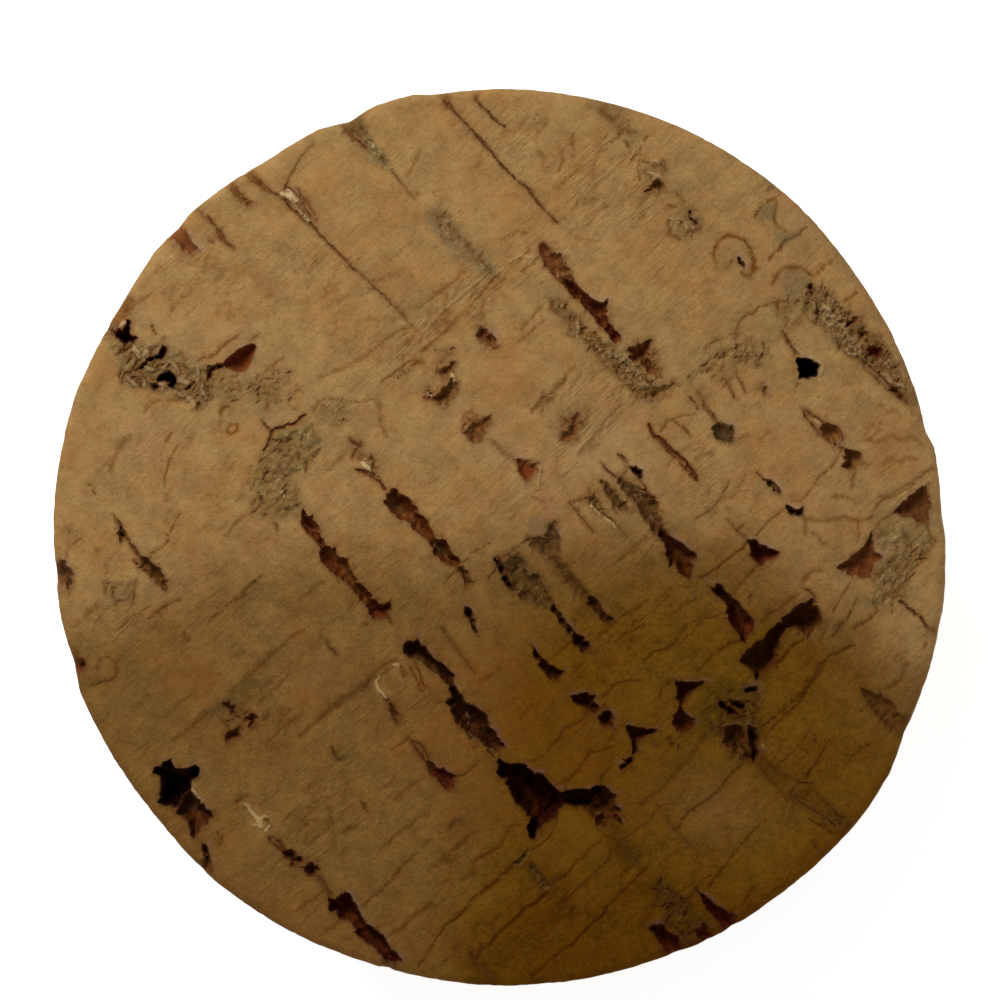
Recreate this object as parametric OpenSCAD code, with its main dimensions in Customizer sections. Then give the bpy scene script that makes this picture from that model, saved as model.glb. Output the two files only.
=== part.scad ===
// Tapered stopper of natural cork bark for a wide-necked jug or bottle.
// It stands on its narrow end, with its wide end up.
// Origin: middle of the narrow end, on the surface that it stands on. +Z is the stopper's axis.
// The bark's growth rings stand upright in the cork and cross the wide end at 40 degrees.
// Its lenticels, the pores that run through the bark from outside to inside, lie square to them.

/* [Body] */
// Diameter of the wide end
face_d = 50.8; // [40:0.1:70]
// Diameter of the narrow end
foot_d = 43; // [32:0.1:60]
// Length from end to end
length = 38; // [20:0.5:60]

/* [Edges] */
// Radius worn onto the edge of the wide end
face_edge_r = 0.6; // [0.2:0.1:1.5]
// Radius worn onto the edge of the narrow end
foot_edge_r = 0.5; // [0.2:0.1:1.5]

/* [Bark] */
// Depth of the deepest holes in the wide end
hole_depth = 3.2; // [1:0.1:6]
// Depth of the lenticels that lie open in the wide end
lenticel_depth = 1.6; // [0.5:0.1:4]
// Depth of the narrow splits
split_depth = 0.9; // [0.3:0.1:2]
// Depth of the chips in the edge of the wide end
chip_depth = 1.2; // [0.3:0.1:3]

/* [Hidden] */
// Positions on the wide end are in steps from its middle, with 452 steps to its edge
step_mm = face_d / 2 / 452;
over = 1;
edge_pieces = 6;

// Open lenticels: [x, y, width] along the middle line of each
LENTICELS = [
    [[-156, 417, 8], [-129, 387, 14], [-101, 355, 12], [-71, 328, 8], [-49, 303, 14], [-29, 281, 15], [-11, 261, 6]],
    [[-258, 365, 4], [-239, 354, 14], [-213, 336, 20], [-189, 317, 14], [-159, 287, 10], [-127, 254, 10], [-99, 224, 9], [-79, 202, 3]],
    [[39, 294, 4], [52, 277, 12], [73, 253, 14], [97, 227, 13], [119, 199, 12], [139, 177, 22], [151, 161, 12]],
    [[-146, 89, 3], [-123, 61, 6], [-105, 36, 16], [-83, 15, 10], [-57, -14, 9], [-29, -45, 4]],
    [[-98, -108, 3], [-77, -116, 8], [-60, -133, 9], [-45, -151, 10], [-28, -173, 16], [-11, -193, 20], [3, -210, 8]],
    [[44, 7, 4], [59, -19, 8], [79, -49, 11], [99, -72, 9], [113, -84, 3]],
    [[361, -151, 8], [375, -164, 14], [390, -179, 14], [404, -192, 6]],
    [[259, -221, 4], [285, -241, 12], [314, -264, 13], [339, -284, 10], [352, -294, 4]],
    [[-226, -301, 4], [-201, -325, 9], [-179, -343, 8], [-163, -363, 10], [-147, -366, 8], [-129, -393, 10], [-105, -417, 12]],
    [[311, 253, 14], [337, 231, 22], [361, 206, 22], [387, 175, 20], [409, 146, 8]]
];

// Narrow splits along the lenticels: [x, y, width]
SPLITS = [
    [[-56, 441, 4], [-31, 411, 5], [-3, 377, 5], [22, 351, 6], [44, 329, 4], [55, 315, 3]],
    [[51, 247, 3], [79, 214, 5], [105, 183, 7], [133, 151, 7], [154, 137, 5]],
    [[-201, 24, 4], [-179, -6, 8], [-156, -35, 9], [-131, -61, 7], [-111, -79, 3]],
    [[-89, -201, 4], [-71, -221, 8], [-47, -245, 3]],
    [[29, -106, 4], [44, -129, 6], [61, -138, 3]],
    [[-383, 19, 3], [-375, -3, 6], [-355, -23, 6], [-333, -49, 3]],
    [[199, -351, 4], [217, -367, 7], [235, -381, 8], [251, -367, 4]],
    [[-329, 309, 8], [-315, 296, 9], [-301, 283, 4]]
];

// Holes that go deep into the bark: outlines
HOLES = [
    [[-348, -231], [-331, -223], [-303, -233], [-311, -246], [-294, -271], [-305, -299], [-318, -273], [-341, -259]],
    [[-4, -221], [24, -226], [39, -236], [57, -253], [79, -248], [99, -251], [112, -271], [119, -284], [99, -281], [82, -269], [64, -267], [54, -281], [34, -299], [26, -286], [14, -256]],
    [[294, 175], [305, 184], [317, 177], [320, 165], [309, 160], [297, 165]],
    [[-363, 171], [-349, 187], [-329, 199], [-309, 193], [-315, 171], [-341, 159]],
    [[241, -123], [251, -105], [271, -93], [289, -74], [311, -61], [321, -76], [313, -93], [291, -102], [275, -119], [259, -138], [247, -135]]
];

// Shallower hollows: outlines
HOLLOWS = [
    [[-389, 217], [-373, 229], [-363, 214], [-367, 194], [-383, 197]],
    [[-279, 177], [-267, 189], [-247, 195], [-245, 185], [-259, 169], [-273, 167]],
    [[149, 19], [167, 1], [191, -6], [195, -23], [185, -41], [169, -35], [159, -9]],
    [[247, -4], [263, -1], [277, -9], [274, -23], [251, -24]],
    [[209, -49], [227, -55], [245, -71], [253, -89], [243, -104], [231, -83], [215, -65]],
    [[337, -29], [357, -13], [374, -1], [377, -21], [375, -39], [355, -35]],
    [[399, 23], [411, 39], [424, 52], [430, 34], [427, 21], [413, 13]],
    [[147, -386], [163, -383], [183, -397], [191, -413], [179, -423], [167, -413], [155, -405]]
];

// Chips in the edge: [direction from the middle, width along the edge, how far in], in degrees and steps
CHIPS = [[136, 26, 8], [147, 22, 7], [195, 18, 9], [108, 14, 5]];

// Angle of the taper from the axis
slope = atan((face_d - foot_d) / 2 / length);
// Points along an arc
function arc(cx, cz, r, from, to) =
    [for (i = [0:edge_pieces]) let (a = from + (to - from) * i / edge_pieces) [cx + r * cos(a), cz + r * sin(a)]];

// Half section of the stopper, from the axis
function section() =
    let (
        rt = face_edge_r, rf = foot_edge_r,
        // the widest point of the rounded edge is half the wide end's diameter
        ct = [face_d / 2 - rt, length - rt],
        // the narrow end's arc meets the taper's line
        cf = [foot_d / 2 - rf, rf]
    )
    concat([[0, 0]], arc(cf[0], cf[1], rf, -90, -slope), arc(ct[0], ct[1], rt, -slope, 90), [[0, length]]);

// Unit vector square to the line at its point i
function across(line, i) =
    let (a = line[max(i - 1, 0)], b = line[min(i + 1, len(line) - 1)], d = [b[0] - a[0], b[1] - a[1]])
    [-d[1], d[0]] / norm(d);

// Outline of a channel from its middle line and its widths, each scaled by grow
function ribbon(line, grow = 1) =
    let (n = len(line) - 1)
    concat(
        [for (i = [0:n]) [line[i][0], line[i][1]] + across(line, i) * line[i][2] / 2 * grow],
        [for (i = [n:-1:0]) [line[i][0], line[i][1]] - across(line, i) * line[i][2] / 2 * grow]
    );

module pit(outline, depth) {
    translate([0, 0, length - depth])
        linear_extrude(depth + over)
            polygon([for (p = outline) p * step_mm]);
}

// A lenticel lies open as a shallow channel with a narrow core that goes deeper, short of both its ends
module lenticel(line) {
    pit(ribbon(line), lenticel_depth * 0.4);
    pit(ribbon([for (i = [1:len(line) - 2]) line[i]], 0.45), lenticel_depth);
}

module chip(c) {
    rotate([0, 0, c[0]])
        translate([face_d / 2 - c[2] * step_mm, 0, length - chip_depth])
            linear_extrude(chip_depth + over)
                polygon([[0, -0.2 * c[1] * step_mm], [0, 0.15 * c[1] * step_mm], [2, 0.5 * c[1] * step_mm + 1], [2, -0.5 * c[1] * step_mm - 1]]);
}

module cork_stopper() {
    color([0.68, 0.52, 0.33])
    difference() {
        rotate_extrude($fn = 180) polygon(section());
        for (l = LENTICELS) lenticel(l);
        for (l = SPLITS) pit(ribbon(l), split_depth);
        for (h = HOLES) pit(h, hole_depth);
        for (h = HOLLOWS) pit(h, hole_depth * 0.5);
        for (c = CHIPS) chip(c);
    }
}

cork_stopper();
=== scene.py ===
import math
import bpy
import numpy as np
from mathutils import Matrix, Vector
from mathutils.geometry import delaunay_2d_cdt


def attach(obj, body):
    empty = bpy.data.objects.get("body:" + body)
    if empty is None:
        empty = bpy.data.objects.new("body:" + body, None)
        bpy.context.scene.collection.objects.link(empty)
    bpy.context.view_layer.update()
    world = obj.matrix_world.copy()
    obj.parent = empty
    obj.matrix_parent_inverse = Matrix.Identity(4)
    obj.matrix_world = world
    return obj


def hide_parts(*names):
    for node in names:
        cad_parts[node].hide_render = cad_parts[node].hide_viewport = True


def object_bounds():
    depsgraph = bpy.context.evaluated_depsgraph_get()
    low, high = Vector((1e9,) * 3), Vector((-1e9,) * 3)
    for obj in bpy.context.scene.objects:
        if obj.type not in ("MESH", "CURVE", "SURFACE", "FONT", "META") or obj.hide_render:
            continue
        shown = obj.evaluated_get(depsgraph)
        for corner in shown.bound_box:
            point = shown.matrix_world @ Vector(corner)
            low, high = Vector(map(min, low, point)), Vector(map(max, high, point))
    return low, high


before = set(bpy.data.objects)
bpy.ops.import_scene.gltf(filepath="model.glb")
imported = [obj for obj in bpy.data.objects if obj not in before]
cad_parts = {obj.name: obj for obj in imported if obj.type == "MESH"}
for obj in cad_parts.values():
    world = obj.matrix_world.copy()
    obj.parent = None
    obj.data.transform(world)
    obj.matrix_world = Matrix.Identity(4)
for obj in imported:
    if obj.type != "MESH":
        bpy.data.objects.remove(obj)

CAD_BOX = [list(v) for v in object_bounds()]

# ---------------------------------------------------------------------------------------------
# Sizes, in millimetres. The wide end is laid out on a plan of "steps": 452 steps are its radius,
# the middle of the face is at (501, 539) and y runs down the plan.
# ---------------------------------------------------------------------------------------------
FACE_R, FOOT_R, LENGTH = 25.4, 21.5, 38.0
EDGE_R, FOOT_EDGE_R = 0.6, 0.5
STEP = FACE_R / 452.0
CX, CY = 501.0, 539.0
RING_ANGLE = math.radians(42.0)      # growth rings run this way across the face
RU = np.array([math.cos(RING_ANGLE), math.sin(RING_ANGLE)])      # along the rings
RS = np.array([math.sin(RING_ANGLE), -math.cos(RING_ANGLE)])     # through the bark, square to them


# ---------------------------------------------------------------------------------------------
# Noise
# ---------------------------------------------------------------------------------------------
def hash01(i, j, k, seed):
    h = (i * 374761393 + j * 668265263 + k * 2147483647 + seed * 1274126177) & 0xFFFFFFFF
    h = ((h ^ (h >> 13)) * 1274126177) & 0xFFFFFFFF
    h = ((h ^ (h >> 16)) * 2246822519) & 0xFFFFFFFF
    return ((h ^ (h >> 15)) & 0xFFFFFF) / float(0xFFFFFF)


def vnoise(x, y, seed, z=None):
    """Smooth value noise, -1 to 1."""
    xi, yi = np.floor(x).astype(np.int64), np.floor(y).astype(np.int64)
    fx, fy = x - xi, y - yi
    fx, fy = fx * fx * (3 - 2 * fx), fy * fy * (3 - 2 * fy)
    if z is None:
        a, b = hash01(xi, yi, 0, seed), hash01(xi + 1, yi, 0, seed)
        c, d = hash01(xi, yi + 1, 0, seed), hash01(xi + 1, yi + 1, 0, seed)
        return ((a + (b - a) * fx) * (1 - fy) + (c + (d - c) * fx) * fy) * 2 - 1
    zi = np.floor(z).astype(np.int64)
    fz = z - zi
    fz = fz * fz * (3 - 2 * fz)
    out = 0.0
    for dz in (0, 1):
        a, b = hash01(xi, yi, zi + dz, seed), hash01(xi + 1, yi, zi + dz, seed)
        c, d = hash01(xi, yi + 1, zi + dz, seed), hash01(xi + 1, yi + 1, zi + dz, seed)
        v = (a + (b - a) * fx) * (1 - fy) + (c + (d - c) * fx) * fy
        out = out + v * (fz if dz else 1 - fz)
    return out * 2 - 1


def fbm(x, y, seed, octaves=3, z=None):
    total, amp, norm, f = 0.0, 1.0, 0.0, 1.0
    for o in range(octaves):
        total = total + amp * vnoise(x * f, y * f, seed + 17 * o, None if z is None else z * f)
        norm += amp
        amp *= 0.5
        f *= 2.03
    return total / norm


def smooth(e0, e1, x):
    t = np.clip((x - e0) / (e1 - e0), 0.0, 1.0)
    return t * t * (3 - 2 * t)


# ---------------------------------------------------------------------------------------------
# What lies open in the wide end, listed on the plan.
# HOLES: (depth in mm, tone, red, roughness of the floor, outline). tone 0 is near black, 1 is mid brown.
# ---------------------------------------------------------------------------------------------
HOLES = [
    # along the upper left edge
    (0.40, 0.14, 0.60, 0.4, [(169, 241), (173, 235), (181, 227), (187, 233), (192, 243), (199, 250), (195, 251), (191, 255), (187, 251), (181, 245), (175, 241)]),
    (0.30, 0.22, 0.40, 0.4, [(227, 187), (234, 185), (240, 192), (247, 200), (258, 204), (251, 204), (250, 208), (244, 203), (237, 198), (231, 191)]),
    (0.30, 0.18, 0.45, 0.4, [(245, 177), (252, 172), (261, 180), (269, 189), (278, 194), (281, 197), (272, 194), (263, 189), (253, 183)]),
    # crumbled hollow at the left edge
    (0.50, 0.30, 0.45, 0.5, [(133, 290), (134, 300), (130, 310), (127, 318), (121, 321), (114, 326), (108, 330), (116, 312), (124, 298)]),
    (0.40, 0.16, 0.05, 1.0, [(339, 125), (346, 124), (353, 121), (358, 113), (361, 118), (361, 128), (366, 135), (362, 141), (354, 138), (347, 132)]),
    (2.20, 0.02, 0.75, 0.6, [(113, 332), (118, 329), (122, 331), (126, 326), (127, 319), (130, 322), (130, 331), (133, 336), (138, 338), (134, 343), (129, 342), (125, 346), (121, 341), (117, 337)]),
    (1.80, 0.03, 0.70, 0.7, [(139, 369), (142, 363), (147, 359), (153, 356), (158, 354), (161, 349), (163, 345), (166, 349), (165, 355), (162, 358), (157, 358), (152, 361), (148, 362), (144, 367)]),
    (2.60, -0.06, 0.35, 0.6, [(157, 378), (160, 375), (165, 373), (169, 371), (174, 374), (177, 379), (176, 384), (173, 389), (168, 388), (169, 383), (165, 381), (158, 381)]),
    (0.80, 0.16, 0.45, 0.8, [(151, 384), (156, 383), (161, 388), (158, 391), (153, 390)]),
    (0.80, 0.22, 0.30, 0.8, [(185, 389), (189, 384), (193, 380), (195, 383), (191, 388), (187, 391)]),
    (0.60, 0.30, 0.20, 0.6, [(197, 402), (200, 402), (199, 410), (196, 408)]),
    (0.90, 0.24, 0.55, 0.6, [(207, 366), (214, 366), (222, 364), (226, 363), (223, 368), (216, 370), (212, 372), (212, 379), (208, 382), (207, 374)]),
    (1.30, 0.14, 1.00, 0.15, [(223, 364), (228, 358), (236, 351), (246, 346), (254, 344), (256, 347), (254, 354), (250, 364), (246, 370), (240, 372), (234, 371), (227, 367)]),
    # top right dots
    (0.80, 0.34, 0.45, 0.4, [(644, 192), (651, 186), (655, 179), (659, 180), (664, 185), (664, 190), (660, 191), (656, 189), (650, 191)]),
    (0.90, 0.10, 0.30, 0.4, [(688, 216), (692, 217), (697, 222), (699, 226), (695, 225), (690, 220)]),
    (0.80, 0.10, 0.30, 0.4, [(689, 211), (693, 211), (692, 215), (689, 214)]),
    (1.10, 0.02, 0.30, 0.3, [(737, 257), (740, 258), (744, 263), (746, 268), (742, 266), (738, 262)]),
    # the big red lenticel
    (0.50, 0.12, 0.60, 1.0, [(539, 245), (543, 243), (550, 249), (557, 255), (563, 262), (569, 268), (572, 276), (573, 283), (568, 289), (560, 281), (553, 275), (549, 268), (545, 262), (541, 253)]),
    (1.70, 0.10, 1.00, 0.45, [(564, 280), (573, 281), (579, 287), (584, 293), (590, 298), (597, 301), (604, 303), (609, 300), (606, 309), (608, 318), (612, 326), (617, 332), (621, 338), (615, 343), (610, 336), (604, 328), (598, 322), (591, 314), (584, 306), (577, 299), (570, 294), (566, 287)]),
    (1.10, 0.20, 0.75, 1.0, [(627, 354), (633, 347), (641, 343), (648, 343), (652, 340), (650, 347), (648, 353), (651, 361), (655, 368), (657, 376), (650, 373), (645, 366), (640, 361), (634, 360), (629, 359)]),
    (0.40, 0.42, 0.35, 1.0, [(643, 394), (652, 390), (660, 388), (665, 385), (671, 386), (675, 379), (676, 385), (670, 392), (662, 393), (655, 398), (647, 399)]),
    # brown pits in the middle
    (0.60, 0.12, 0.65, 0.9, [(476, 331), (481, 327), (487, 330), (492, 334), (496, 341), (491, 345), (485, 342), (479, 338)]),
    (0.50, 0.28, 0.60, 0.9, [(437, 372), (443, 369), (450, 366), (452, 361), (455, 366), (452, 372), (446, 377), (440, 376)]),
    (0.70, 0.24, 0.45, 1.0, [(425, 391), (429, 390), (434, 396), (440, 393), (446, 386), (450, 380), (456, 380), (457, 390), (452, 397), (448, 405), (441, 405), (436, 400), (428, 399)]),
    (0.50, 0.20, 0.55, 1.0, [(467, 429), (472, 425), (478, 424), (484, 417), (490, 417), (487, 426), (481, 433), (479, 441), (474, 443), (468, 438), (465, 432)]),
    (0.40, 0.24, 0.55, 1.0, [(564, 440), (561, 435), (568, 426), (572, 420), (578, 412), (580, 417), (584, 422), (578, 430), (574, 438)]),
    (0.50, 0.12, 0.85, 0.9, [(517, 459), (525, 461), (534, 463), (539, 463), (536, 470), (531, 476), (526, 481), (521, 474), (518, 467)]),
    # right: crumbled band's deep spots and the star-shaped hole
    (0.80, 0.16, 0.45, 0.8, [(809, 283), (813, 284), (812, 291), (815, 296), (811, 295), (808, 289)]),
    (0.50, 0.26, 0.40, 0.8, [(816, 309), (820, 310), (821, 317), (817, 319), (815, 314)]),
    (0.80, 0.16, 0.80, 0.8, [(848, 321), (853, 316), (860, 315), (857, 320), (853, 324), (849, 325)]),
    (0.50, 0.30, 0.55, 0.9, [(857, 328), (862, 330), (868, 332), (866, 337), (860, 337), (857, 333)]),
    (1.10, 0.08, 1.00, 0.8, [(868, 350), (873, 348), (879, 347), (884, 351), (881, 357), (875, 357), (870, 355)]),
    (0.60, 0.16, 0.65, 0.7, [(890, 386), (895, 387), (900, 391), (905, 398), (903, 401), (897, 396), (892, 391)]),
    (3.60, -0.40, 0.00, 0.28, [(796, 361), (798, 357), (801, 359), (804, 357), (807, 359), (811, 360), (814, 363), (817, 363), (820, 366), (817, 369), (818, 373), (816, 377), (811, 376), (808, 379), (804, 377), (799, 378), (800, 373), (798, 370), (799, 366)]),
    (0.50, 0.14, 0.40, 0.8, [(761, 382), (768, 388), (767, 396), (763, 392)]),
    (0.80, 0.22, 0.60, 0.8, [(823, 423), (832, 425), (838, 427), (840, 433), (842, 440), (836, 445), (828, 441), (823, 434), (819, 429)]),
    (0.90, 0.22, 0.60, 0.5, [(845, 448), (852, 450), (860, 452), (862, 460), (856, 465), (850, 470), (843, 467), (846, 458)]),
    (0.80, 0.05, 0.20, 0.4, [(763, 479), (771, 480), (776, 485), (780, 489), (780, 495), (774, 492), (768, 485)]),
    (1.00, 0.00, 0.20, 0.4, [(786, 505), (792, 508), (799, 509), (804, 506), (803, 514), (798, 516), (791, 515), (788, 510)]),
    (1.60, 0.06, 1.00, 0.2, [(747, 540), (755, 540), (762, 545), (772, 549), (779, 552), (774, 558), (766, 561), (763, 566), (757, 562), (750, 555), (751, 549)]),
    (0.50, 0.02, 0.00, 0.5, [(712, 428), (718, 422), (724, 424), (729, 427), (733, 425), (735, 430), (733, 436), (735, 444), (727, 441), (717, 440), (714, 433)]),
    # brown wedges at the right edge
    (0.80, 0.08, 0.45, 0.6, [(893, 513), (899, 507), (907, 500), (915, 493), (922, 487), (927, 485), (928, 494), (931, 503), (928, 512), (929, 520), (923, 524), (917, 521), (910, 517), (901, 514)]),
    (0.70, 0.08, 0.60, 0.5, [(837, 568), (845, 562), (853, 556), (861, 549), (867, 541), (872, 533), (873, 540), (875, 552), (882, 558), (876, 564), (870, 570), (872, 578), (864, 578), (856, 577), (848, 575), (842, 571)]),
    (0.60, 0.24, 0.35, 0.8, [(861, 689), (868, 690), (874, 694), (881, 694), (888, 700), (895, 708), (901, 716), (904, 722), (901, 733), (891, 731), (884, 722), (877, 713), (871, 705), (867, 697)]),
    # centre band, the two long leaf-shaped lenticels
    (1.50, 0.16, 0.85, 0.6, [(386, 500), (387, 494), (392, 490), (396, 489), (398, 495), (405, 497), (411, 501), (416, 506), (416, 512), (421, 516), (426, 520), (430, 528), (434, 534), (438, 540), (444, 539), (449, 546), (452, 553), (457, 558), (460, 563), (456, 567), (450, 566), (445, 563), (439, 560), (435, 555), (434, 548), (429, 541), (423, 536), (416, 531), (411, 524), (408, 521), (401, 520), (396, 515), (391, 512), (388, 506)]),
    (0.60, 0.34, 0.50, 0.6, [(458, 567), (465, 570), (473, 582), (466, 588), (464, 579)]),
    (1.30, 0.15, 1.00, 0.55, [(300, 518), (304, 510), (308, 517), (313, 514), (313, 521), (317, 525), (320, 532), (323, 540), (326, 546), (332, 549), (337, 548), (337, 556), (344, 558), (348, 562), (350, 570), (354, 577), (360, 584), (366, 589), (371, 594), (372, 599), (378, 604), (384, 606), (390, 602), (391, 610), (388, 617), (380, 619), (374, 619), (369, 612), (366, 604), (360, 600), (358, 594), (352, 587), (346, 581), (338, 577), (331, 572), (327, 566), (321, 560), (319, 553), (322, 548), (316, 542), (311, 537), (306, 532), (302, 526)]),
    # first lenticel below the middle line
    (1.70, 0.02, 0.45, 0.6, [(403, 652), (404, 645), (408, 642), (414, 642), (418, 636), (421, 645), (427, 649), (431, 655), (436, 660), (443, 665), (449, 670), (455, 675), (452, 680), (455, 687), (459, 694), (463, 700), (468, 704), (475, 705), (481, 711), (487, 716), (488, 722), (493, 730), (497, 737), (503, 744), (504, 748), (497, 750), (490, 748), (485, 745), (478, 738), (472, 735), (470, 740), (466, 732), (461, 724), (455, 720), (452, 712), (455, 706), (449, 706), (446, 703), (452, 697), (449, 690), (446, 683), (441, 676), (434, 672), (428, 666), (422, 660), (417, 658), (409, 657)]),
    (1.00, 0.04, 0.50, 0.4, [(464, 607), (469, 608), (473, 615), (474, 621), (478, 636), (474, 629), (470, 621), (466, 616)]),
    (0.70, 0.00, 0.80, 0.7, [(427, 762), (434, 763), (440, 768), (448, 772), (457, 776), (453, 782), (451, 789), (446, 790), (439, 782), (433, 776), (429, 769)]),
    (0.40, 0.22, 0.35, 0.8, [(389, 703), (394, 706), (397, 712), (400, 720), (398, 725), (393, 716)]),
    # the big hole in the middle of the lower half
    (3.00, -0.08, 0.50, 0.5, [(497, 762), (497, 773), (500, 776), (505, 778), (508, 786), (512, 794), (515, 801), (521, 806), (527, 812), (529, 820), (528, 830), (532, 840), (535, 838), (537, 830), (541, 826), (548, 822), (556, 818), (559, 810), (565, 804), (572, 805), (580, 806), (588, 808), (596, 800), (602, 792), (602, 786), (596, 787), (588, 790), (578, 789), (566, 791), (560, 793), (553, 786), (545, 777), (537, 773), (527, 768), (523, 764), (515, 763), (507, 764), (500, 760)]),
    (1.60, 0.12, 0.60, 0.8, [(580, 806), (584, 808), (590, 814), (595, 819), (596, 826), (601, 824), (606, 825), (612, 820), (623, 823), (618, 814), (616, 806), (613, 798), (608, 790), (602, 785), (596, 790), (588, 798)]),
    # centre right: grey wedges and holes
    (0.60, 0.14, 0.20, 0.9, [(618, 478), (626, 481), (634, 486), (642, 491), (650, 497), (658, 503), (658, 508), (655, 513), (659, 520), (664, 529), (660, 535), (651, 530), (646, 521), (641, 512), (637, 504), (630, 498), (623, 491), (618, 484)]),
    (1.60, 0.08, 0.70, 0.4, [(660, 528), (668, 535), (676, 540), (683, 544), (688, 549), (696, 554), (696, 558), (690, 562), (694, 567), (691, 575), (690, 581), (684, 576), (677, 569), (670, 567), (668, 558), (667, 550), (665, 543), (658, 536)]),
    (1.20, 0.02, 0.50, 0.3, [(631, 468), (636, 466), (642, 470), (643, 476), (642, 480), (637, 476), (633, 472)]),
    (0.45, 0.16, 0.15, 0.9, [(600, 480), (608, 484), (614, 492), (620, 499), (627, 506), (624, 511), (618, 510), (613, 503), (607, 494)]),
    (0.40, 0.38, 0.10, 0.6, [(586, 499), (594, 494), (599, 501), (603, 509), (600, 514), (594, 507), (589, 504)]),
    (0.40, 0.14, 0.10, 0.9, [(526, 540), (534, 537), (545, 535), (550, 525), (554, 520), (557, 530), (560, 542), (560, 552), (555, 557), (548, 555), (541, 554), (535, 550), (530, 545)]),
    (0.35, 0.26, 0.20, 0.9, [(540, 541), (549, 545), (557, 556), (567, 569), (578, 581), (588, 592), (590, 600), (580, 594), (570, 584), (560, 572), (550, 560), (543, 550)]),
    (0.80, 0.14, 0.45, 0.6, [(586, 597), (593, 596), (600, 604), (607, 616), (614, 619), (611, 624), (604, 621), (597, 612), (589, 606)]),
    (0.45, 0.16, 0.00, 1.0, [(503, 562), (510, 557), (517, 555), (522, 558), (524, 566), (527, 575), (540, 577), (545, 590), (553, 603), (548, 608), (535, 603), (522, 598), (514, 588), (508, 575)]),
    (1.20, 0.02, 0.20, 0.3, [(495, 556), (500, 562), (505, 572), (510, 582), (515, 592), (511, 590), (504, 582), (499, 571), (496, 563)]),
    (1.30, 0.04, 0.50, 0.6, [(550, 605), (556, 609), (562, 617), (569, 626), (576, 634), (583, 638), (590, 644), (587, 650), (581, 651), (575, 646), (572, 637), (564, 629), (558, 619), (552, 611)]),
    (1.30, 0.04, 0.80, 0.3, [(531, 643), (536, 651), (542, 659), (548, 664), (556, 669), (564, 671), (561, 676), (557, 681), (550, 677), (544, 671), (538, 664), (534, 655)]),
    (1.30, 0.02, 0.60, 0.3, [(571, 696), (580, 694), (588, 692), (590, 699), (596, 704), (600, 708), (595, 713), (588, 709), (580, 705), (573, 702)]),
    (1.10, 0.10, 0.60, 0.5, [(598, 716), (604, 712), (611, 711), (615, 719), (611, 727), (604, 726), (597, 722)]),
    (1.30, 0.04, 0.70, 0.3, [(676, 681), (685, 682), (695, 682), (707, 681), (700, 686), (692, 692), (686, 699), (682, 706), (679, 700), (677, 691)]),
    (1.10, 0.08, 0.70, 0.4, [(680, 704), (685, 714), (690, 720), (695, 724), (688, 731), (682, 734), (676, 727), (671, 722), (673, 715), (678, 712)]),
    (1.20, 0.03, 0.70, 0.3, [(626, 725), (636, 727), (645, 729), (657, 730), (648, 735), (640, 740), (637, 745), (637, 752), (633, 757), (633, 748), (632, 741), (629, 733)]),
    (0.90, 0.14, 0.60, 0.4, [(620, 765), (625, 761), (631, 757), (634, 760), (629, 765), (623, 768)]),
    (1.60, 0.06, 0.85, 0.4, [(708, 585), (715, 588), (723, 588), (728, 594), (735, 600), (740, 604), (745, 611), (752, 618), (754, 626), (749, 634), (745, 643), (741, 640), (738, 632), (731, 624), (727, 616), (728, 606), (722, 600), (715, 594)]),
    (2.00, 0.20, 0.65, 0.7, [(742, 655), (748, 650), (754, 645), (762, 640), (766, 634), (772, 629), (778, 624), (785, 616), (793, 609), (801, 603), (809, 601), (815, 599), (818, 606), (820, 614), (823, 621), (818, 627), (812, 632), (806, 633), (801, 631), (796, 627), (790, 628), (785, 632), (781, 638), (779, 646), (777, 656), (776, 664), (772, 668), (768, 672), (762, 676), (757, 679), (753, 674), (747, 666), (743, 660)]),
    # crumbled dark cluster right of the arrow-shaped hole
    (1.20, 0.00, 0.65, 0.6, [(717, 702), (722, 702), (727, 706), (732, 711), (731, 716), (726, 712), (721, 707)]),
    (1.20, 0.00, 0.65, 0.6, [(731, 700), (738, 701), (744, 704), (745, 709), (739, 708), (732, 706)]),
    (1.00, 0.12, 0.55, 0.9, [(726, 728), (735, 725), (742, 727), (744, 735), (743, 745), (748, 752), (753, 758), (750, 762), (743, 760), (736, 752), (728, 747), (724, 738)]),
    (1.20, 0.10, 0.55, 0.5, [(748, 725), (756, 729), (759, 738), (757, 748), (759, 756), (755, 763), (751, 758), (752, 748), (749, 738)]),
    (0.90, 0.12, 0.60, 0.4, [(744, 690), (750, 687), (757, 686), (758, 691), (751, 693), (746, 693)]),
    # left side
    (0.90, 0.10, 0.50, 0.4, [(120, 523), (123, 531), (128, 538), (121, 538), (117, 534), (120, 530)]),
    (0.80, 0.18, 0.45, 0.7, [(139, 556), (144, 558), (150, 560), (153, 565), (160, 569), (164, 575), (166, 580), (171, 582), (167, 587), (163, 591), (159, 583), (154, 579), (150, 571), (145, 567), (137, 568), (142, 563)]),
    (1.10, 0.06, 0.30, 0.5, [(44, 552), (56, 554), (60, 560), (65, 561), (66, 566), (71, 569), (75, 574), (71, 577), (71, 584), (68, 591), (66, 583), (62, 581), (59, 574), (50, 570), (42, 566)]),
    (0.90, 0.18, 0.60, 0.3, [(64, 645), (72, 648), (76, 654), (82, 660), (87, 667), (82, 673), (79, 678), (70, 676), (64, 662)]),
    (0.60, 0.20, 0.70, 0.7, [(223, 703), (229, 699), (235, 705), (237, 711), (233, 715), (229, 710)]),
    (0.60, 0.18, 0.70, 0.6, [(245, 718), (251, 713), (258, 718), (256, 724), (251, 729), (246, 724)]),
    (0.70, 0.16, 0.70, 0.7, [(228, 731), (233, 731), (240, 727), (238, 735), (232, 740), (226, 745), (226, 737)]),
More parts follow.
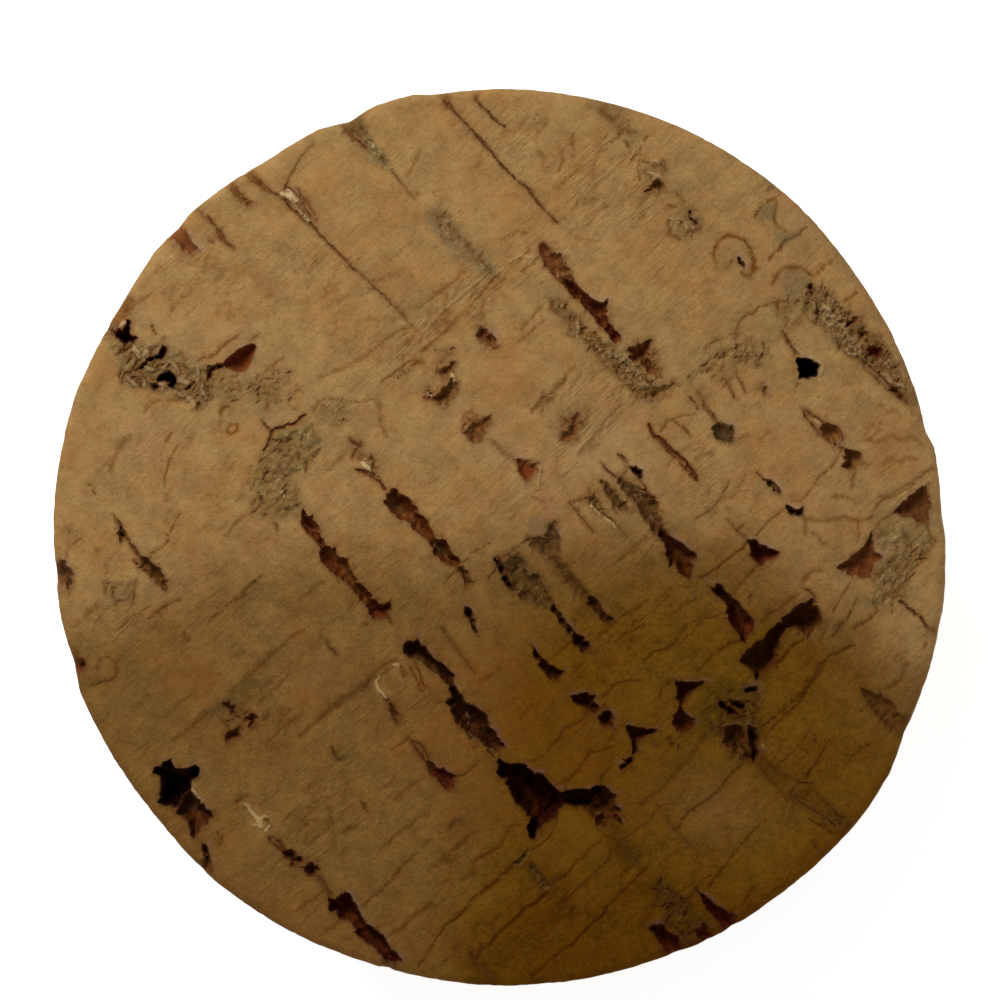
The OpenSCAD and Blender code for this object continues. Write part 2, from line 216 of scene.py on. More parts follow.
    (3.20, -0.13, 0.30, 0.5, [(153, 773), (154, 767), (160, 766), (164, 763), (169, 760), (172, 764), (174, 768), (180, 769), (188, 769), (191, 767), (199, 768), (198, 776), (192, 780), (191, 787), (189, 793), (184, 797), (180, 804), (175, 808), (170, 806), (162, 806), (160, 800), (159, 794), (162, 788), (161, 780), (158, 774)]),
    (2.20, 0.10, 0.60, 0.5, [(182, 792), (189, 790), (195, 795), (200, 800), (205, 807), (207, 812), (213, 816), (208, 818), (205, 822), (200, 827), (196, 833), (194, 840), (191, 834), (189, 828), (190, 820), (187, 817), (182, 816), (178, 810)]),
    (0.80, 0.10, 0.60, 0.3, [(202, 844), (206, 845), (209, 853), (211, 862), (212, 870), (208, 869), (205, 860)]),
    # lower left lenticel
    (0.80, 0.16, 0.60, 0.9, [(285, 853), (291, 850), (298, 856), (306, 859), (300, 864), (293, 867), (287, 860)]),
    (1.00, 0.20, 0.60, 0.6, [(304, 868), (309, 863), (317, 866), (320, 870), (315, 878), (310, 876), (305, 872)]),
    (1.60, -0.05, 0.75, 0.5, [(327, 896), (334, 899), (341, 897), (345, 893), (350, 895), (352, 901), (356, 907), (360, 914), (364, 920), (370, 926), (378, 932), (384, 936), (386, 942), (391, 950), (397, 954), (400, 959), (396, 964), (384, 959), (380, 953), (375, 949), (366, 942), (360, 937), (357, 929), (353, 922), (347, 920), (340, 918), (335, 911), (329, 910), (329, 903)]),
    # bottom boxes and the lower right edge
    (0.30, 0.40, 0.15, 0.4, [(512, 865), (520, 857), (528, 849), (531, 852), (527, 858), (519, 866)]),
    (0.35, 0.36, 0.15, 0.4, [(525, 865), (533, 864), (540, 872), (546, 880), (550, 888), (545, 891), (538, 882), (531, 874)]),
    (1.40, -0.02, 0.85, 0.3, [(649, 927), (655, 925), (661, 924), (664, 926), (666, 932), (672, 934), (678, 937), (681, 942), (683, 948), (670, 950), (664, 948), (660, 943), (655, 936)]),
    (0.80, 0.02, 0.75, 0.8, [(694, 931), (700, 926), (708, 926), (716, 930), (722, 933), (716, 938), (706, 940), (697, 940)]),
    (1.00, -0.02, 0.75, 0.4, [(699, 893), (705, 895), (712, 902), (720, 908), (730, 913), (742, 917), (751, 914), (745, 921), (735, 925), (728, 928), (721, 922), (713, 914), (705, 905)]),
    (0.60, 0.12, 0.70, 0.4, [(746, 910), (749, 904), (751, 901), (753, 906), (752, 910)]),
]

# Cracks: (darkness, depth in mm, [(x, y, width)...])
CRACKS = [
    # upper left
    (0.85, 0.25, [(208, 218, 1.5), (212, 222, 2), (217, 229, 3), (219, 236, 4), (221, 240, 4.5), (228, 244, 3), (234, 248, 4.5)]),
    (0.70, 0.15, [(210, 243, 1.2), (216, 240, 2), (221, 239, 3)]),
    (0.80, 0.15, [(218, 233, 2), (222, 228, 1.2)]),
    (0.75, 0.18, [(284, 189, 2.5), (287, 184, 2.5), (289, 178, 2), (294, 170, 1.8), (299, 160, 1.6), (306, 152, 1.0), (314, 144, 0.8)]),
    (0.90, 0.35, [(306, 218, 3.4), (312, 224, 3.2), (320, 235, 3.0), (326, 241, 3.6), (331, 246, 3.6), (342, 257, 2.4), (348, 263, 2.8), (354, 269, 2.0), (362, 275, 1.8), (371, 283, 2.6), (378, 290, 2.2), (386, 298, 1.4), (394, 306, 1.6), (402, 314, 1.0)]),
    (0.90, 0.30, [(370, 283, 2.8), (374, 280, 2.4)]),
    (0.45, 0.10, [(402, 314, 2), (410, 324, 3), (416, 330, 3), (422, 335, 2)]),
    (0.75, 0.20, [(392, 170, 3), (397, 177, 3.2), (404, 186, 2.0), (411, 195, 2.2), (415, 199, 1.2)]),
    (0.75, 0.20, [(414, 197, 2), (418, 194, 2.4)]),
    (0.90, 0.45, [(434, 94, 4.5), (440, 98, 5), (448, 105, 6.5), (453, 110, 3.2), (462, 120, 1.8), (470, 128, 2.4), (476, 135, 3.6), (480, 139, 4.4), (486, 146, 4.6), (491, 151, 2.8), (500, 163, 2.2), (508, 171, 2.6), (518, 181, 1.8), (526, 187, 3.4), (532, 193, 5.2), (536, 199, 3.6), (540, 205, 4.0), (546, 211, 1.8), (552, 217, 1.8), (559, 224, 2.0)]),
    (0.85, 0.40, [(467, 89, 3.2), (475, 98, 3.4), (482, 106, 3.0), (490, 115, 3.2), (497, 122, 2.8), (505, 127, 1.8)]),
    (0.30, 0.05, [(407, 176, 1.0), (412, 168, 1.4), (416, 160, 1.6), (420, 151, 1.0)]),
    (0.65, 0.12, [(486, 288, 1.6), (490, 283, 2.4), (494, 277, 2.2), (500, 274, 1.4)]),
    (0.45, 0.08, [(466, 313, 1.2), (476, 300, 1.4), (486, 289, 1.6)]),
    (0.40, 0.08, [(511, 264, 1.2), (520, 259, 1.6), (526, 253, 1.8), (530, 250, 1.2)]),
    (0.50, 0.08, [(521, 272, 1.2), (527, 267, 1.6), (534, 264, 1.8), (538, 258, 1.4)]),
    (0.45, 0.06, [(501, 240, 1.0), (510, 236, 1.4), (519, 231, 1.4), (526, 234, 1.2)]),
    (0.50, 0.10, [(366, 357, 1.0), (378, 346, 1.6), (392, 335, 1.6), (405, 329, 1.0)]),
    (0.32, 0.05, [(322, 378, 0.8), (340, 370, 1.2), (356, 362, 1.2), (368, 356, 1.0)]),
    (0.35, 0.05, [(129, 313, 1.2), (136, 305, 1.2), (144, 299, 1.2), (152, 293, 0.8)]),
    (0.90, 0.30, [(152, 326, 2), (154, 331, 3.2), (156, 334, 2)]),
    (0.75, 0.20, [(162, 340, 1.6), (165, 337, 2)]),
    (0.80, 0.20, [(251, 340, 1.8), (254, 337, 2.4), (258, 335, 1.2)]),
    (0.68, 0.12, [(198, 361, 1.6), (203, 357, 2.2), (211, 357, 2.6), (218, 352, 2.8), (225, 345, 2.8), (231, 340, 2.6), (237, 336, 1.2)]),
    (0.85, 0.30, [(214, 366, 2), (219, 367, 2), (225, 365, 3)]),
    (0.55, 0.10, [(263, 375, 1.2), (268, 368, 1.6), (275, 364, 1.4), (284, 358, 1.0)]),
    (0.75, 0.15, [(271, 387, 1.2), (276, 389, 2.2), (281, 391, 1.4)]),
    # left middle
    (0.95, 0.45, [(264, 451, 2.0), (268, 444, 3.0), (271, 436, 3.4), (273, 430, 3.4), (280, 428, 3.2), (286, 425, 2.6), (294, 424, 3.2), (300, 418, 2.6), (305, 415, 1.6)]),
    (0.90, 0.40, [(262, 421, 1.4), (266, 426, 3), (271, 432, 4.2)]),
    (0.90, 0.35, [(273, 440, 3.5), (281, 442, 3.5)]),
    (0.80, 0.25, [(301, 459, 1.4), (308, 463, 2.6), (306, 471, 2.6)]),
    (0.85, 0.25, [(314, 457, 2.6), (320, 450, 2.2)]),
    (0.70, 0.20, [(251, 514, 1.4), (257, 509, 2.6), (264, 503, 1.6)]),
    (0.75, 0.25, [(276, 499, 1.6), (282, 502, 2.4)]),
    (0.68, 0.14, [(226, 432, 2.0), (229, 427, 2.8), (234, 424, 3.0), (238, 427, 2.0), (235, 433, 3.0), (229, 435, 2.6), (226, 432, 2.0)]),
    (0.60, 0.15, [(276, 524, 2.2), (278, 532, 2.6)]),
    (0.60, 0.20, [(89, 485, 1.2), (92, 490, 2.4), (95, 494, 1.6)]),
    (0.70, 0.20, [(67, 528, 2.4), (70, 532, 3.0)]),
    (0.70, 0.20, [(96, 550, 3.0), (98, 552, 3.0)]),
    (0.45, 0.08, [(68, 562, 1.2), (67, 552, 1.4), (73, 544, 1.4), (81, 539, 1.0)]),
    (0.55, 0.15, [(114, 516, 2.0), (117, 521, 3.2), (121, 526, 3.0)]),
    (0.95, 0.40, [(119, 521, 1.6), (122, 529, 4.6), (126, 537, 5.0), (131, 545, 3.2), (137, 553, 3.6), (142, 560, 5.0)]),
    (0.93, 0.25, [(133, 560, 2.0), (140, 566, 3.4), (148, 573, 3.0), (154, 581, 3.0), (162, 588, 2.4)]),
    (0.96, 0.40, [(458, 698, 2.4), (464, 704, 5.0), (471, 713, 8.0), (478, 724, 9.0), (486, 736, 7.4), (493, 747, 4.4)]),
    (0.93, 0.22, [(468, 420, 2.4), (476, 428, 4.0), (480, 438, 3.4)]),
    (0.55, 0.10, [(149, 561, 1.2), (151, 553, 1.4), (160, 549, 1.2), (166, 544, 1.6), (169, 537, 1.2), (174, 526, 0.9), (180, 514, 0.8)]),
    (0.50, 0.06, [(164, 486, 1.0), (165, 477, 1.6), (169, 463, 1.6), (173, 454, 1.4), (178, 446, 0.8)]),
    (0.60, 0.15, [(166, 443, 2.4), (168, 438, 3.2), (171, 434, 1.4)]),
    (0.85, 0.25, [(68, 583, 3.0), (69, 596, 1.6)]),
    (0.80, 0.25, [(112, 583, 1.6), (113, 593, 3.6), (116, 604, 2.4)]),
    (0.50, 0.10, [(106, 565, 1.6), (106, 574, 2.0)]),
    (0.45, 0.10, [(104, 584, 1.4), (106, 594, 1.8)]),
    (0.45, 0.06, [(117, 631, 0.9), (122, 627, 1.4), (130, 620, 1.6), (140, 613, 1.4), (150, 606, 0.9)]),
    (0.60, 0.08, [(149, 619, 1.0), (158, 612, 2.0), (163, 607, 1.8), (172, 602, 1.6), (181, 600, 1.0)]),
    (0.55, 0.08, [(209, 621, 2.2), (217, 614, 1.4), (226, 606, 1.0)]),
    (0.60, 0.12, [(243, 593, 3.0), (247, 587, 2.6), (253, 583, 2.4), (260, 577, 1.2)]),
    (0.50, 0.10, [(231, 602, 1.6), (238, 599, 2.6), (246, 596, 2.4)]),
    (0.40, 0.06, [(98, 667, 1.4), (101, 661, 2.2), (106, 657, 1.4)]),
    (0.48, 0.06, [(101, 659, 1.6), (107, 657, 1.6), (112, 659, 1.8), (116, 665, 2.2), (117, 675, 2.2), (110, 681, 2.0), (100, 682, 1.4)]),
    (0.75, 0.20, [(91, 686, 2.0), (96, 685, 4.4), (101, 683, 3.0)]),
    (0.75, 0.20, [(322, 637, 2.8), (326, 640, 2.2)]),
    (0.90, 0.30, [(327, 642, 1.6), (331, 649, 3.0), (336, 655, 2.4)]),
    (0.75, 0.20, [(218, 717, 1.4), (225, 723, 3.2), (231, 731, 4.2)]),
    (0.65, 0.15, [(235, 713, 2.4), (241, 719, 1.6)]),
    # centre
    (0.62, 0.08, [(382, 381, 1.0), (391, 376, 2.2), (399, 370, 2.4), (406, 364, 2.0), (411, 361, 1.4)]),
    (0.62, 0.08, [(398, 378, 1.2), (405, 373, 2.0), (413, 366, 2.6), (418, 362, 5.0), (424, 363, 4.0)]),
    (0.45, 0.06, [(372, 400, 1.0), (360, 402, 1.6), (350, 401, 1.8), (338, 399, 2.0), (326, 399, 2.2), (319, 402, 2.2), (314, 411, 1.6)]),
    (0.30, 0.04, [(377, 399, 1.0), (380, 412, 1.4), (381, 425, 1.4), (386, 436, 1.0)]),
    (0.92, 0.25, [(349, 438, 2.4), (354, 443, 4.6), (360, 446, 4.4)]),
    (0.92, 0.25, [(361, 442, 2.6), (358, 448, 4.4), (354, 453, 4.0), (352, 458, 2.4)]),
    (0.96, 0.40, [(356, 469, 2.2), (362, 471, 4.2), (369, 474, 6.0), (375, 478, 5.4), (381, 484, 3.0), (386, 490, 3.0)]),
    (0.93, 0.30, [(371, 455, 2.0), (374, 461, 4.6), (373, 468, 6.0), (371, 473, 4.0)]),
    (0.50, 0.08, [(447, 580, 0.9), (455, 571, 1.6), (460, 564, 1.8), (468, 559, 1.0)]),
    (0.50, 0.08, [(473, 553, 0.9), (481, 548, 2.0), (490, 543, 1.0)]),
    (0.60, 0.15, [(387, 616, 1.6), (392, 625, 1.0)]),
    (0.60, 0.15, [(374, 618, 1.8), (367, 624, 1.0)]),
    (0.50, 0.10, [(463, 419, 1.4), (466, 414, 2.6), (471, 412, 2.8), (478, 417, 2.0)]),
    (0.62, 0.10, [(565, 381, 1.6), (557, 389, 2.6), (551, 394, 3.4), (544, 398, 3.0), (538, 405, 2.2), (532, 413, 1.4)]),
    (0.45, 0.05, [(578, 455, 1.0), (588, 444, 1.6), (595, 434, 1.8), (603, 424, 2.0), (612, 414, 1.4), (622, 405, 1.0)]),
    (0.50, 0.05, [(520, 341, 1.0), (526, 336, 1.8), (532, 331, 2.0), (538, 325, 1.6), (544, 321, 0.9)]),
    (0.35, 0.04, [(521, 330, 0.9), (529, 321, 1.6), (536, 313, 1.4), (542, 308, 0.9)]),
    (0.40, 0.08, [(491, 441, 1.4), (496, 445, 2.4), (502, 452, 2.2), (509, 459, 2.2)]),
    (0.50, 0.10, [(533, 497, 1.0), (538, 500, 1.6), (546, 504, 1.4)]),
    (0.60, 0.15, [(546, 509, 1.6), (550, 504, 2.2), (552, 500, 1.2)]),
    (0.85, 0.30, [(574, 319, 2.0), (578, 326, 3.0), (583, 333, 2.8), (592, 340, 2.4)]),
    (0.85, 0.35, [(601, 463, 1.6), (607, 470, 2.8), (614, 476, 3.0), (620, 480, 3.0)]),
    (0.95, 0.50, [(622, 480, 2.4), (632, 485, 3.2), (642, 490, 3.4), (652, 497, 3.4), (658, 503, 3.6)]),
    (0.90, 0.40, [(619, 455, 2.6), (623, 458, 3.8), (627, 462, 2.2)]),
    (0.55, 0.08, [(632, 466, 1.4), (628, 470, 1.6), (623, 476, 1.0)]),
    (0.80, 0.25, [(591, 506, 1.6), (600, 513, 2.0), (610, 518, 2.2), (618, 526, 1.8), (626, 536, 1.2)]),
    (0.75, 0.25, [(569, 503, 2.0), (575, 510, 4.2), (581, 517, 3.4), (587, 525, 3.0), (593, 532, 1.6)]),
    (0.60, 0.12, [(570, 503, 1.4), (580, 501, 2.0), (590, 496, 1.6)]),
    (0.80, 0.25, [(497, 566, 2.4), (494, 573, 2.6), (489, 578, 2.0)]),
    (0.85, 0.30, [(518, 555, 3.0), (521, 563, 4.0)]),
    (0.80, 0.25, [(521, 577, 2.6), (523, 585, 3.6), (522, 594, 2.6)]),
    (0.60, 0.12, [(508, 556, 1.6), (515, 549, 1.4), (524, 543, 1.8), (530, 539, 1.8)]),
    (0.80, 0.25, [(586, 648, 2.4), (590, 654, 2.6)]),
    (0.65, 0.15, [(414, 659, 1.4), (419, 670, 2.2), (422, 680, 2.0), (425, 687, 1.2)]),
    (0.70, 0.18, [(436, 627, 1.2), (444, 629, 3.0), (449, 637, 3.0), (455, 647, 3.2), (462, 657, 3.2), (470, 667, 2.6), (475, 673, 1.6)]),
    (0.75, 0.20, [(438, 702, 1.6), (447, 702, 3.0)]),
    (0.80, 0.14, [(376, 679, 1.2), (381, 674, 2.0), (390, 669, 2.0), (397, 664, 1.4)]),
    (0.65, 0.12, [(384, 699, 1.6), (388, 704, 2.2)]),
    (0.65, 0.15, [(402, 667, 1.6), (404, 672, 2.6), (404, 677, 1.4)]),
    (0.30, 0.05, [(482, 686, 1.0), (478, 692, 1.4), (473, 696, 1.0)]),
    (0.80, 0.25, [(411, 741, 1.6), (418, 744, 4.2), (424, 750, 4.2), (430, 761, 4.0)]),
    (0.50, 0.06, [(412, 733, 1.0), (408, 740, 1.6), (400, 745, 1.4), (393, 749, 0.9)]),
    (0.50, 0.06, [(457, 777, 1.6), (466, 774, 1.8), (474, 767, 1.8), (481, 761, 1.0)]),
    (0.85, 0.30, [(361, 802, 1.6), (364, 806, 2.8), (367, 811, 2.8)]),
    (0.75, 0.20, [(448, 830, 2.4), (452, 826, 3.6), (456, 822, 2.2)]),
    (0.60, 0.15, [(331, 747, 2.2), (335, 754, 2.4), (337, 760, 3.4), (344, 759, 3.4)]),
    (0.95, 0.35, [(487, 751, 1.6), (494, 757, 2.4), (499, 763, 3.4)]),
    (0.85, 0.25, [(600, 787, 3.0), (603, 776, 2.4), (610, 769, 1.4)]),
    # right
    (0.95, 0.45, [(649, 424, 3.0), (652, 431, 6.0), (655, 438, 3.0)]),
    (1.00, 0.55, [(656, 436, 3.0), (664, 442, 5.0), (670, 449, 5.4), (678, 455, 4.6), (685, 461, 3.6), (690, 468, 5.6), (694, 474, 4.4), (698, 481, 2.6)]),
    (0.55, 0.12, [(661, 432, 1.4), (666, 424, 2.0), (671, 420, 2.4), (678, 424, 3.2), (685, 429, 3.0), (691, 437, 2.0)]),
    (0.50, 0.10, [(672, 420, 1.2), (682, 416, 1.2), (694, 414, 0.9)]),
    (0.80, 0.25, [(724, 378, 1.8), (728, 384, 4.2), (731, 389, 3.2), (735, 398, 2.2)]),
    (0.85, 0.30, [(703, 405, 3.0), (708, 410, 4.2), (713, 416, 4.0), (718, 422, 3.2)]),
    (0.80, 0.25, [(690, 397, 3.0), (694, 403, 3.4), (698, 409, 2.2)]),
    (0.90, 0.30, [(783, 329, 1.6), (785, 335, 3.6), (788, 341, 2.6), (792, 347, 3.0), (797, 354, 2.4)]),
    (0.90, 0.30, [(802, 408, 1.6), (806, 410, 3.0), (812, 415, 2.6), (820, 420, 2.6), (828, 424, 3.0)]),
    (0.80, 0.20, [(808, 416, 1.6), (810, 422, 1.8), (816, 430, 2.0), (824, 438, 2.2), (834, 446, 2.2)]),
    (0.80, 0.20, [(860, 464, 2.4), (868, 465, 1.6)]),
    (0.40, 0.06, [(856, 470, 1.4), (853, 478, 1.8), (852, 487, 1.0)]),
    (0.40, 0.06, [(866, 434, 1.4), (868, 427, 2.0), (874, 425, 1.8), (880, 424, 1.0)]),
    (0.40, 0.06, [(866, 441, 1.2), (873, 437, 2.0), (879, 431, 1.2)]),
    (0.90, 0.35, [(757, 472, 1.2), (761, 476, 2.4), (766, 481, 3.2)]),
    (0.75, 0.20, [(726, 519, 1.4), (733, 526, 2.4), (738, 531, 3.0), (743, 536, 2.2), (749, 541, 2.6)]),
    (0.60, 0.12, [(738, 531, 1.6), (743, 525, 1.6)]),
    (0.60, 0.10, [(702, 577, 2.2), (710, 573, 1.6), (718, 568, 2.0), (726, 561, 1.8), (737, 552, 1.8), (748, 543, 2.0)]),
    (0.50, 0.08, [(754, 539, 1.4), (762, 529, 1.8), (769, 521, 1.6), (778, 514, 1.4), (787, 506, 1.4)]),
    (0.45, 0.06, [(697, 518, 1.0), (706, 513, 1.4), (715, 506, 1.4), (723, 495, 1.2), (729, 481, 0.9)]),
    (0.48, 0.06, [(792, 501, 1.2), (800, 501, 2.0), (806, 498, 2.2), (810, 491, 1.8)]),
    (0.48, 0.06, [(808, 494, 1.6), (814, 486, 2.0), (818, 479, 2.0), (826, 472, 2.2), (833, 466, 2.6), (838, 458, 2.4), (842, 450, 2.0)]),
    (0.40, 0.06, [(805, 517, 1.2), (806, 526, 1.4), (805, 534, 0.9)]),
    (0.75, 0.18, [(812, 533, 1.8), (818, 536, 2.2)]),
    (0.75, 0.18, [(820, 539, 1.6), (826, 544, 1.8)]),
    (0.45, 0.06, [(859, 537, 1.0), (858, 527, 1.4), (859, 520, 1.6), (870, 519, 1.2)]),
    (0.75, 0.15, [(871, 520, 1.4), (874, 512, 1.8), (879, 504, 2.0), (886, 497, 2.2), (893, 493, 2.0), (902, 488, 2.0), (912, 482, 2.0), (922, 477, 2.4), (928, 471, 2.4), (940, 464, 2.4)]),
    (0.45, 0.06, [(833, 497, 1.2), (842, 497, 1.8), (853, 499, 1.0)]),
    (0.80, 0.20, [(894, 512, 2.2), (887, 518, 2.8), (880, 522, 2.2), (875, 530, 2.2)]),
    (0.60, 0.10, [(927, 523, 1.8), (930, 534, 2.2), (932, 545, 1.8), (926, 556, 1.6), (917, 566, 1.8), (910, 573, 1.8), (906, 582, 1.6)]),
    (0.55, 0.10, [(932, 543, 1.4), (939, 538, 2.2), (947, 533, 1.8)]),
    (0.50, 0.08, [(833, 612, 1.0), (839, 602, 1.8), (845, 592, 1.6), (850, 583, 1.0)]),
    (0.60, 0.10, [(839, 625, 1.6), (847, 620, 2.0), (851, 611, 1.8), (855, 602, 1.6), (858, 597, 1.0)]),
    (0.40, 0.06, [(802, 585, 1.4), (807, 577, 2.2), (814, 571, 2.0), (822, 571, 1.0)]),
    (0.90, 0.40, [(900, 601, 3.0), (906, 605, 4.0), (912, 610, 3.2), (920, 618, 4.2), (926, 626, 3.4), (934, 633, 4.2)]),
    (0.60, 0.12, [(932, 632, 2.4), (929, 641, 2.6), (924, 648, 1.4)]),
    (0.75, 0.20, [(888, 594, 2.0), (894, 599, 3.2), (902, 597, 2.6), (905, 594, 1.4)]),
    (0.55, 0.12, [(893, 600, 2.2), (892, 613, 1.2)]),
    (0.60, 0.12, [(899, 596, 2.0), (900, 586, 1.6)]),
    (0.85, 0.25, [(855, 628, 3.4), (859, 625, 4.6), (864, 622, 2.2)]),
    (0.60, 0.12, [(864, 624, 1.6), (872, 617, 2.0), (879, 611, 2.0)]),
    (0.60, 0.12, [(877, 610, 2.2), (876, 604, 2.0)]),
    (0.90, 0.30, [(804, 589, 1.4), (809, 591, 3.0), (813, 595, 2.6), (816, 602, 2.0)]),
    (0.85, 0.25, [(801, 628, 2.0), (806, 634, 3.2), (811, 643, 1.4)]),
    (0.60, 0.12, [(777, 668, 3.6), (783, 658, 4.6), (789, 650, 3.6), (797, 643, 2.6), (803, 640, 1.4)]),
    (0.65, 0.12, [(855, 645, 2.0), (843, 650, 2.4), (832, 655, 2.6), (826, 661, 3.2), (819, 671, 3.4), (813, 681, 2.8), (806, 693, 2.2)]),
    (0.50, 0.08, [(803, 697, 1.4), (797, 706, 2.4), (787, 713, 2.4), (779, 722, 2.4), (771, 730, 1.4)]),
    (0.55, 0.08, [(697, 672, 1.2), (706, 663, 2.0), (713, 656, 2.2), (722, 649, 2.2), (732, 642, 2.2), (743, 642, 2.4)]),
    (0.45, 0.06, [(617, 642, 2.4), (624, 634, 2.8), (634, 630, 2.0), (644, 625, 1.4)]),
    (0.45, 0.06, [(645, 660, 1.4), (655, 652, 2.0), (668, 649, 2.2), (677, 641, 2.2), (683, 630, 2.2), (692, 622, 2.0), (702, 618, 2.2), (716, 617, 2.2), (722, 613, 1.4)]),
    (0.55, 0.08, [(746, 578, 1.2), (752, 572, 2.0), (758, 567, 2.0), (763, 563, 1.6)]),
    (0.40, 0.05, [(735, 594, 1.0), (740, 585, 1.6), (748, 577, 1.6)]),
    (0.40, 0.05, [(762, 622, 1.2), (770, 614, 1.8), (780, 609, 1.6), (790, 600, 1.4), (800, 594, 1.0)]),
    (0.50, 0.08, [(750, 598, 2.4), (752, 594, 1.6)]),
    (0.45, 0.06, [(603, 698, 1.2), (610, 690, 2.2), (617, 683, 2.0), (628, 681, 1.6), (640, 681, 1.0)]),
    (0.50, 0.06, [(660, 698, 1.2), (662, 688, 2.2), (669, 682, 2.0), (677, 680, 1.4)]),
    (0.60, 0.08, [(549, 750, 1.6), (557, 741, 2.4), (561, 734, 2.4), (567, 727, 2.6), (577, 724, 2.6), (585, 718, 2.2), (588, 712, 1.4)]),
    (0.60, 0.08, [(558, 785, 1.6), (566, 781, 2.4), (575, 774, 2.4), (583, 765, 2.6), (588, 755, 2.4), (592, 752, 2.4), (602, 751, 2.4), (612, 747, 1.4)]),
    (0.40, 0.05, [(605, 749, 1.2), (611, 740, 2.0), (616, 730, 1.2)]),
    (0.75, 0.20, [(655, 741, 3.0), (656, 747, 2.6)]),
    (0.65, 0.15, [(668, 737, 2.4), (671, 744, 3.2), (678, 747, 2.6)]),
    (0.70, 0.18, [(667, 818, 2.0), (670, 825, 2.8), (676, 831, 2.8), (682, 836, 2.4), (687, 842, 2.4), (693, 848, 1.8)]),
    (0.60, 0.10, [(679, 829, 1.8), (682, 820, 2.4), (688, 814, 2.2), (695, 808, 2.0), (703, 803, 2.2), (710, 798, 2.0), (718, 791, 2.4), (724, 783, 2.0), (733, 772, 2.0), (743, 766, 1.2)]),
    (0.80, 0.20, [(788, 797, 2.0), (793, 791, 2.8), (799, 784, 2.8), (805, 778, 2.0)]),
    (0.55, 0.08, [(806, 777, 1.4), (811, 770, 2.0), (817, 762, 1.8), (824, 751, 1.0)]),
    (0.80, 0.25, [(791, 797, 2.6), (798, 801, 2.8), (806, 806, 2.2), (818, 814, 2.6), (827, 822, 2.0)]),
    (0.80, 0.25, [(817, 794, 1.6), (826, 803, 3.2), (836, 814, 3.6), (844, 822, 3.2), (854, 830, 3.4)]),
    (0.65, 0.15, [(809, 819, 1.6), (818, 824, 2.6), (828, 830, 2.4), (842, 842, 1.8)]),
    (0.80, 0.25, [(812, 841, 1.8), (817, 848, 3.2), (826, 860, 3.4)]),
    (0.95, 0.35, [(696, 888, 2.4), (699, 894, 4.0), (705, 898, 4.4), (709, 904, 3.6), (714, 909, 5.0), (720, 914, 6.0), (725, 921, 6.0), (728, 927, 5.0)]),
    (0.50, 0.06, [(708, 888, 1.8), (716, 878, 2.4), (724, 868, 2.6), (730, 860, 2.2), (738, 849, 2.0), (746, 840, 1.8), (756, 829, 1.6), (766, 820, 1.0)]),
    (0.55, 0.08, [(743, 905, 1.4), (748, 896, 2.4), (754, 887, 1.4)]),
    (0.93, 0.25, [(664, 928, 4.0), (668, 920, 4.4), (673, 914, 4.0), (678, 911, 2.4)]),
    (0.92, 0.20, [(688, 945, 3.6), (688, 936, 3.0), (689, 926, 2.4), (687, 916, 1.6)]),
    (0.92, 0.20, [(680, 911, 2.4), (684, 905, 4.4), (687, 900, 4.0), (691, 896, 2.0)]),
    (0.62, 0.08, [(647, 868, 1.6), (641, 874, 2.6), (634, 881, 2.4), (628, 887, 2.4), (620, 894, 2.6), (613, 901, 2.6), (607, 906, 2.8), (604, 914, 3.2), (596, 921, 2.6), (588, 928, 2.6), (581, 935, 2.8), (575, 942, 2.8), (569, 947, 2.8), (560, 953, 2.6), (551, 960, 2.8), (542, 968, 2.6), (532, 975, 1.8)]),
    (0.66, 0.08, [(440, 934, 1.8), (445, 925, 2.4), (451, 921, 2.4), (457, 918, 2.8), (463, 912, 3.2), (467, 908, 2.8), (472, 900, 2.6), (478, 894, 3.0), (484, 891, 3.4), (493, 885, 3.0), (499, 878, 2.6), (506, 872, 2.8), (512, 867, 2.4)]),
    (0.50, 0.08, [(415, 972, 1.2), (420, 964, 2.0), (427, 955, 2.0), (434, 943, 1.8), (440, 934, 1.8)]),
    (0.62, 0.08, [(488, 947, 2.0), (493, 940, 3.0), (499, 933, 3.2), (505, 927, 3.4), (512, 921, 3.0), (522, 912, 3.2), (527, 907, 5.0), (534, 904, 5.4), (542, 898, 3.6), (549, 890, 3.6), (555, 882, 3.0), (561, 878, 3.2), (567, 875, 2.8), (573, 866, 3.2), (577, 861, 3.6), (582, 859, 2.6), (590, 850, 2.6), (600, 842, 1.8)]),
    (0.40, 0.05, [(384, 941, 1.6), (392, 934, 2.8), (402, 928, 3.0), (411, 918, 2.8), (422, 912, 2.4), (432, 904, 1.4)]),
    (0.45, 0.06, [(363, 906, 2.0), (370, 900, 2.2), (377, 894, 2.0), (385, 886, 2.4), (393, 878, 2.2), (400, 869, 2.2), (407, 862, 2.0), (416, 854, 1.0)]),
    (0.42, 0.06, [(463, 880, 2.0), (470, 875, 2.6), (474, 867, 2.4), (476, 860, 2.4), (485, 855, 2.8), (496, 849, 2.4), (502, 843, 2.8), (506, 838, 3.2), (508, 830, 2.2), (518, 824, 1.4)]),
    (0.62, 0.08, [(533, 850, 1.6), (542, 845, 2.0), (549, 838, 2.0), (553, 830, 2.2), (557, 822, 2.4), (559, 814, 1.6)]),
    (0.75, 0.20, [(236, 803, 2.0), (241, 799, 4.0), (247, 796, 2.6)]),
    (0.75, 0.20, [(264, 818, 2.6), (269, 823, 3.4), (271, 828, 2.0)]),
    (0.65, 0.15, [(272, 838, 2.4), (279, 842, 4.4), (284, 849, 4.2), (288, 855, 3.0)]),
    (0.80, 0.20, [(317, 877, 4.0), (321, 884, 5.0), (327, 891, 4.6), (331, 898, 4.0)]),
    (0.35, 0.05, [(296, 912, 1.0), (306, 904, 1.6), (316, 897, 1.2), (326, 890, 0.9)]),
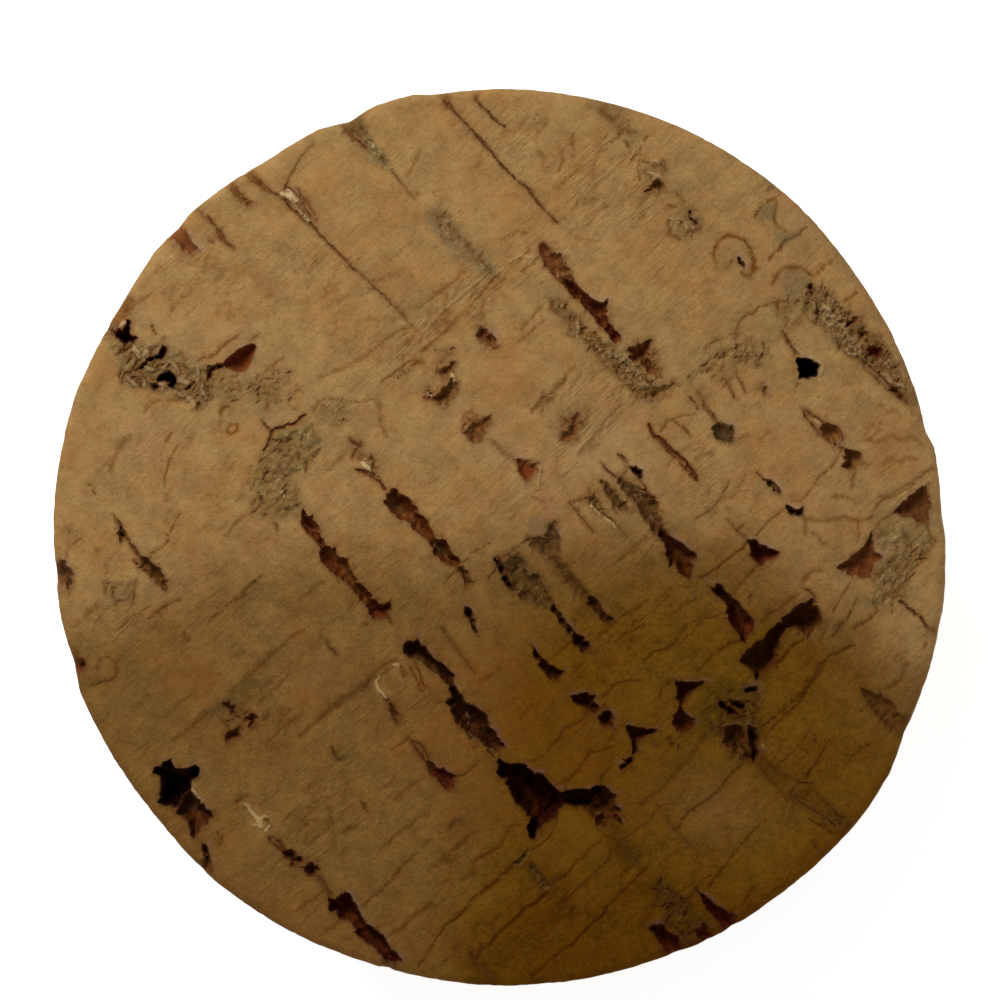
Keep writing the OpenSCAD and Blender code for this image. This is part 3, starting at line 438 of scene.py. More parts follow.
    (0.40, 0.06, [(206, 812, 2.0), (211, 817, 2.6), (217, 820, 1.2)]),
    (0.60, 0.15, [(218, 832, 1.6), (222, 838, 3.4), (220, 845, 2.4)]),
    # small dark marks at the top right
    (0.80, 0.20, [(655, 168, 1.8), (660, 165, 3.0), (664, 162, 1.6)]),
    (0.70, 0.18, [(646, 169, 2.0), (647, 176, 2.6)]),
    (0.70, 0.18, [(661, 166, 2.0), (666, 170, 2.0)]),
    (0.70, 0.18, [(597, 105, 3.0), (602, 109, 3.6), (605, 113, 2.0)]),
    (0.75, 0.18, [(622, 127, 2.0), (626, 131, 2.8), (631, 134, 3.6), (636, 132, 2.6)]),
    (0.60, 0.15, [(626, 141, 2.0), (628, 146, 2.8)]),
    (0.60, 0.12, [(632, 160, 1.4), (637, 155, 2.0), (641, 149, 1.4)]),
    (0.60, 0.12, [(645, 140, 1.8), (648, 136, 1.6)]),
    (0.60, 0.14, [(677, 194, 3.0), (681, 198, 4.0), (684, 201, 2.2)]),
    (0.50, 0.10, [(670, 206, 3.0), (676, 207, 3.0)]),
    (0.50, 0.10, [(668, 226, 2.6), (671, 231, 4.6), (674, 237, 3.4)]),
    (0.66, 0.10, [(716, 266, 2.0), (714, 257, 3.6), (715, 249, 4.4), (719, 242, 4.6), (724, 237, 4.8), (731, 236, 4.0), (739, 238, 4.0), (746, 242, 3.6), (750, 248, 4.0), (753, 256, 4.2), (754, 265, 4.8), (753, 273, 5.0), (749, 278, 4.0), (742, 273, 2.4)]),
    (0.70, 0.15, [(726, 268, 1.6), (730, 264, 3.0), (733, 261, 1.6)]),
    (0.70, 0.18, [(768, 191, 3.0), (772, 189, 4.0), (777, 193, 3.6), (785, 195, 3.6)]),
    (0.60, 0.08, [(776, 198, 2.4), (777, 208, 2.2), (774, 218, 2.6), (777, 226, 3.2), (785, 231, 2.4)]),
    (0.60, 0.08, [(756, 215, 1.8), (762, 206, 2.6), (770, 201, 3.0), (776, 199, 2.4)]),
    (0.68, 0.10, [(769, 260, 1.2), (778, 251, 2.4), (784, 243, 3.4), (792, 238, 2.8), (800, 233, 2.8), (806, 228, 2.4), (811, 223, 1.6)]),
    (0.62, 0.08, [(773, 284, 2.4), (777, 276, 3.8), (782, 270, 4.4), (789, 267, 4.6), (798, 268, 4.4), (806, 270, 3.4), (811, 275, 2.0)]),
    (0.55, 0.06, [(735, 334, 1.2), (739, 323, 2.2), (745, 317, 1.6), (752, 313, 2.4), (762, 306, 2.0), (774, 303, 1.6), (788, 301, 1.4)]),
    (0.40, 0.06, [(814, 276, 1.0), (822, 268, 1.6), (830, 262, 1.0)]),
    (0.45, 0.06, [(848, 300, 1.0), (854, 294, 2.0), (860, 287, 1.8), (865, 281, 1.2)]),
    # more of the hollow at the left edge
    (0.95, 0.35, [(142, 366, 4.0), (138, 370, 4.0), (133, 370, 2.8), (128, 372, 2.2), (124, 376, 2.0), (122, 383, 1.4)]),
    (0.93, 0.25, [(141, 363, 2.4), (137, 357, 2.2), (134, 352, 1.4)]),
    (0.93, 0.25, [(139, 371, 2.4), (143, 376, 2.4), (147, 382, 2.6), (148, 388, 1.4)]),
    (0.92, 0.20, [(128, 373, 1.8), (130, 380, 1.4)]),
    (0.92, 0.20, [(140, 375, 1.8), (139, 383, 1.8), (142, 388, 1.2)]),
    (0.92, 0.25, [(150, 377, 2.0), (154, 380, 2.6), (158, 379, 3.0)]),
    (0.90, 0.25, [(208, 381, 2.6), (206, 387, 3.0), (209, 393, 3.0), (211, 400, 1.6)]),
    (0.86, 0.20, [(204, 380, 1.4), (204, 388, 1.8), (208, 396, 1.4)]),
    (0.86, 0.20, [(178, 362, 2.0), (184, 366, 2.4), (190, 372, 1.6)]),
    (0.84, 0.15, [(183, 358, 1.6), (181, 353, 1.2)]),
    (0.80, 0.15, [(212, 382, 1.4), (217, 378, 2.0), (219, 372, 1.6)]),
    (0.48, 0.06, [(145, 414, 1.6), (147, 408, 2.2), (153, 403, 2.2), (161, 401, 2.0), (170, 400, 2.0), (180, 401, 1.2)]),
    (0.40, 0.05, [(171, 312, 1.2), (177, 304, 2.0), (182, 297, 1.2)]),
    (0.66, 0.10, [(221, 412, 2.4), (223, 408, 3.0), (228, 407, 1.6)]),
    (0.35, 0.05, [(222, 412, 1.6), (220, 422, 1.6), (221, 432, 1.2)]),
    (0.40, 0.05, [(110, 472, 2.0), (115, 459, 3.6), (118, 447, 3.6), (123, 442, 3.6), (130, 436, 2.0)]),
    (0.38, 0.05, [(227, 536, 1.2), (232, 527, 1.8), (237, 521, 1.8), (245, 516, 1.0)]),
    (0.55, 0.08, [(96, 622, 0.9), (104, 612, 1.2), (112, 603, 0.9)]),
    (0.42, 0.05, [(174, 740, 2.4), (183, 733, 3.2), (193, 725, 3.2), (206, 714, 3.6)]),
    (0.40, 0.05, [(184, 634, 1.4), (188, 640, 1.8)]),
    (0.30, 0.04, [(60, 640, 1.0), (80, 622, 1.4), (96, 606, 1.2)]),
    # outlines of the pale flakes at the upper left
    (0.93, 0.22, [(279, 194, 1.6), (284, 201, 2.6), (290, 207, 2.6), (297, 214, 2.6), (304, 221, 2.2), (311, 227, 2.0)]),
    (0.92, 0.20, [(286, 185, 1.6), (291, 189, 2.0), (297, 194, 2.2), (302, 202, 2.2), (307, 210, 2.2), (313, 219, 2.4)]),
    (0.95, 0.25, [(286, 197, 3.0), (290, 202, 2.8)]),
    (0.90, 0.22, [(297, 204, 3.6), (301, 209, 3.6)]),
    (0.88, 0.20, [(302, 213, 2.0), (306, 217, 2.4)]),
    # the band at the right
    (0.92, 0.22, [(862, 360, 1.6), (870, 367, 2.2), (878, 374, 2.8), (886, 381, 3.2), (893, 388, 4.0), (900, 394, 3.4), (906, 402, 2.6)]),
    (0.90, 0.20, [(871, 339, 2.0), (877, 343, 3.2), (883, 346, 3.2), (889, 346, 2.0)]),
    (0.88, 0.18, [(886, 357, 1.8), (892, 361, 2.2), (894, 369, 2.2), (898, 377, 2.6), (904, 381, 2.4), (910, 379, 2.4)]),
    (0.88, 0.18, [(879, 373, 1.8), (883, 369, 1.8), (890, 371, 1.6), (893, 378, 2.0), (894, 384, 2.2)]),
    (0.90, 0.20, [(896, 386, 2.0), (902, 389, 2.8), (908, 388, 2.8), (911, 384, 1.8)]),
    (0.86, 0.18, [(878, 353, 2.4), (884, 357, 2.6), (883, 365, 2.2), (880, 371, 1.6)]),
    (0.84, 0.16, [(886, 360, 1.6), (885, 367, 1.8), (889, 372, 1.4)]),
    (0.74, 0.12, [(803, 312, 1.8), (810, 321, 2.2), (818, 325, 2.0), (826, 328, 1.8)]),
    (0.74, 0.12, [(829, 330, 1.8), (836, 338, 2.4), (842, 346, 2.4), (846, 355, 2.2), (853, 358, 2.2), (862, 358, 1.8)]),
    (0.45, 0.06, [(861, 361, 2.0), (866, 370, 2.4), (874, 376, 2.4), (882, 384, 2.0), (890, 392, 1.6)]),
    (0.50, 0.06, [(906, 402, 2.4), (912, 410, 2.8), (917, 420, 2.4), (921, 430, 1.4)]),
    (0.60, 0.08, [(845, 302, 2.4), (853, 296, 2.6), (860, 289, 2.2), (868, 281, 1.2)]),
    (0.45, 0.05, [(802, 372, 1.2), (798, 382, 1.6), (796, 392, 1.2)]),
    # the torn head of the big lenticel and the band below it
    (0.93, 0.22, [(540, 247, 2.4), (544, 256, 3.6), (549, 266, 4.4), (555, 275, 5.0), (562, 282, 5.0), (569, 289, 4.0)]),
    (0.88, 0.18, [(543, 243, 2.0), (551, 250, 3.0), (559, 258, 2.6), (566, 266, 3.2), (570, 275, 3.0), (572, 284, 2.4)]),
    (0.90, 0.20, [(574, 320, 2.2), (578, 327, 2.8), (583, 334, 2.4)]),
    (0.84, 0.16, [(552, 302, 3.0), (553, 310, 3.4), (558, 314, 3.0)]),
    (0.82, 0.16, [(559, 299, 2.4), (563, 305, 3.0), (568, 302, 2.0)]),
    (0.84, 0.16, [(567, 334, 2.6), (573, 338, 3.2), (580, 335, 2.4)]),
    (0.84, 0.16, [(587, 342, 3.0), (594, 341, 3.4), (601, 338, 2.6)]),
    (0.82, 0.16, [(590, 350, 2.8), (597, 348, 3.0), (604, 345, 2.4)]),
    (0.80, 0.16, [(604, 354, 2.6), (609, 360, 3.2), (614, 366, 3.6), (619, 369, 2.4)]),
    (0.72, 0.12, [(594, 352, 1.6), (604, 364, 2.0), (614, 374, 2.2), (624, 382, 2.4), (633, 390, 2.8), (641, 397, 3.4)]),
    (0.78, 0.14, [(637, 398, 3.0), (645, 396, 3.4), (652, 398, 3.0)]),
    (0.80, 0.16, [(646, 352, 2.2), (648, 345, 2.4), (651, 339, 2.0)]),
    (0.78, 0.14, [(655, 360, 2.4), (659, 369, 2.6), (662, 378, 2.0)]),
    (0.40, 0.05, [(575, 366, 1.4), (566, 376, 2.0), (556, 386, 2.0)]),
    (0.35, 0.05, [(484, 302, 1.2), (482, 311, 1.6), (481, 320, 1.2)]),
    (0.40, 0.05, [(430, 346, 1.0), (440, 336, 1.6), (450, 326, 1.6), (460, 318, 1.6), (472, 306, 1.2)]),
    (0.50, 0.06, [(422, 352, 1.4), (426, 348, 2.4), (430, 344, 1.2)]),
    (0.30, 0.04, [(405, 345, 1.0), (420, 332, 1.6), (434, 318, 1.6), (448, 304, 1.2)]),
    (0.35, 0.04, [(430, 300, 1.0), (442, 290, 1.8), (454, 282, 1.4), (464, 272, 1.0)]),
    # small crumbs at the top right
    (0.80, 0.14, [(684, 217, 1.6), (687, 211, 2.0), (692, 208, 2.0), (698, 211, 1.6)]),
    (0.78, 0.14, [(703, 225, 2.0), (700, 231, 2.6), (694, 233, 2.2), (688, 230, 2.0)]),
    (0.60, 0.10, [(669, 220, 2.4), (669, 228, 3.6), (673, 235, 3.4), (680, 240, 2.4)]),
    (0.45, 0.06, [(640, 160, 1.6), (638, 170, 2.0), (640, 180, 1.6)]),
    (0.50, 0.10, [(640, 160, 1.2), (648, 163, 1.8), (654, 168, 1.6), (660, 165, 2.0), (664, 162, 1.4)]),
    (0.62, 0.10, [(598, 104, 3.6), (603, 110, 4.0), (607, 117, 3.0), (616, 122, 2.0)]),
    (0.62, 0.10, [(612, 143, 1.0), (619, 136, 1.8), (624, 130, 2.2)]),
    (0.35, 0.05, [(560, 170, 1.0), (564, 158, 1.6), (560, 150, 1.0)]),
    # lower right
    (0.45, 0.06, [(861, 712, 1.4), (867, 707, 2.2), (870, 702, 1.4)]),
    (0.35, 0.05, [(880, 690, 1.2), (890, 687, 1.6), (900, 681, 1.6), (904, 672, 1.4), (909, 663, 1.0)]),
    (0.78, 0.16, [(815, 674, 2.4), (818, 670, 3.6), (820, 664, 2.0)]),
    (0.50, 0.06, [(809, 772, 1.6), (815, 763, 2.2), (821, 755, 2.0), (825, 747, 1.8), (830, 740, 1.0)]),
    (0.55, 0.06, [(762, 728, 1.4), (772, 718, 2.4), (784, 709, 2.4), (796, 700, 2.4), (804, 690, 2.4), (810, 680, 2.0)]),
    (0.42, 0.06, [(706, 735, 3.0), (697, 746, 4.4), (686, 762, 4.4), (674, 776, 4.0), (658, 792, 3.4), (642, 804, 2.0)]),
    (0.34, 0.05, [(762, 758, 3.0), (774, 768, 4.0), (788, 777, 4.0), (800, 782, 2.4)]),
    (0.32, 0.05, [(758, 762, 2.0), (766, 776, 3.0), (778, 788, 3.0), (786, 797, 2.0)]),
    (0.40, 0.05, [(480, 683, 1.0), (488, 677, 1.6), (498, 670, 1.0)]),
    (0.34, 0.05, [(520, 720, 1.2), (530, 708, 2.0), (542, 702, 1.4)]),
    (0.34, 0.05, [(545, 664, 1.0), (560, 652, 1.4), (574, 640, 1.0)]),
    (0.34, 0.05, [(596, 640, 1.0), (608, 628, 1.8), (620, 618, 1.8), (634, 610, 1.4), (648, 600, 1.0)]),
    (0.30, 0.05, [(520, 770, 1.6), (530, 762, 2.2), (544, 756, 1.6)]),
    (0.92, 0.20, [(471, 952, 2.6), (474, 958, 5.0), (476, 966, 4.0)]),
    (0.86, 0.18, [(480, 963, 2.4), (485, 969, 3.4), (491, 977, 3.0), (497, 983, 2.4)]),
    (0.66, 0.12, [(482, 946, 3.0), (480, 952, 3.4), (478, 958, 2.4)]),
    (0.34, 0.05, [(640, 856, 1.2), (632, 866, 2.0), (622, 874, 1.6)]),
    (0.30, 0.05, [(560, 905, 1.2), (572, 894, 1.8), (584, 884, 1.8), (598, 872, 1.2)]),
    (0.30, 0.05, [(640, 930, 1.2), (650, 914, 1.8), (656, 902, 1.2)]),
    (0.30, 0.05, [(380, 850, 1.0), (394, 838, 1.6), (408, 826, 1.6), (420, 818, 1.0)]),
    (0.30, 0.05, [(430, 870, 1.0), (446, 856, 1.6), (462, 844, 1.6), (474, 832, 1.0)]),
    (0.32, 0.05, [(395, 800, 1.0), (410, 786, 1.6), (424, 778, 1.0)]),
    # the brown line across the lower left
    (0.42, 0.05, [(300, 736, 1.6), (310, 727, 2.6), (320, 719, 3.0), (332, 709, 3.6), (344, 699, 5.4), (354, 692, 6.0), (362, 686, 5.0), (372, 675, 4.0), (384, 665, 3.4), (397, 659, 2.4)]),
    (0.36, 0.05, [(233, 690, 4.0), (246, 679, 4.4), (258, 668, 4.0), (268, 658, 3.4), (278, 649, 3.0), (290, 639, 2.4), (304, 630, 1.4)]),
    (0.62, 0.08, [(263, 721, 1.6), (265, 717, 2.4), (268, 713, 1.4)]),
    (0.34, 0.05, [(318, 938, 1.6), (328, 930, 2.4), (338, 923, 2.4), (346, 918, 1.4)]),
    (0.34, 0.05, [(300, 600, 1.0), (312, 590, 1.6), (322, 582, 1.0)]),
    (0.30, 0.04, [(262, 700, 1.0), (276, 688, 1.4), (290, 674, 1.0)]),
    (0.30, 0.04, [(270, 740, 1.0), (286, 726, 1.4), (300, 716, 1.0)]),
    (0.30, 0.04, [(330, 470, 1.0), (340, 458, 1.4), (350, 448, 0.9)]),
    (0.40, 0.06, [(804, 518, 2.0), (822, 522, 2.6), (845, 517, 2.6), (858, 521, 2.6), (871, 518, 2.0)]),
    (0.30, 0.04, [(620, 560, 0.9), (634, 548, 1.4), (646, 538, 0.9)]),
    (0.32, 0.05, [(735, 440, 0.9), (748, 436, 1.4), (760, 440, 1.4), (770, 432, 0.9)]),
    (0.34, 0.05, [(880, 405, 1.0), (888, 412, 1.8), (896, 410, 1.8), (902, 418, 1.2)]),
    (0.40, 0.07, [(868, 440, 2.0), (876, 443, 2.4), (884, 439, 2.6), (892, 436, 2.6), (901, 440, 2.6), (910, 437, 2.6), (920, 441, 2.8), (928, 447, 2.6), (932, 455, 2.0)]),
    (0.46, 0.06, [(914, 484, 1.6), (906, 490, 1.8), (898, 494, 1.8), (888, 498, 1.6), (878, 497, 1.4)]),
    (0.42, 0.05, [(884, 464, 1.2), (891, 459, 1.6), (900, 462, 1.6), (908, 457, 1.6), (917, 460, 1.4)]),
    # darker cores and outlines
    (0.93, 0.25, [(208, 216, 2.0), (214, 224, 4.0), (219, 232, 5.4), (225, 241, 4.6), (234, 250, 2.0)]),
    (0.91, 0.20, [(202, 215, 1.6), (209, 221, 2.6), (216, 226, 2.4)]),
    (0.91, 0.20, [(210, 242, 2.0), (217, 238, 3.6), (224, 235, 2.4)]),
    (0.94, 0.22, [(802, 409, 2.6), (808, 412, 3.0), (816, 419, 3.0), (825, 423, 3.4), (834, 426, 3.0), (840, 430, 2.6), (843, 441, 2.4)]),
    (0.94, 0.22, [(803, 411, 2.4), (808, 420, 2.8), (815, 428, 3.2), (823, 436, 3.4), (832, 443, 3.2), (839, 447, 2.4)]),
    (0.92, 0.20, [(824, 428, 3.0), (831, 434, 4.0), (838, 438, 3.4)]),
    (0.93, 0.20, [(842, 448, 2.4), (850, 451, 3.2), (860, 457, 3.0)]),
    (0.92, 0.20, [(848, 462, 2.6), (855, 468, 3.0)]),
    (0.88, 0.18, [(697, 392, 2.4), (703, 400, 3.4), (708, 409, 4.0), (714, 419, 4.4), (719, 426, 4.0)]),
    (0.95, 0.30, [(497, 556, 3.0), (503, 566, 4.8), (509, 577, 4.4), (514, 589, 3.0)]),
    (0.94, 0.25, [(508, 555, 2.4), (514, 563, 4.0), (521, 570, 4.4), (527, 578, 3.0)]),
    (0.92, 0.22, [(517, 553, 2.4), (520, 563, 3.0), (523, 572, 4.0), (528, 582, 3.4), (533, 590, 2.4)]),
    (0.92, 0.20, [(503, 575, 2.0), (511, 571, 3.0), (519, 566, 2.6)]),
    (0.93, 0.22, [(526, 574, 2.4), (536, 578, 3.4), (542, 587, 3.4), (548, 597, 4.0), (554, 605, 3.4)]),
    (0.86, 0.18, [(540, 540, 2.4), (548, 548, 3.0), (556, 558, 3.0), (566, 571, 3.0), (577, 583, 3.0), (587, 594, 3.0)]),
    (0.93, 0.22, [(267, 837, 2.0), (276, 846, 4.0), (286, 853, 4.4)]),
    (0.92, 0.22, [(318, 873, 2.4), (323, 880, 3.4), (327, 888, 3.6), (332, 895, 4.0)]),
    (0.93, 0.22, [(342, 126, 4.0), (349, 132, 5.4), (357, 140, 5.4), (365, 147, 3.0)]),
    (0.91, 0.18, [(352, 120, 3.0), (358, 130, 4.0), (362, 138, 3.0)]),
    (0.80, 0.14, [(434, 213, 2.2), (440, 220, 3.2), (444, 226, 2.2)]),
    (0.80, 0.14, [(449, 224, 2.4), (456, 233, 3.4), (461, 241, 2.2)]),
    (0.80, 0.14, [(465, 240, 2.4), (471, 249, 3.2), (474, 256, 2.2)]),
    (0.78, 0.14, [(478, 256, 2.4), (486, 265, 3.2), (491, 274, 2.4)]),
    (0.93, 0.22, [(541, 246, 3.0), (547, 250, 4.4), (554, 258, 4.6), (562, 267, 4.6), (569, 277, 4.4)]),
    (0.92, 0.20, [(652, 888, 2.4), (660, 892, 3.4), (668, 898, 3.0), (676, 906, 3.4)]),
    (0.92, 0.20, [(660, 884, 2.0), (668, 890, 3.0), (678, 896, 3.4), (688, 902, 3.0)]),
    (0.92, 0.20, [(670, 926, 3.0), (678, 930, 4.0), (686, 938, 4.0), (692, 944, 3.0)]),
    (0.92, 0.20, [(463, 429, 2.2), (468, 418, 3.4), (475, 421, 3.0), (483, 420, 3.2), (491, 416, 2.4)]),
    (0.92, 0.20, [(469, 430, 3.0), (477, 434, 4.4), (480, 441, 3.4)]),
    (0.91, 0.20, [(487, 423, 3.0), (482, 431, 3.6)]),
    (0.92, 0.18, [(561, 441, 2.4), (567, 432, 4.4), (573, 424, 5.0), (580, 413, 3.2)]),
    (0.91, 0.18, [(565, 419, 2.4), (573, 426, 4.4), (583, 424, 3.2)]),
    (0.91, 0.16, [(570, 434, 3.2), (577, 438, 2.6)]),
    (0.94, 0.20, [(517, 460, 2.6), (526, 463, 4.4), (534, 466, 4.4), (539, 463, 2.2)]),
    (0.92, 0.20, [(524, 470, 3.4), (527, 477, 3.2)]),
    (0.62, 0.10, [(491, 440, 2.2), (500, 449, 3.4), (510, 456, 3.4), (518, 463, 3.4)]),
    (0.93, 0.20, [(424, 398, 3.0), (431, 399, 4.4), (438, 402, 4.4), (447, 404, 3.2)]),
    (0.93, 0.20, [(440, 373, 4.0), (448, 370, 4.8), (454, 364, 3.4)]),
    (0.92, 0.20, [(453, 378, 3.2), (449, 388, 4.6), (445, 396, 4.4)]),
    (0.92, 0.20, [(410, 741, 2.0), (417, 750, 3.4), (424, 759, 4.2), (430, 767, 5.0)]),
    (0.90, 0.18, [(428, 768, 4.0), (436, 776, 4.4), (443, 784, 4.0)]),
    (0.92, 0.20, [(633, 472, 2.4), (641, 482, 3.0), (647, 491, 3.2), (653, 502, 3.4), (657, 512, 3.4), (661, 523, 4.0), (667, 535, 4.4)]),
    (0.88, 0.16, [(602, 480, 2.4), (609, 490, 4.0), (616, 500, 4.4), (623, 509, 3.4)]),
    (0.88, 0.16, [(618, 474, 2.4), (626, 483, 4.0), (634, 493, 4.0), (641, 501, 3.0)]),
    (0.88, 0.16, [(588, 488, 2.0), (595, 498, 3.0), (601, 507, 2.4)]),
    (0.94, 0.25, [(649, 425, 2.4), (655, 436, 4.0), (663, 446, 4.6), (672, 455, 3.2), (681, 464, 3.2), (690, 475, 4.4), (696, 480, 3.0)]),
    (0.92, 0.20, [(782, 331, 3.0), (786, 338, 4.2), (791, 345, 4.2), (796, 352, 3.4)]),
    (0.95, 0.25, [(718, 698, 3.0), (726, 704, 4.4), (734, 700, 4.4), (742, 705, 4.4), (751, 700, 3.4)]),
    (0.94, 0.22, [(727, 716, 3.0), (735, 713, 4.4), (744, 717, 3.4)]),
    (0.95, 0.25, [(722, 722, 3.4), (722, 732, 4.6), (726, 744, 4.6), (734, 753, 4.6)]),
    (0.95, 0.25, [(744, 737, 4.4), (750, 748, 5.6), (756, 758, 5.4)]),
    (0.84, 0.16, [(603, 813, 2.4), (611, 825, 4.4), (620, 838, 5.4), (629, 852, 4.4), (638, 866, 2.4)]),
    (0.78, 0.12, [(448, 827, 1.8), (454, 821, 3.0), (460, 823, 2.4)]),
    (0.88, 0.18, [(861, 688, 3.0), (869, 696, 2.4), (878, 709, 2.4), (889, 725, 2.8), (894, 731, 2.4)]),
    (0.86, 0.16, [(880, 694, 1.8), (891, 703, 2.4), (902, 718, 2.4)]),
    (0.88, 0.16, [(738, 377, 2.2), (743, 385, 3.4), (746, 392, 2.4)]),
    (0.86, 0.16, [(753, 352, 2.0), (758, 358, 3.0), (757, 365, 2.4)]),
    (0.84, 0.16, [(706, 348, 2.0), (714, 342, 2.8), (722, 338, 2.0)]),
    (0.84, 0.16, [(724, 356, 2.2), (731, 350, 3.0), (739, 347, 2.2)]),
    (0.91, 0.18, [(363, 690, 2.2), (372, 678, 2.0), (376, 672, 1.6)]),
    (0.92, 0.18, [(388, 700, 3.0), (393, 708, 4.0), (397, 716, 3.6)]),
    (0.60, 0.08, [(410, 668, 1.6), (416, 678, 2.2), (421, 690, 1.6)]),
    (0.74, 0.14, [(440, 628, 2.0), (449, 640, 2.8), (460, 653, 2.8), (471, 670, 2.2)]),
    (0.92, 0.20, [(297, 188, 1.6), (305, 198, 2.4), (311, 210, 2.4), (317, 220, 2.0)]),
]

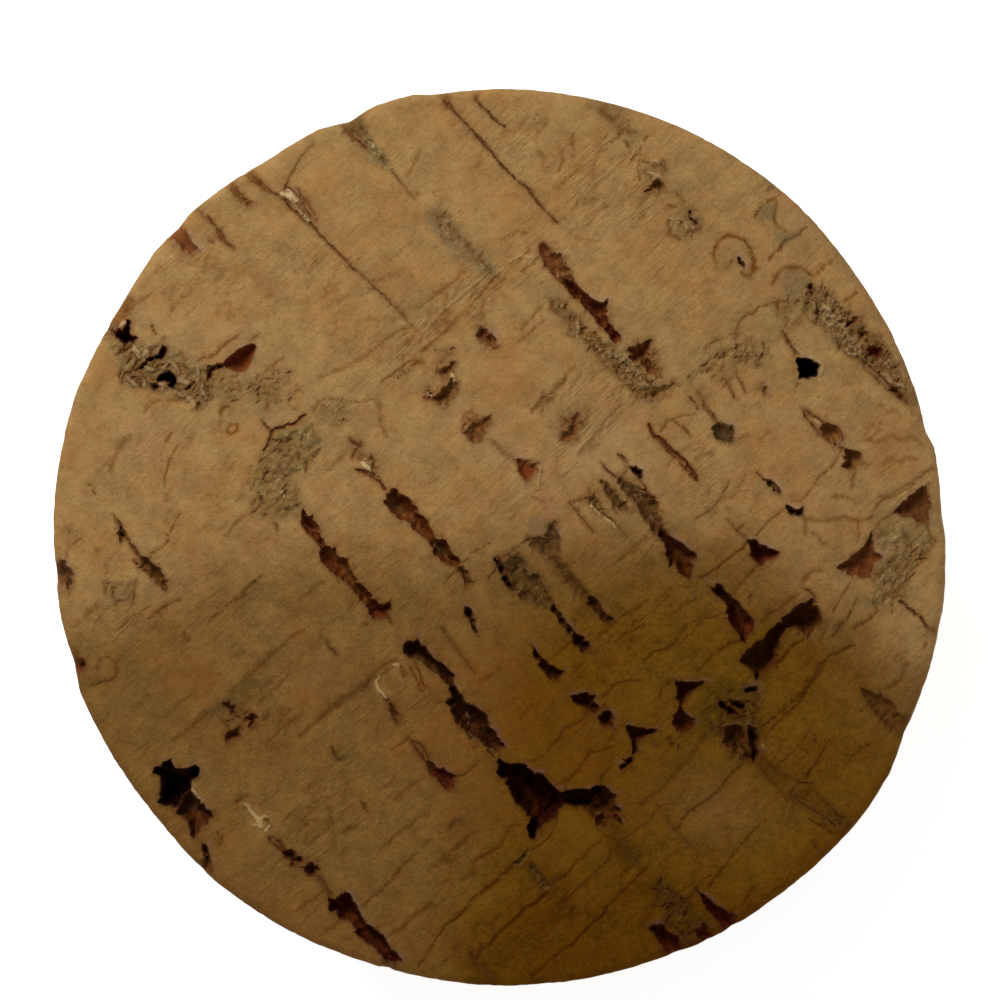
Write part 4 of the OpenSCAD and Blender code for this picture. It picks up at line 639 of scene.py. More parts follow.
# Pale torn fibres and crumbs: (brightness, height in mm, [(x, y, width)...])
FIBRES = [
    (0.95, 0.16, [(379, 676, 1.8), (376, 681, 2.2), (377, 687, 2.4), (381, 692, 2.4), (386, 698, 2.4)]),
    (0.90, 0.10, [(394, 665, 3.0), (397, 665, 3.0)]),
    (0.90, 0.14, [(192, 789, 3.0), (194, 794, 4.2), (199, 799, 2.4)]),
    (0.70, 0.12, [(245, 804, 3.2), (249, 808, 3.6)]),
    (1.00, 0.16, [(250, 810, 2.6), (254, 815, 3.4), (258, 820, 5.2), (260, 825, 5.0)]),
    (0.95, 0.14, [(259, 819, 4.0), (264, 816, 3.2), (267, 817, 2.2)]),
    (0.90, 0.14, [(265, 831, 3.0), (270, 825, 2.6)]),
    (0.80, 0.10, [(254, 825, 2.2), (262, 827, 2.6)]),
    (0.80, 0.10, [(589, 504, 1.6), (594, 508, 2.2), (600, 514, 1.8)]),
    (0.80, 0.10, [(604, 517, 1.6), (610, 522, 2.2), (616, 528, 1.8)]),
    (0.60, 0.10, [(451, 373, 2.4), (453, 377, 3.8), (454, 382, 2.6)]),
    (0.70, 0.08, [(428, 393, 2.4), (431, 396, 3.2)]),
    (0.75, 0.10, [(282, 492, 2.6), (284, 496, 3.0)]),
    (0.85, 0.10, [(362, 463, 3.0), (366, 466, 5.0), (370, 470, 3.4)]),
    (0.95, 0.12, [(281, 193, 3.4), (285, 194, 5.0), (290, 198, 4.4)]),
    (0.90, 0.12, [(288, 190, 3.0), (293, 195, 4.4), (296, 200, 4.0)]),
    (0.75, 0.10, [(299, 211, 3.0), (302, 214, 2.6)]),
    (0.60, 0.10, [(305, 216, 2.2), (309, 221, 2.4)]),
    (0.60, 0.10, [(114, 326, 4.0), (119, 325, 5.0), (124, 322, 4.0)]),
    (0.14, 0.08, [(304, 524, 2.0), (309, 528, 3.0), (315, 530, 2.4)]),
    (0.35, 0.08, [(538, 490, 1.4), (539, 479, 1.6), (541, 466, 1.2)]),
    (0.50, 0.10, [(597, 346, 2.0), (600, 350, 2.6)]),
    (0.45, 0.10, [(624, 354, 1.6), (629, 360, 1.6), (634, 365, 1.2)]),
    (0.50, 0.08, [(365, 139, 2.2), (369, 142, 2.0)]),
    (0.55, 0.08, [(372, 144, 1.8), (374, 147, 2.0)]),
    (0.55, 0.08, [(481, 265, 1.6), (484, 268, 2.0)]),
    (0.55, 0.10, [(466, 714, 2.2), (469, 718, 2.6), (468, 724, 2.0)]),
    (0.45, 0.10, [(482, 727, 1.8), (485, 731, 2.0)]),
    (0.50, 0.10, [(468, 732, 2.0), (471, 736, 2.2)]),
    (0.40, 0.08, [(815, 420, 3.2), (820, 423, 3.0)]),
    (0.50, 0.08, [(738, 754, 2.0), (742, 757, 2.6)]),
    (0.45, 0.08, [(762, 745, 3.0), (765, 747, 2.6)]),
    # crumbs in the hollow at the left edge
    (0.50, 0.12, [(134, 347, 3.4), (137, 352, 4.6), (139, 357, 3.0)]),
    (0.45, 0.10, [(146, 350, 2.6), (143, 356, 3.0)]),
    (0.42, 0.12, [(176, 378, 3.4), (183, 381, 5.0), (189, 384, 3.4)]),
    (0.38, 0.10, [(144, 366, 3.0), (149, 368, 4.0), (153, 371, 3.0)]),
    (0.34, 0.10, [(128, 378, 3.4), (132, 382, 4.0), (136, 386, 3.0)]),
    (0.34, 0.10, [(143, 380, 2.4), (144, 386, 2.8)]),
    (0.40, 0.10, [(160, 384, 3.0), (165, 385, 3.4)]),
    (0.30, 0.10, [(186, 395, 3.4), (191, 399, 4.0), (194, 405, 3.0)]),
    (0.28, 0.10, [(178, 393, 3.0), (183, 397, 3.4)]),
    (0.30, 0.10, [(202, 384, 2.4), (203, 392, 2.8), (206, 399, 2.4)]),
    (0.30, 0.10, [(170, 362, 3.0), (175, 366, 3.4), (180, 372, 3.0)]),
    (0.26, 0.08, [(197, 366, 2.6), (199, 374, 3.0)]),
    # crumbs of the band at the right
    (0.42, 0.10, [(824, 306, 3.0), (829, 309, 3.6)]),
    (0.42, 0.10, [(828, 315, 3.0), (834, 316, 3.6)]),
    (0.40, 0.10, [(836, 308, 2.4), (840, 312, 2.8)]),
    (0.42, 0.10, [(826, 322, 2.8), (832, 325, 3.2)]),
    (0.38, 0.10, [(838, 324, 3.0), (845, 326, 3.0)]),
    (0.34, 0.10, [(836, 334, 2.6), (842, 337, 3.0)]),
    (0.34, 0.10, [(848, 336, 2.6), (853, 340, 3.0)]),
    (0.30, 0.10, [(845, 350, 2.6), (851, 354, 3.0), (858, 355, 2.4)]),
    (0.34, 0.10, [(852, 347, 2.4), (856, 350, 2.4)]),
    (0.28, 0.10, [(813, 302, 2.6), (815, 308, 2.8)]),
    (0.34, 0.12, [(884, 375, 4.0), (888, 378, 5.0), (891, 381, 4.0)]),
    (0.32, 0.12, [(899, 384, 4.0), (904, 386, 5.0)]),
    (0.24, 0.10, [(886, 363, 2.6), (889, 368, 2.6)]),
    # grey crumbs round the star hole
    (0.22, 0.10, [(810, 356, 2.6), (815, 359, 3.2), (820, 362, 3.0)]),
    (0.24, 0.10, [(821, 363, 3.0), (822, 369, 3.4), (820, 374, 2.6)]),
    (0.20, 0.08, [(818, 379, 3.0), (822, 382, 2.6)]),
    (0.16, 0.08, [(797, 381, 2.6), (803, 382, 2.6)]),
    (0.34, 0.10, [(793, 345, 2.4), (798, 350, 3.0), (803, 354, 2.4)]),
    # band under the big lenticel
    (0.34, 0.10, [(577, 322, 2.4), (579, 330, 3.6), (577, 337, 2.6)]),
    (0.26, 0.10, [(584, 336, 2.4), (590, 339, 2.6)]),
    (0.28, 0.10, [(608, 352, 2.4), (614, 354, 3.0), (619, 359, 2.4)]),
    (0.22, 0.12, [(622, 366, 4.0), (627, 370, 5.0)]),
    (0.22, 0.12, [(634, 370, 5.0), (638, 374, 6.0)]),
    (0.18, 0.10, [(640, 384, 4.0), (648, 386, 4.6)]),
    # top right crumbs
    (0.40, 0.08, [(648, 173, 2.6), (654, 174, 3.4), (661, 177, 3.0)]),
    (0.34, 0.08, [(652, 160, 2.0), (658, 161, 2.2)]),
    (0.34, 0.08, [(685, 222, 2.4), (687, 228, 2.6)]),
    (0.30, 0.08, [(694, 228, 2.4), (699, 227, 2.4)]),
    # pale flakes by the cracks of the left half
    (0.24, 0.08, [(112, 641, 1.4), (120, 632, 2.0), (130, 622, 2.0), (139, 613, 1.4)]),
    (0.26, 0.06, [(424, 330, 1.6), (432, 320, 2.4), (441, 311, 2.4), (452, 301, 1.6)]),
    (0.20, 0.06, [(455, 300, 1.4), (466, 290, 2.2), (478, 281, 1.4)]),
    (0.22, 0.06, [(510, 262, 1.4), (518, 257, 2.0), (526, 256, 2.6), (534, 258, 2.0)]),
    (0.36, 0.08, [(396, 662, 2.0), (399, 665, 2.6)]),
    # lilac flakes in the dark cluster at the lower right
    (0.16, 0.10, [(724, 726, 2.2), (732, 724, 2.6), (741, 724, 2.2)]),
    (0.14, 0.08, [(744, 700, 2.0), (739, 698, 2.4), (733, 700, 2.0)]),
    (0.12, 0.08, [(724, 733, 1.8), (723, 741, 2.0), (726, 749, 1.8)]),
    (0.16, 0.08, [(736, 752, 2.4), (741, 750, 2.8)]),
    (0.12, 0.08, [(728, 716, 2.0), (733, 713, 2.4)]),
    (0.14, 0.08, [(684, 897, 2.0), (688, 901, 2.2)]),
]

# Soft stains and crumbled patches: (kind, strength, outline). Their edges are blurred.
PATCHES = [
    ("crumb", 1.00, 4, [(112, 328), (140, 343), (158, 340), (170, 346), (180, 356), (200, 362), (216, 366), (214, 392), (206, 408), (190, 402), (172, 394), (150, 390), (122, 384), (118, 360), (108, 342)]),
    ("orange", 0.55, 22, [(430, 640), (520, 650), (590, 690), (640, 760), (650, 820), (560, 850), (450, 830), (420, 740)]),
    ("olive", 0.30, 8, [(214, 368), (240, 374), (262, 378), (286, 392), (294, 408), (272, 414), (246, 408), (222, 400), (210, 388)]),
    ("olive", 0.42, 4, [(338, 124), (348, 118), (358, 112), (366, 122), (368, 134), (378, 145), (390, 160), (384, 168), (366, 153), (350, 138)]),
    ("pale", 0.28, 5, [(628, 366), (642, 369), (650, 378), (652, 392), (640, 393), (630, 380)]),
    ("crumb", 0.95, 3, [(280, 193), (286, 184), (292, 187), (298, 193), (304, 201), (309, 210), (312, 218), (309, 224), (302, 219), (294, 212), (287, 205), (281, 198)]),
    ("crumb", 0.95, 3, [(338, 124), (348, 120), (358, 112), (364, 120), (362, 130), (369, 138), (376, 145), (382, 151), (388, 160), (393, 169), (397, 176), (393, 176), (386, 169), (378, 163), (370, 155), (360, 146), (351, 137), (343, 129)]),
    ("grey", 0.75, 4, [(338, 124), (348, 120), (358, 112), (364, 120), (362, 130), (369, 138), (376, 145), (382, 151), (388, 160), (384, 166), (370, 155), (360, 146), (351, 137), (343, 129)]),
    ("crumb", 0.55, 5, [(422, 204), (432, 209), (442, 212), (452, 216), (457, 226), (463, 236), (470, 246), (478, 250), (486, 255), (493, 266), (494, 276), (487, 279), (478, 270), (468, 260), (458, 250), (447, 242), (438, 234), (428, 220)]),
    ("grey", 0.70, 7, [(424, 204), (434, 208), (446, 211), (456, 218), (464, 232), (474, 244), (486, 250), (495, 264), (496, 277), (486, 281), (472, 270), (456, 254), (442, 242), (430, 226)]),
    ("olive", 0.30, 12, [(395, 300), (430, 290), (440, 300), (425, 325), (400, 335), (385, 320)]),
    ("crumb", 0.20, 6, [(641, 166), (650, 160), (664, 160), (670, 170), (668, 184), (656, 190), (645, 186)]),
    ("olive", 0.45, 7, [(641, 166), (650, 160), (664, 160), (672, 172), (690, 190), (692, 206), (676, 210), (668, 190), (645, 190)]),
    ("crumb", 0.60, 5, [(672, 214), (688, 208), (700, 218), (700, 232), (688, 240), (675, 236), (669, 226)]),
    ("grey", 0.35, 6, [(672, 214), (688, 208), (700, 218), (700, 232), (688, 240), (675, 236), (669, 226)]),
    ("grey", 0.20, 5, [(719, 246), (728, 239), (742, 243), (750, 254), (751, 268), (744, 272), (730, 270), (720, 262)]),
    ("grey", 0.95, 4, [(757, 216), (763, 206), (771, 202), (777, 204), (776, 215), (773, 223), (764, 226), (757, 224)]),
    ("grey", 0.85, 5, [(772, 224), (780, 230), (792, 231), (801, 231), (796, 239), (786, 245), (774, 240)]),
    ("pink", 0.25, 8, [(778, 205), (790, 200), (812, 222), (800, 232), (786, 226)]),
    ("grey", 0.62, 6, [(776, 284), (780, 273), (790, 269), (806, 272), (812, 281), (806, 291), (794, 297), (782, 293)]),
    ("olive", 0.50, 9, [(586, 98), (604, 100), (625, 122), (640, 134), (632, 146), (608, 128), (590, 112)]),
    ("brown", 0.45, 5, [(588, 100), (602, 102), (616, 114), (626, 124), (618, 126), (604, 116), (592, 108)]),
    ("crumb", 1.00, 3, [(806, 283), (813, 284), (822, 290), (836, 297), (850, 311), (860, 318), (872, 334), (886, 347), (898, 361), (908, 376), (914, 390), (925, 408), (914, 408), (904, 402), (890, 389), (874, 373), (858, 359), (846, 353), (836, 343), (826, 330), (812, 322), (804, 312), (797, 299), (806, 296)]),
    ("brown", 0.55, 5, [(852, 318), (862, 322), (880, 338), (896, 356), (908, 374), (902, 380), (884, 366), (866, 356), (854, 340)]),
    ("crumb", 0.36, 7, [(700, 352), (712, 338), (736, 332), (752, 342), (776, 350), (770, 364), (748, 366), (740, 374), (718, 360), (700, 372), (690, 390), (676, 388), (684, 370)]),
    ("olive", 0.22, 14, [(680, 380), (700, 345), (736, 330), (776, 348), (766, 372), (730, 378), (700, 400), (684, 402)]),
    ("crumb", 0.55, 4, [(788, 336), (798, 344), (804, 354), (796, 358), (788, 348)]),
    ("crumb", 0.95, 3, [(546, 296), (556, 298), (566, 304), (574, 312), (580, 322), (590, 333), (600, 339), (610, 340), (620, 350), (632, 360), (642, 369), (650, 378), (660, 386), (664, 396), (652, 403), (642, 399), (632, 391), (622, 380), (612, 366), (602, 357), (592, 349), (580, 339), (568, 330), (560, 318), (552, 307)]),
    ("olive", 0.20, 9, [(545, 292), (575, 308), (600, 338), (640, 362), (668, 392), (650, 408), (612, 376), (576, 342), (552, 314)]),
    ("grey", 0.30, 7, [(540, 278), (556, 284), (562, 296), (552, 302), (542, 292)]),
    ("crumb", 0.55, 3, [(613, 336), (622, 338), (630, 346), (628, 354), (620, 350)]),
    ("crumb", 0.90, 4, [(262, 455), (272, 440), (284, 430), (300, 424), (318, 432), (322, 444), (308, 458), (300, 474), (296, 488), (300, 505), (296, 514), (280, 513), (264, 510), (254, 492), (252, 474)]),
    ("olive", 0.55, 8, [(262, 455), (275, 438), (300, 422), (320, 432), (310, 456), (298, 478), (298, 508), (268, 510), (254, 492), (252, 474)]),
    ("crumb", 0.30, 8, [(214, 372), (240, 378), (262, 378), (290, 392), (300, 410), (276, 418), (250, 408), (226, 398), (212, 390)]),
    ("olive", 0.35, 14, [(200, 370), (240, 376), (270, 385), (295, 405), (260, 415), (220, 405), (200, 392)]),
    ("olive", 0.50, 8, [(318, 404), (340, 400), (356, 404), (352, 418), (336, 426), (320, 420)]),
    ("crumb", 0.35, 6, [(318, 404), (340, 400), (356, 404), (352, 418), (344, 436), (326, 440), (312, 430)]),
    ("grey", 0.35, 9, [(300, 428), (325, 436), (350, 446), (340, 440), (320, 448), (300, 446)]),
    ("pink", 0.30, 5, [(264, 412), (276, 408), (282, 420), (274, 428), (266, 422)]),
    ("crumb", 0.60, 4, [(362, 455), (374, 456), (380, 468), (376, 476), (366, 468)]),
    ("olive", 0.30, 6, [(384, 380), (400, 366), (425, 356), (426, 366), (406, 374), (392, 384)]),
    ("brown", 0.35, 5, [(432, 352), (444, 352), (456, 346), (458, 356), (446, 362), (436, 362)]),
    ("brown", 0.35, 4, [(476, 318), (486, 326), (492, 344), (482, 348), (474, 336)]),
    ("brown", 0.35, 5, [(485, 343), (496, 340), (500, 348), (490, 352)]),
    ("brown", 0.30, 7, [(542, 392), (556, 386), (560, 402), (548, 412), (538, 404)]),
    ("brown", 0.30, 6, [(560, 408), (584, 408), (590, 424), (576, 442), (560, 440), (556, 426)]),
    ("brown", 0.25, 6, [(488, 438), (500, 442), (516, 458), (510, 466), (496, 454)]),
    ("pink", 0.40, 6, [(540, 500), (556, 494), (562, 506), (548, 520), (536, 534), (528, 524), (540, 514)]),
    ("grey", 0.55, 4, [(528, 522), (538, 516), (548, 520), (556, 528), (560, 545), (548, 552), (534, 548), (528, 538)]),
    ("grey", 0.60, 3, [(504, 562), (517, 556), (524, 566), (528, 576), (541, 578), (551, 602), (536, 602), (520, 596), (509, 576)]),
    ("crumb", 0.80, 3, [(502, 561), (518, 555), (524, 562), (526, 576), (520, 592), (512, 582)]),
    ("grey", 0.55, 3, [(618, 480), (640, 490), (658, 504), (662, 526), (652, 530), (640, 512), (624, 494)]),
    ("crumb", 0.50, 3, [(618, 480), (640, 490), (658, 504), (662, 526), (652, 530), (640, 512), (624, 494)]),
    ("brown", 0.65, 3, [(550, 556), (558, 554), (566, 563), (574, 574), (582, 584), (592, 595), (586, 600), (576, 590), (566, 580), (556, 568)]),
    ("grey", 0.35, 6, [(455, 604), (466, 600), (462, 614), (452, 616)]),
    ("grey", 0.45, 6, [(486, 578), (498, 580), (500, 594), (488, 598)]),
    ("pink", 0.22, 7, [(590, 470), (640, 474), (670, 500), (660, 498), (636, 482), (600, 478)]),
    ("crumb", 0.80, 5, [(882, 524), (904, 519), (926, 524), (933, 542), (918, 562), (908, 574), (906, 592), (892, 602), (876, 610), (868, 600), (878, 584), (874, 572), (884, 556), (876, 540)]),
    ("olive", 0.55, 9, [(880, 524), (906, 518), (930, 524), (934, 545), (912, 570), (906, 594), (884, 612), (862, 604), (874, 578), (886, 556), (876, 540)]),
    ("pale", 0.30, 8, [(884, 536), (900, 532), (906, 546), (896, 556), (884, 550)]),
    ("olive", 0.45, 9, [(800, 624), (830, 620), (852, 620), (850, 634), (826, 636), (806, 634)]),
    ("olive", 0.85, 10, [(700, 690), (716, 680), (742, 682), (764, 690), (760, 722), (752, 764), (736, 762), (722, 744), (706, 740), (694, 722)]),
    ("crumb", 0.75, 5, [(704, 700), (716, 690), (744, 686), (764, 690), (764, 720), (758, 760), (744, 764), (726, 748), (712, 736), (702, 718)]),
    ("brown", 0.40, 8, [(744, 716), (764, 724), (770, 744), (764, 762), (756, 752), (748, 734)]),
    ("olive", 0.55, 7, [(756, 758), (772, 764), (790, 782), (798, 792), (788, 796), (772, 780), (760, 770)]),
    ("brown", 0.50, 7, [(756, 758), (772, 764), (790, 780), (800, 778), (806, 780), (790, 796), (772, 780), (760, 770)]),
    ("brown", 0.60, 4, [(790, 796), (804, 780), (814, 786), (830, 802), (856, 826), (848, 838), (838, 838), (818, 818)]),
    ("crumb", 0.35, 4, [(790, 796), (804, 780), (814, 786), (830, 802), (856, 826), (848, 838), (838, 838), (818, 818)]),
    ("olive", 0.40, 12, [(708, 742), (694, 760), (672, 780), (646, 802), (622, 812), (626, 796), (656, 772), (684, 748), (700, 736)]),
    ("brown", 0.28, 5, [(727, 776), (731, 784), (716, 798), (702, 810), (690, 818), (688, 812), (706, 800), (720, 786)]),
    ("brown", 0.55, 6, [(598, 822), (612, 824), (616, 840), (628, 850), (638, 862), (628, 868), (614, 856), (602, 840)]),
    ("olive", 0.45, 8, [(610, 830), (622, 838), (640, 850), (634, 862), (620, 854)]),
    ("pale", 0.40, 12, [(560, 812), (590, 818), (600, 845), (590, 868), (560, 868), (545, 850), (548, 828)]),
    ("crumb", 0.80, 4, [(650, 884), (662, 879), (674, 888), (686, 898), (694, 908), (706, 916), (706, 926), (690, 940), (684, 946), (676, 934), (666, 918), (660, 904)]),
    ("grey", 0.45, 6, [(650, 884), (662, 879), (674, 888), (692, 904), (690, 912), (672, 908), (658, 898)]),
    ("olive", 0.50, 8, [(660, 905), (690, 908), (704, 920), (690, 938), (670, 928)]),
    ("olive", 0.85, 7, [(212, 706), (224, 694), (240, 686), (254, 672), (264, 668), (262, 682), (248, 696), (232, 706), (214, 716), (202, 722), (204, 712)]),
    ("brown", 0.35, 6, [(204, 712), (220, 698), (236, 688), (244, 690), (228, 702), (210, 720)]),
    ("orange", 0.55, 14, [(160, 662), (200, 652), (220, 664), (224, 686), (200, 704), (172, 690)]),
    ("brown", 0.42, 6, [(130, 716), (135, 701), (146, 692), (160, 689), (174, 692), (184, 700), (180, 704), (160, 697), (146, 702), (138, 716)]),
    ("crumb", 0.30, 7, [(140, 700), (175, 700), (172, 735), (140, 738)]),
    ("grey", 0.45, 7, [(232, 604), (240, 594), (252, 582), (268, 584), (270, 596), (252, 604), (240, 610)]),
    ("grey", 0.50, 5, [(118, 584), (130, 582), (136, 594), (128, 602), (118, 596)]),
    ("crumb", 0.45, 6, [(102, 580), (118, 580), (134, 584), (134, 602), (116, 606), (104, 598)]),
    ("brown", 0.40, 6, [(48, 560), (66, 572), (70, 590), (62, 600), (50, 590)]),
    ("brown", 0.35, 5, [(245, 888), (256, 886), (266, 894), (262, 902), (256, 908), (246, 898)]),
    ("orange", 0.45, 8, [(222, 880), (250, 900), (262, 910), (250, 916), (230, 902), (214, 886)]),
    ("orange", 0.40, 9, [(300, 915), (330, 935), (300, 945), (280, 925)]),
    ("olive", 0.45, 5, [(328, 748), (344, 746), (352, 756), (346, 764), (332, 764)]),
    ("olive", 0.45, 7, [(446, 826), (460, 816), (478, 812), (476, 824), (460, 834), (448, 836)]),
    ("brown", 0.45, 7, [(460, 950), (476, 944), (490, 948), (496, 962), (500, 984), (474, 984), (460, 970)]),
    ("brown", 0.30, 6, [(412, 946), (428, 940), (432, 958), (418, 968)]),
    ("brown", 0.45, 4, [(548, 905), (556, 906), (557, 926), (551, 924)]),
    ("orange", 0.35, 14, [(480, 170), (520, 190), (560, 240), (540, 250), (500, 220)]),
    ("orange", 0.30, 16, [(325, 150), (350, 160), (340, 200), (310, 190)]),
    ("orange", 0.35, 16, [(470, 370), (510, 340), (540, 370), (520, 400), (480, 400)]),
    ("orange", 0.30, 18, [(620, 235), (680, 240), (700, 280), (640, 280)]),
    ("orange", 0.35, 10, [(84, 360), (104, 356), (108, 376), (88, 384)]),
    ("orange", 0.30, 16, [(80, 540), (110, 540), (115, 570), (85, 575)]),
    ("orange", 0.35, 14, [(836, 290), (870, 300), (880, 320), (850, 318)]),
    ("orange", 0.40, 12, [(745, 420), (790, 430), (790, 450), (750, 450)]),
    ("pale", 0.25, 14, [(120, 300), (170, 310), (190, 340), (150, 340)]),
    ("pale", 0.22, 16, [(200, 330), (240, 315), (250, 335), (215, 350)]),
    ("pale", 0.25, 14, [(440, 400), (500, 420), (560, 470), (520, 480), (450, 430)]),
    ("pale", 0.25, 14, [(560, 490), (580, 440), (620, 400), (650, 410), (610, 460), (580, 490)]),
    ("pink", 0.25, 20, [(640, 780), (700, 740), (740, 780), (720, 820), (660, 820)]),
    ("pink", 0.25, 16, [(300, 660), (340, 650), (350, 690), (310, 700)]),
    ("pink", 0.20, 18, [(120, 420), (170, 420), (180, 460), (130, 465)]),
    ("brown", 0.45, 6, [(318, 722), (332, 706), (346, 694), (360, 684), (372, 674), (376, 680), (362, 694), (346, 704), (330, 716)]),
    ("olive", 0.30, 12, [(258, 672), (276, 654), (296, 638), (310, 634), (300, 650), (280, 668), (266, 682)]),
    ("brown", 0.45, 4, [(130, 296), (134, 300), (130, 312), (126, 322), (112, 328), (118, 310)]),
    ("olive", 0.55, 8, [(112, 330), (140, 342), (170, 350), (214, 372), (212, 400), (190, 402), (160, 392), (124, 384)]),
    ("olive", 0.45, 8, [(797, 290), (815, 286), (850, 312), (880, 346), (912, 392), (920, 408), (902, 404), (874, 376), (842, 350), (806, 318)]),
    ("brown", 0.40, 4, [(538, 244), (548, 246), (572, 274), (574, 288), (556, 280), (544, 262)]),
    ("brown", 0.35, 7, [(622, 340), (648, 336), (662, 352), (668, 378), (652, 378), (632, 362)]),
    ("olive", 0.50, 9, [(244, 500), (262, 496), (300, 500), (306, 514), (280, 522), (250, 520)]),
    ("brown", 0.35, 6, [(292, 498), (306, 500), (312, 512), (304, 520), (294, 514)]),
    ("brown", 0.35, 5, [(344, 436), (356, 434), (366, 444), (358, 460), (348, 452)]),
    ("olive", 0.30, 8, [(356, 452), (372, 450), (384, 470), (376, 484), (362, 476)]),
    ("olive", 0.40, 9, [(630, 886), (652, 880), (690, 896), (706, 920), (688, 940), (664, 920)]),
    ("brown", 0.45, 6, [(652, 886), (668, 884), (690, 900), (700, 922), (680, 916), (662, 906)]),
    ("brown", 0.40, 6, [(440, 884), (450, 882), (446, 892), (440, 892)]),
    ("brown", 0.30, 5, [(456, 946), (470, 944), (488, 942), (490, 956), (470, 964)]),
    ("olive", 0.35, 10, [(700, 300), (740, 310), (790, 296), (800, 300), (780, 330), (740, 340)]),
    ("brown", 0.30, 8, [(600, 404), (622, 396), (626, 404), (606, 418)]),
    ("orange", 0.45, 9, [(212, 432), (240, 420), (250, 436), (226, 450)]),
    ("orange", 0.40, 12, [(60, 420), (76, 430), (78, 470), (60, 480)]),
    ("orange", 0.40, 12, [(820, 300), (850, 306), (890, 330), (884, 340), (850, 322)]),
    ("orange", 0.35, 12, [(180, 470), (220, 480), (230, 520), (190, 520)]),
    ("orange", 0.35, 14, [(330, 230), (380, 220), (372, 250), (330, 270)]),
    ("orange", 0.32, 14, [(640, 250), (700, 230), (712, 262), (650, 280)]),
    ("orange", 0.48, 12, [(870, 440), (910, 430), (922, 470), (880, 480)]),
    ("orange", 0.30, 12, [(360, 700), (420, 700), (430, 750), (370, 760)]),
    ("orange", 0.35, 12, [(480, 640), (560, 660), (560, 720), (500, 720)]),
    ("orange", 0.40, 12, [(520, 950), (640, 940), (640, 960), (530, 980)]),
    ("grey", 0.70, 5, [(598, 806), (612, 812), (630, 838), (644, 868), (632, 866), (614, 842)]),
    ("olive", 0.60, 5, [(448, 822), (460, 814), (474, 816), (468, 826), (454, 832)]),
    ("grey", 0.16, 12, [(110, 696), (150, 690), (180, 716), (160, 748), (120, 740)]),
    ("orange", 0.55, 14, [(740, 424), (800, 432), (806, 480), (752, 480)]),
    ("orange", 0.50, 14, [(858, 412), (912, 412), (916, 470), (868, 470)]),
    ("orange", 0.40, 10, [(884, 520), (920, 524), (926, 560), (896, 596), (880, 604), (884, 570)]),
    ("orange", 0.40, 14, [(450, 460), (510, 470), (510, 520), (450, 510)]),
    ("brown", 0.85, 5, [(546, 296), (566, 306), (600, 340), (628, 362), (618, 372), (590, 348), (556, 316)]),
    ("grey", 0.70, 4, [(339, 125), (348, 120), (358, 114), (362, 124), (366, 136), (362, 144), (352, 136), (344, 130)]),
    ("grey", 0.60, 6, [(498, 556), (522, 550), (536, 566), (548, 590), (552, 604), (534, 602), (508, 580)]),
    ("brown", 0.45, 5, [(540, 541), (549, 545), (578, 581), (596, 600), (588, 602), (560, 572), (543, 550)]),
    ("brown", 0.55, 6, [(464, 414), (492, 412), (494, 426), (482, 444), (468, 440)]),
    ("brown", 0.55, 6, [(560, 418), (584, 412), (588, 428), (576, 444), (560, 442)]),
    ("brown", 0.40, 7, [(490, 434), (520, 456), (540, 460), (530, 480), (514, 470), (492, 446)]),
    ("brown", 0.45, 6, [(424, 368), (456, 362), (460, 392), (448, 408), (422, 402)]),
    ("brown", 0.40, 6, [(474, 326), (492, 324), (498, 342), (482, 348)]),
    ("brown", 0.35, 6, [(404, 738), (420, 742), (456, 774), (452, 792), (430, 778)]),
    ("grey", 0.50, 6, [(496, 554), (522, 550), (546, 578), (556, 606), (534, 604), (508, 582)]),
    ("orange", 0.30, 10, [(256, 440), (300, 424), (318, 436), (300, 474), (298, 512), (262, 508), (250, 470)]),
    ("brown", 0.40, 6, [(134, 556), (146, 558), (166, 578), (170, 588), (156, 584), (142, 570)]),
    ("brown", 0.35, 7, [(880, 576), (900, 560), (910, 580), (890, 606), (872, 606)]),
    # places where the knife combed the cork
    ("combed", 1.00, 16, [(560, 150), (600, 130), (670, 190), (650, 220), (590, 230), (560, 200)]),
    ("combed", 1.00, 14, [(560, 400), (600, 365), (640, 400), (600, 450), (560, 480), (545, 440)]),
    ("combed", 1.00, 14, [(410, 320), (480, 270), (540, 250), (530, 280), (480, 310), (430, 350), (400, 385), (380, 370)]),
    ("combed", 0.80, 14, [(290, 800), (340, 790), (370, 830), (320, 860), (280, 840)]),
    ("combed", 0.70, 18, [(640, 240), (720, 250), (700, 320), (640, 320)]),
    ("combed", 0.60, 16, [(700, 420), (740, 440), (720, 500), (670, 480)]),
    ("combed", 0.60, 18, [(330, 380), (400, 360), (420, 375), (360, 410)]),
    ("combed", 0.70, 16, [(460, 100), (520, 100), (540, 170), (490, 160)]),
    ("combed", 0.50, 20, [(120, 600), (220, 560), (330, 560), (240, 660), (130, 680)]),
    ("combed", 0.50, 20, [(420, 480), (500, 440), (560, 480), (500, 540)]),
]

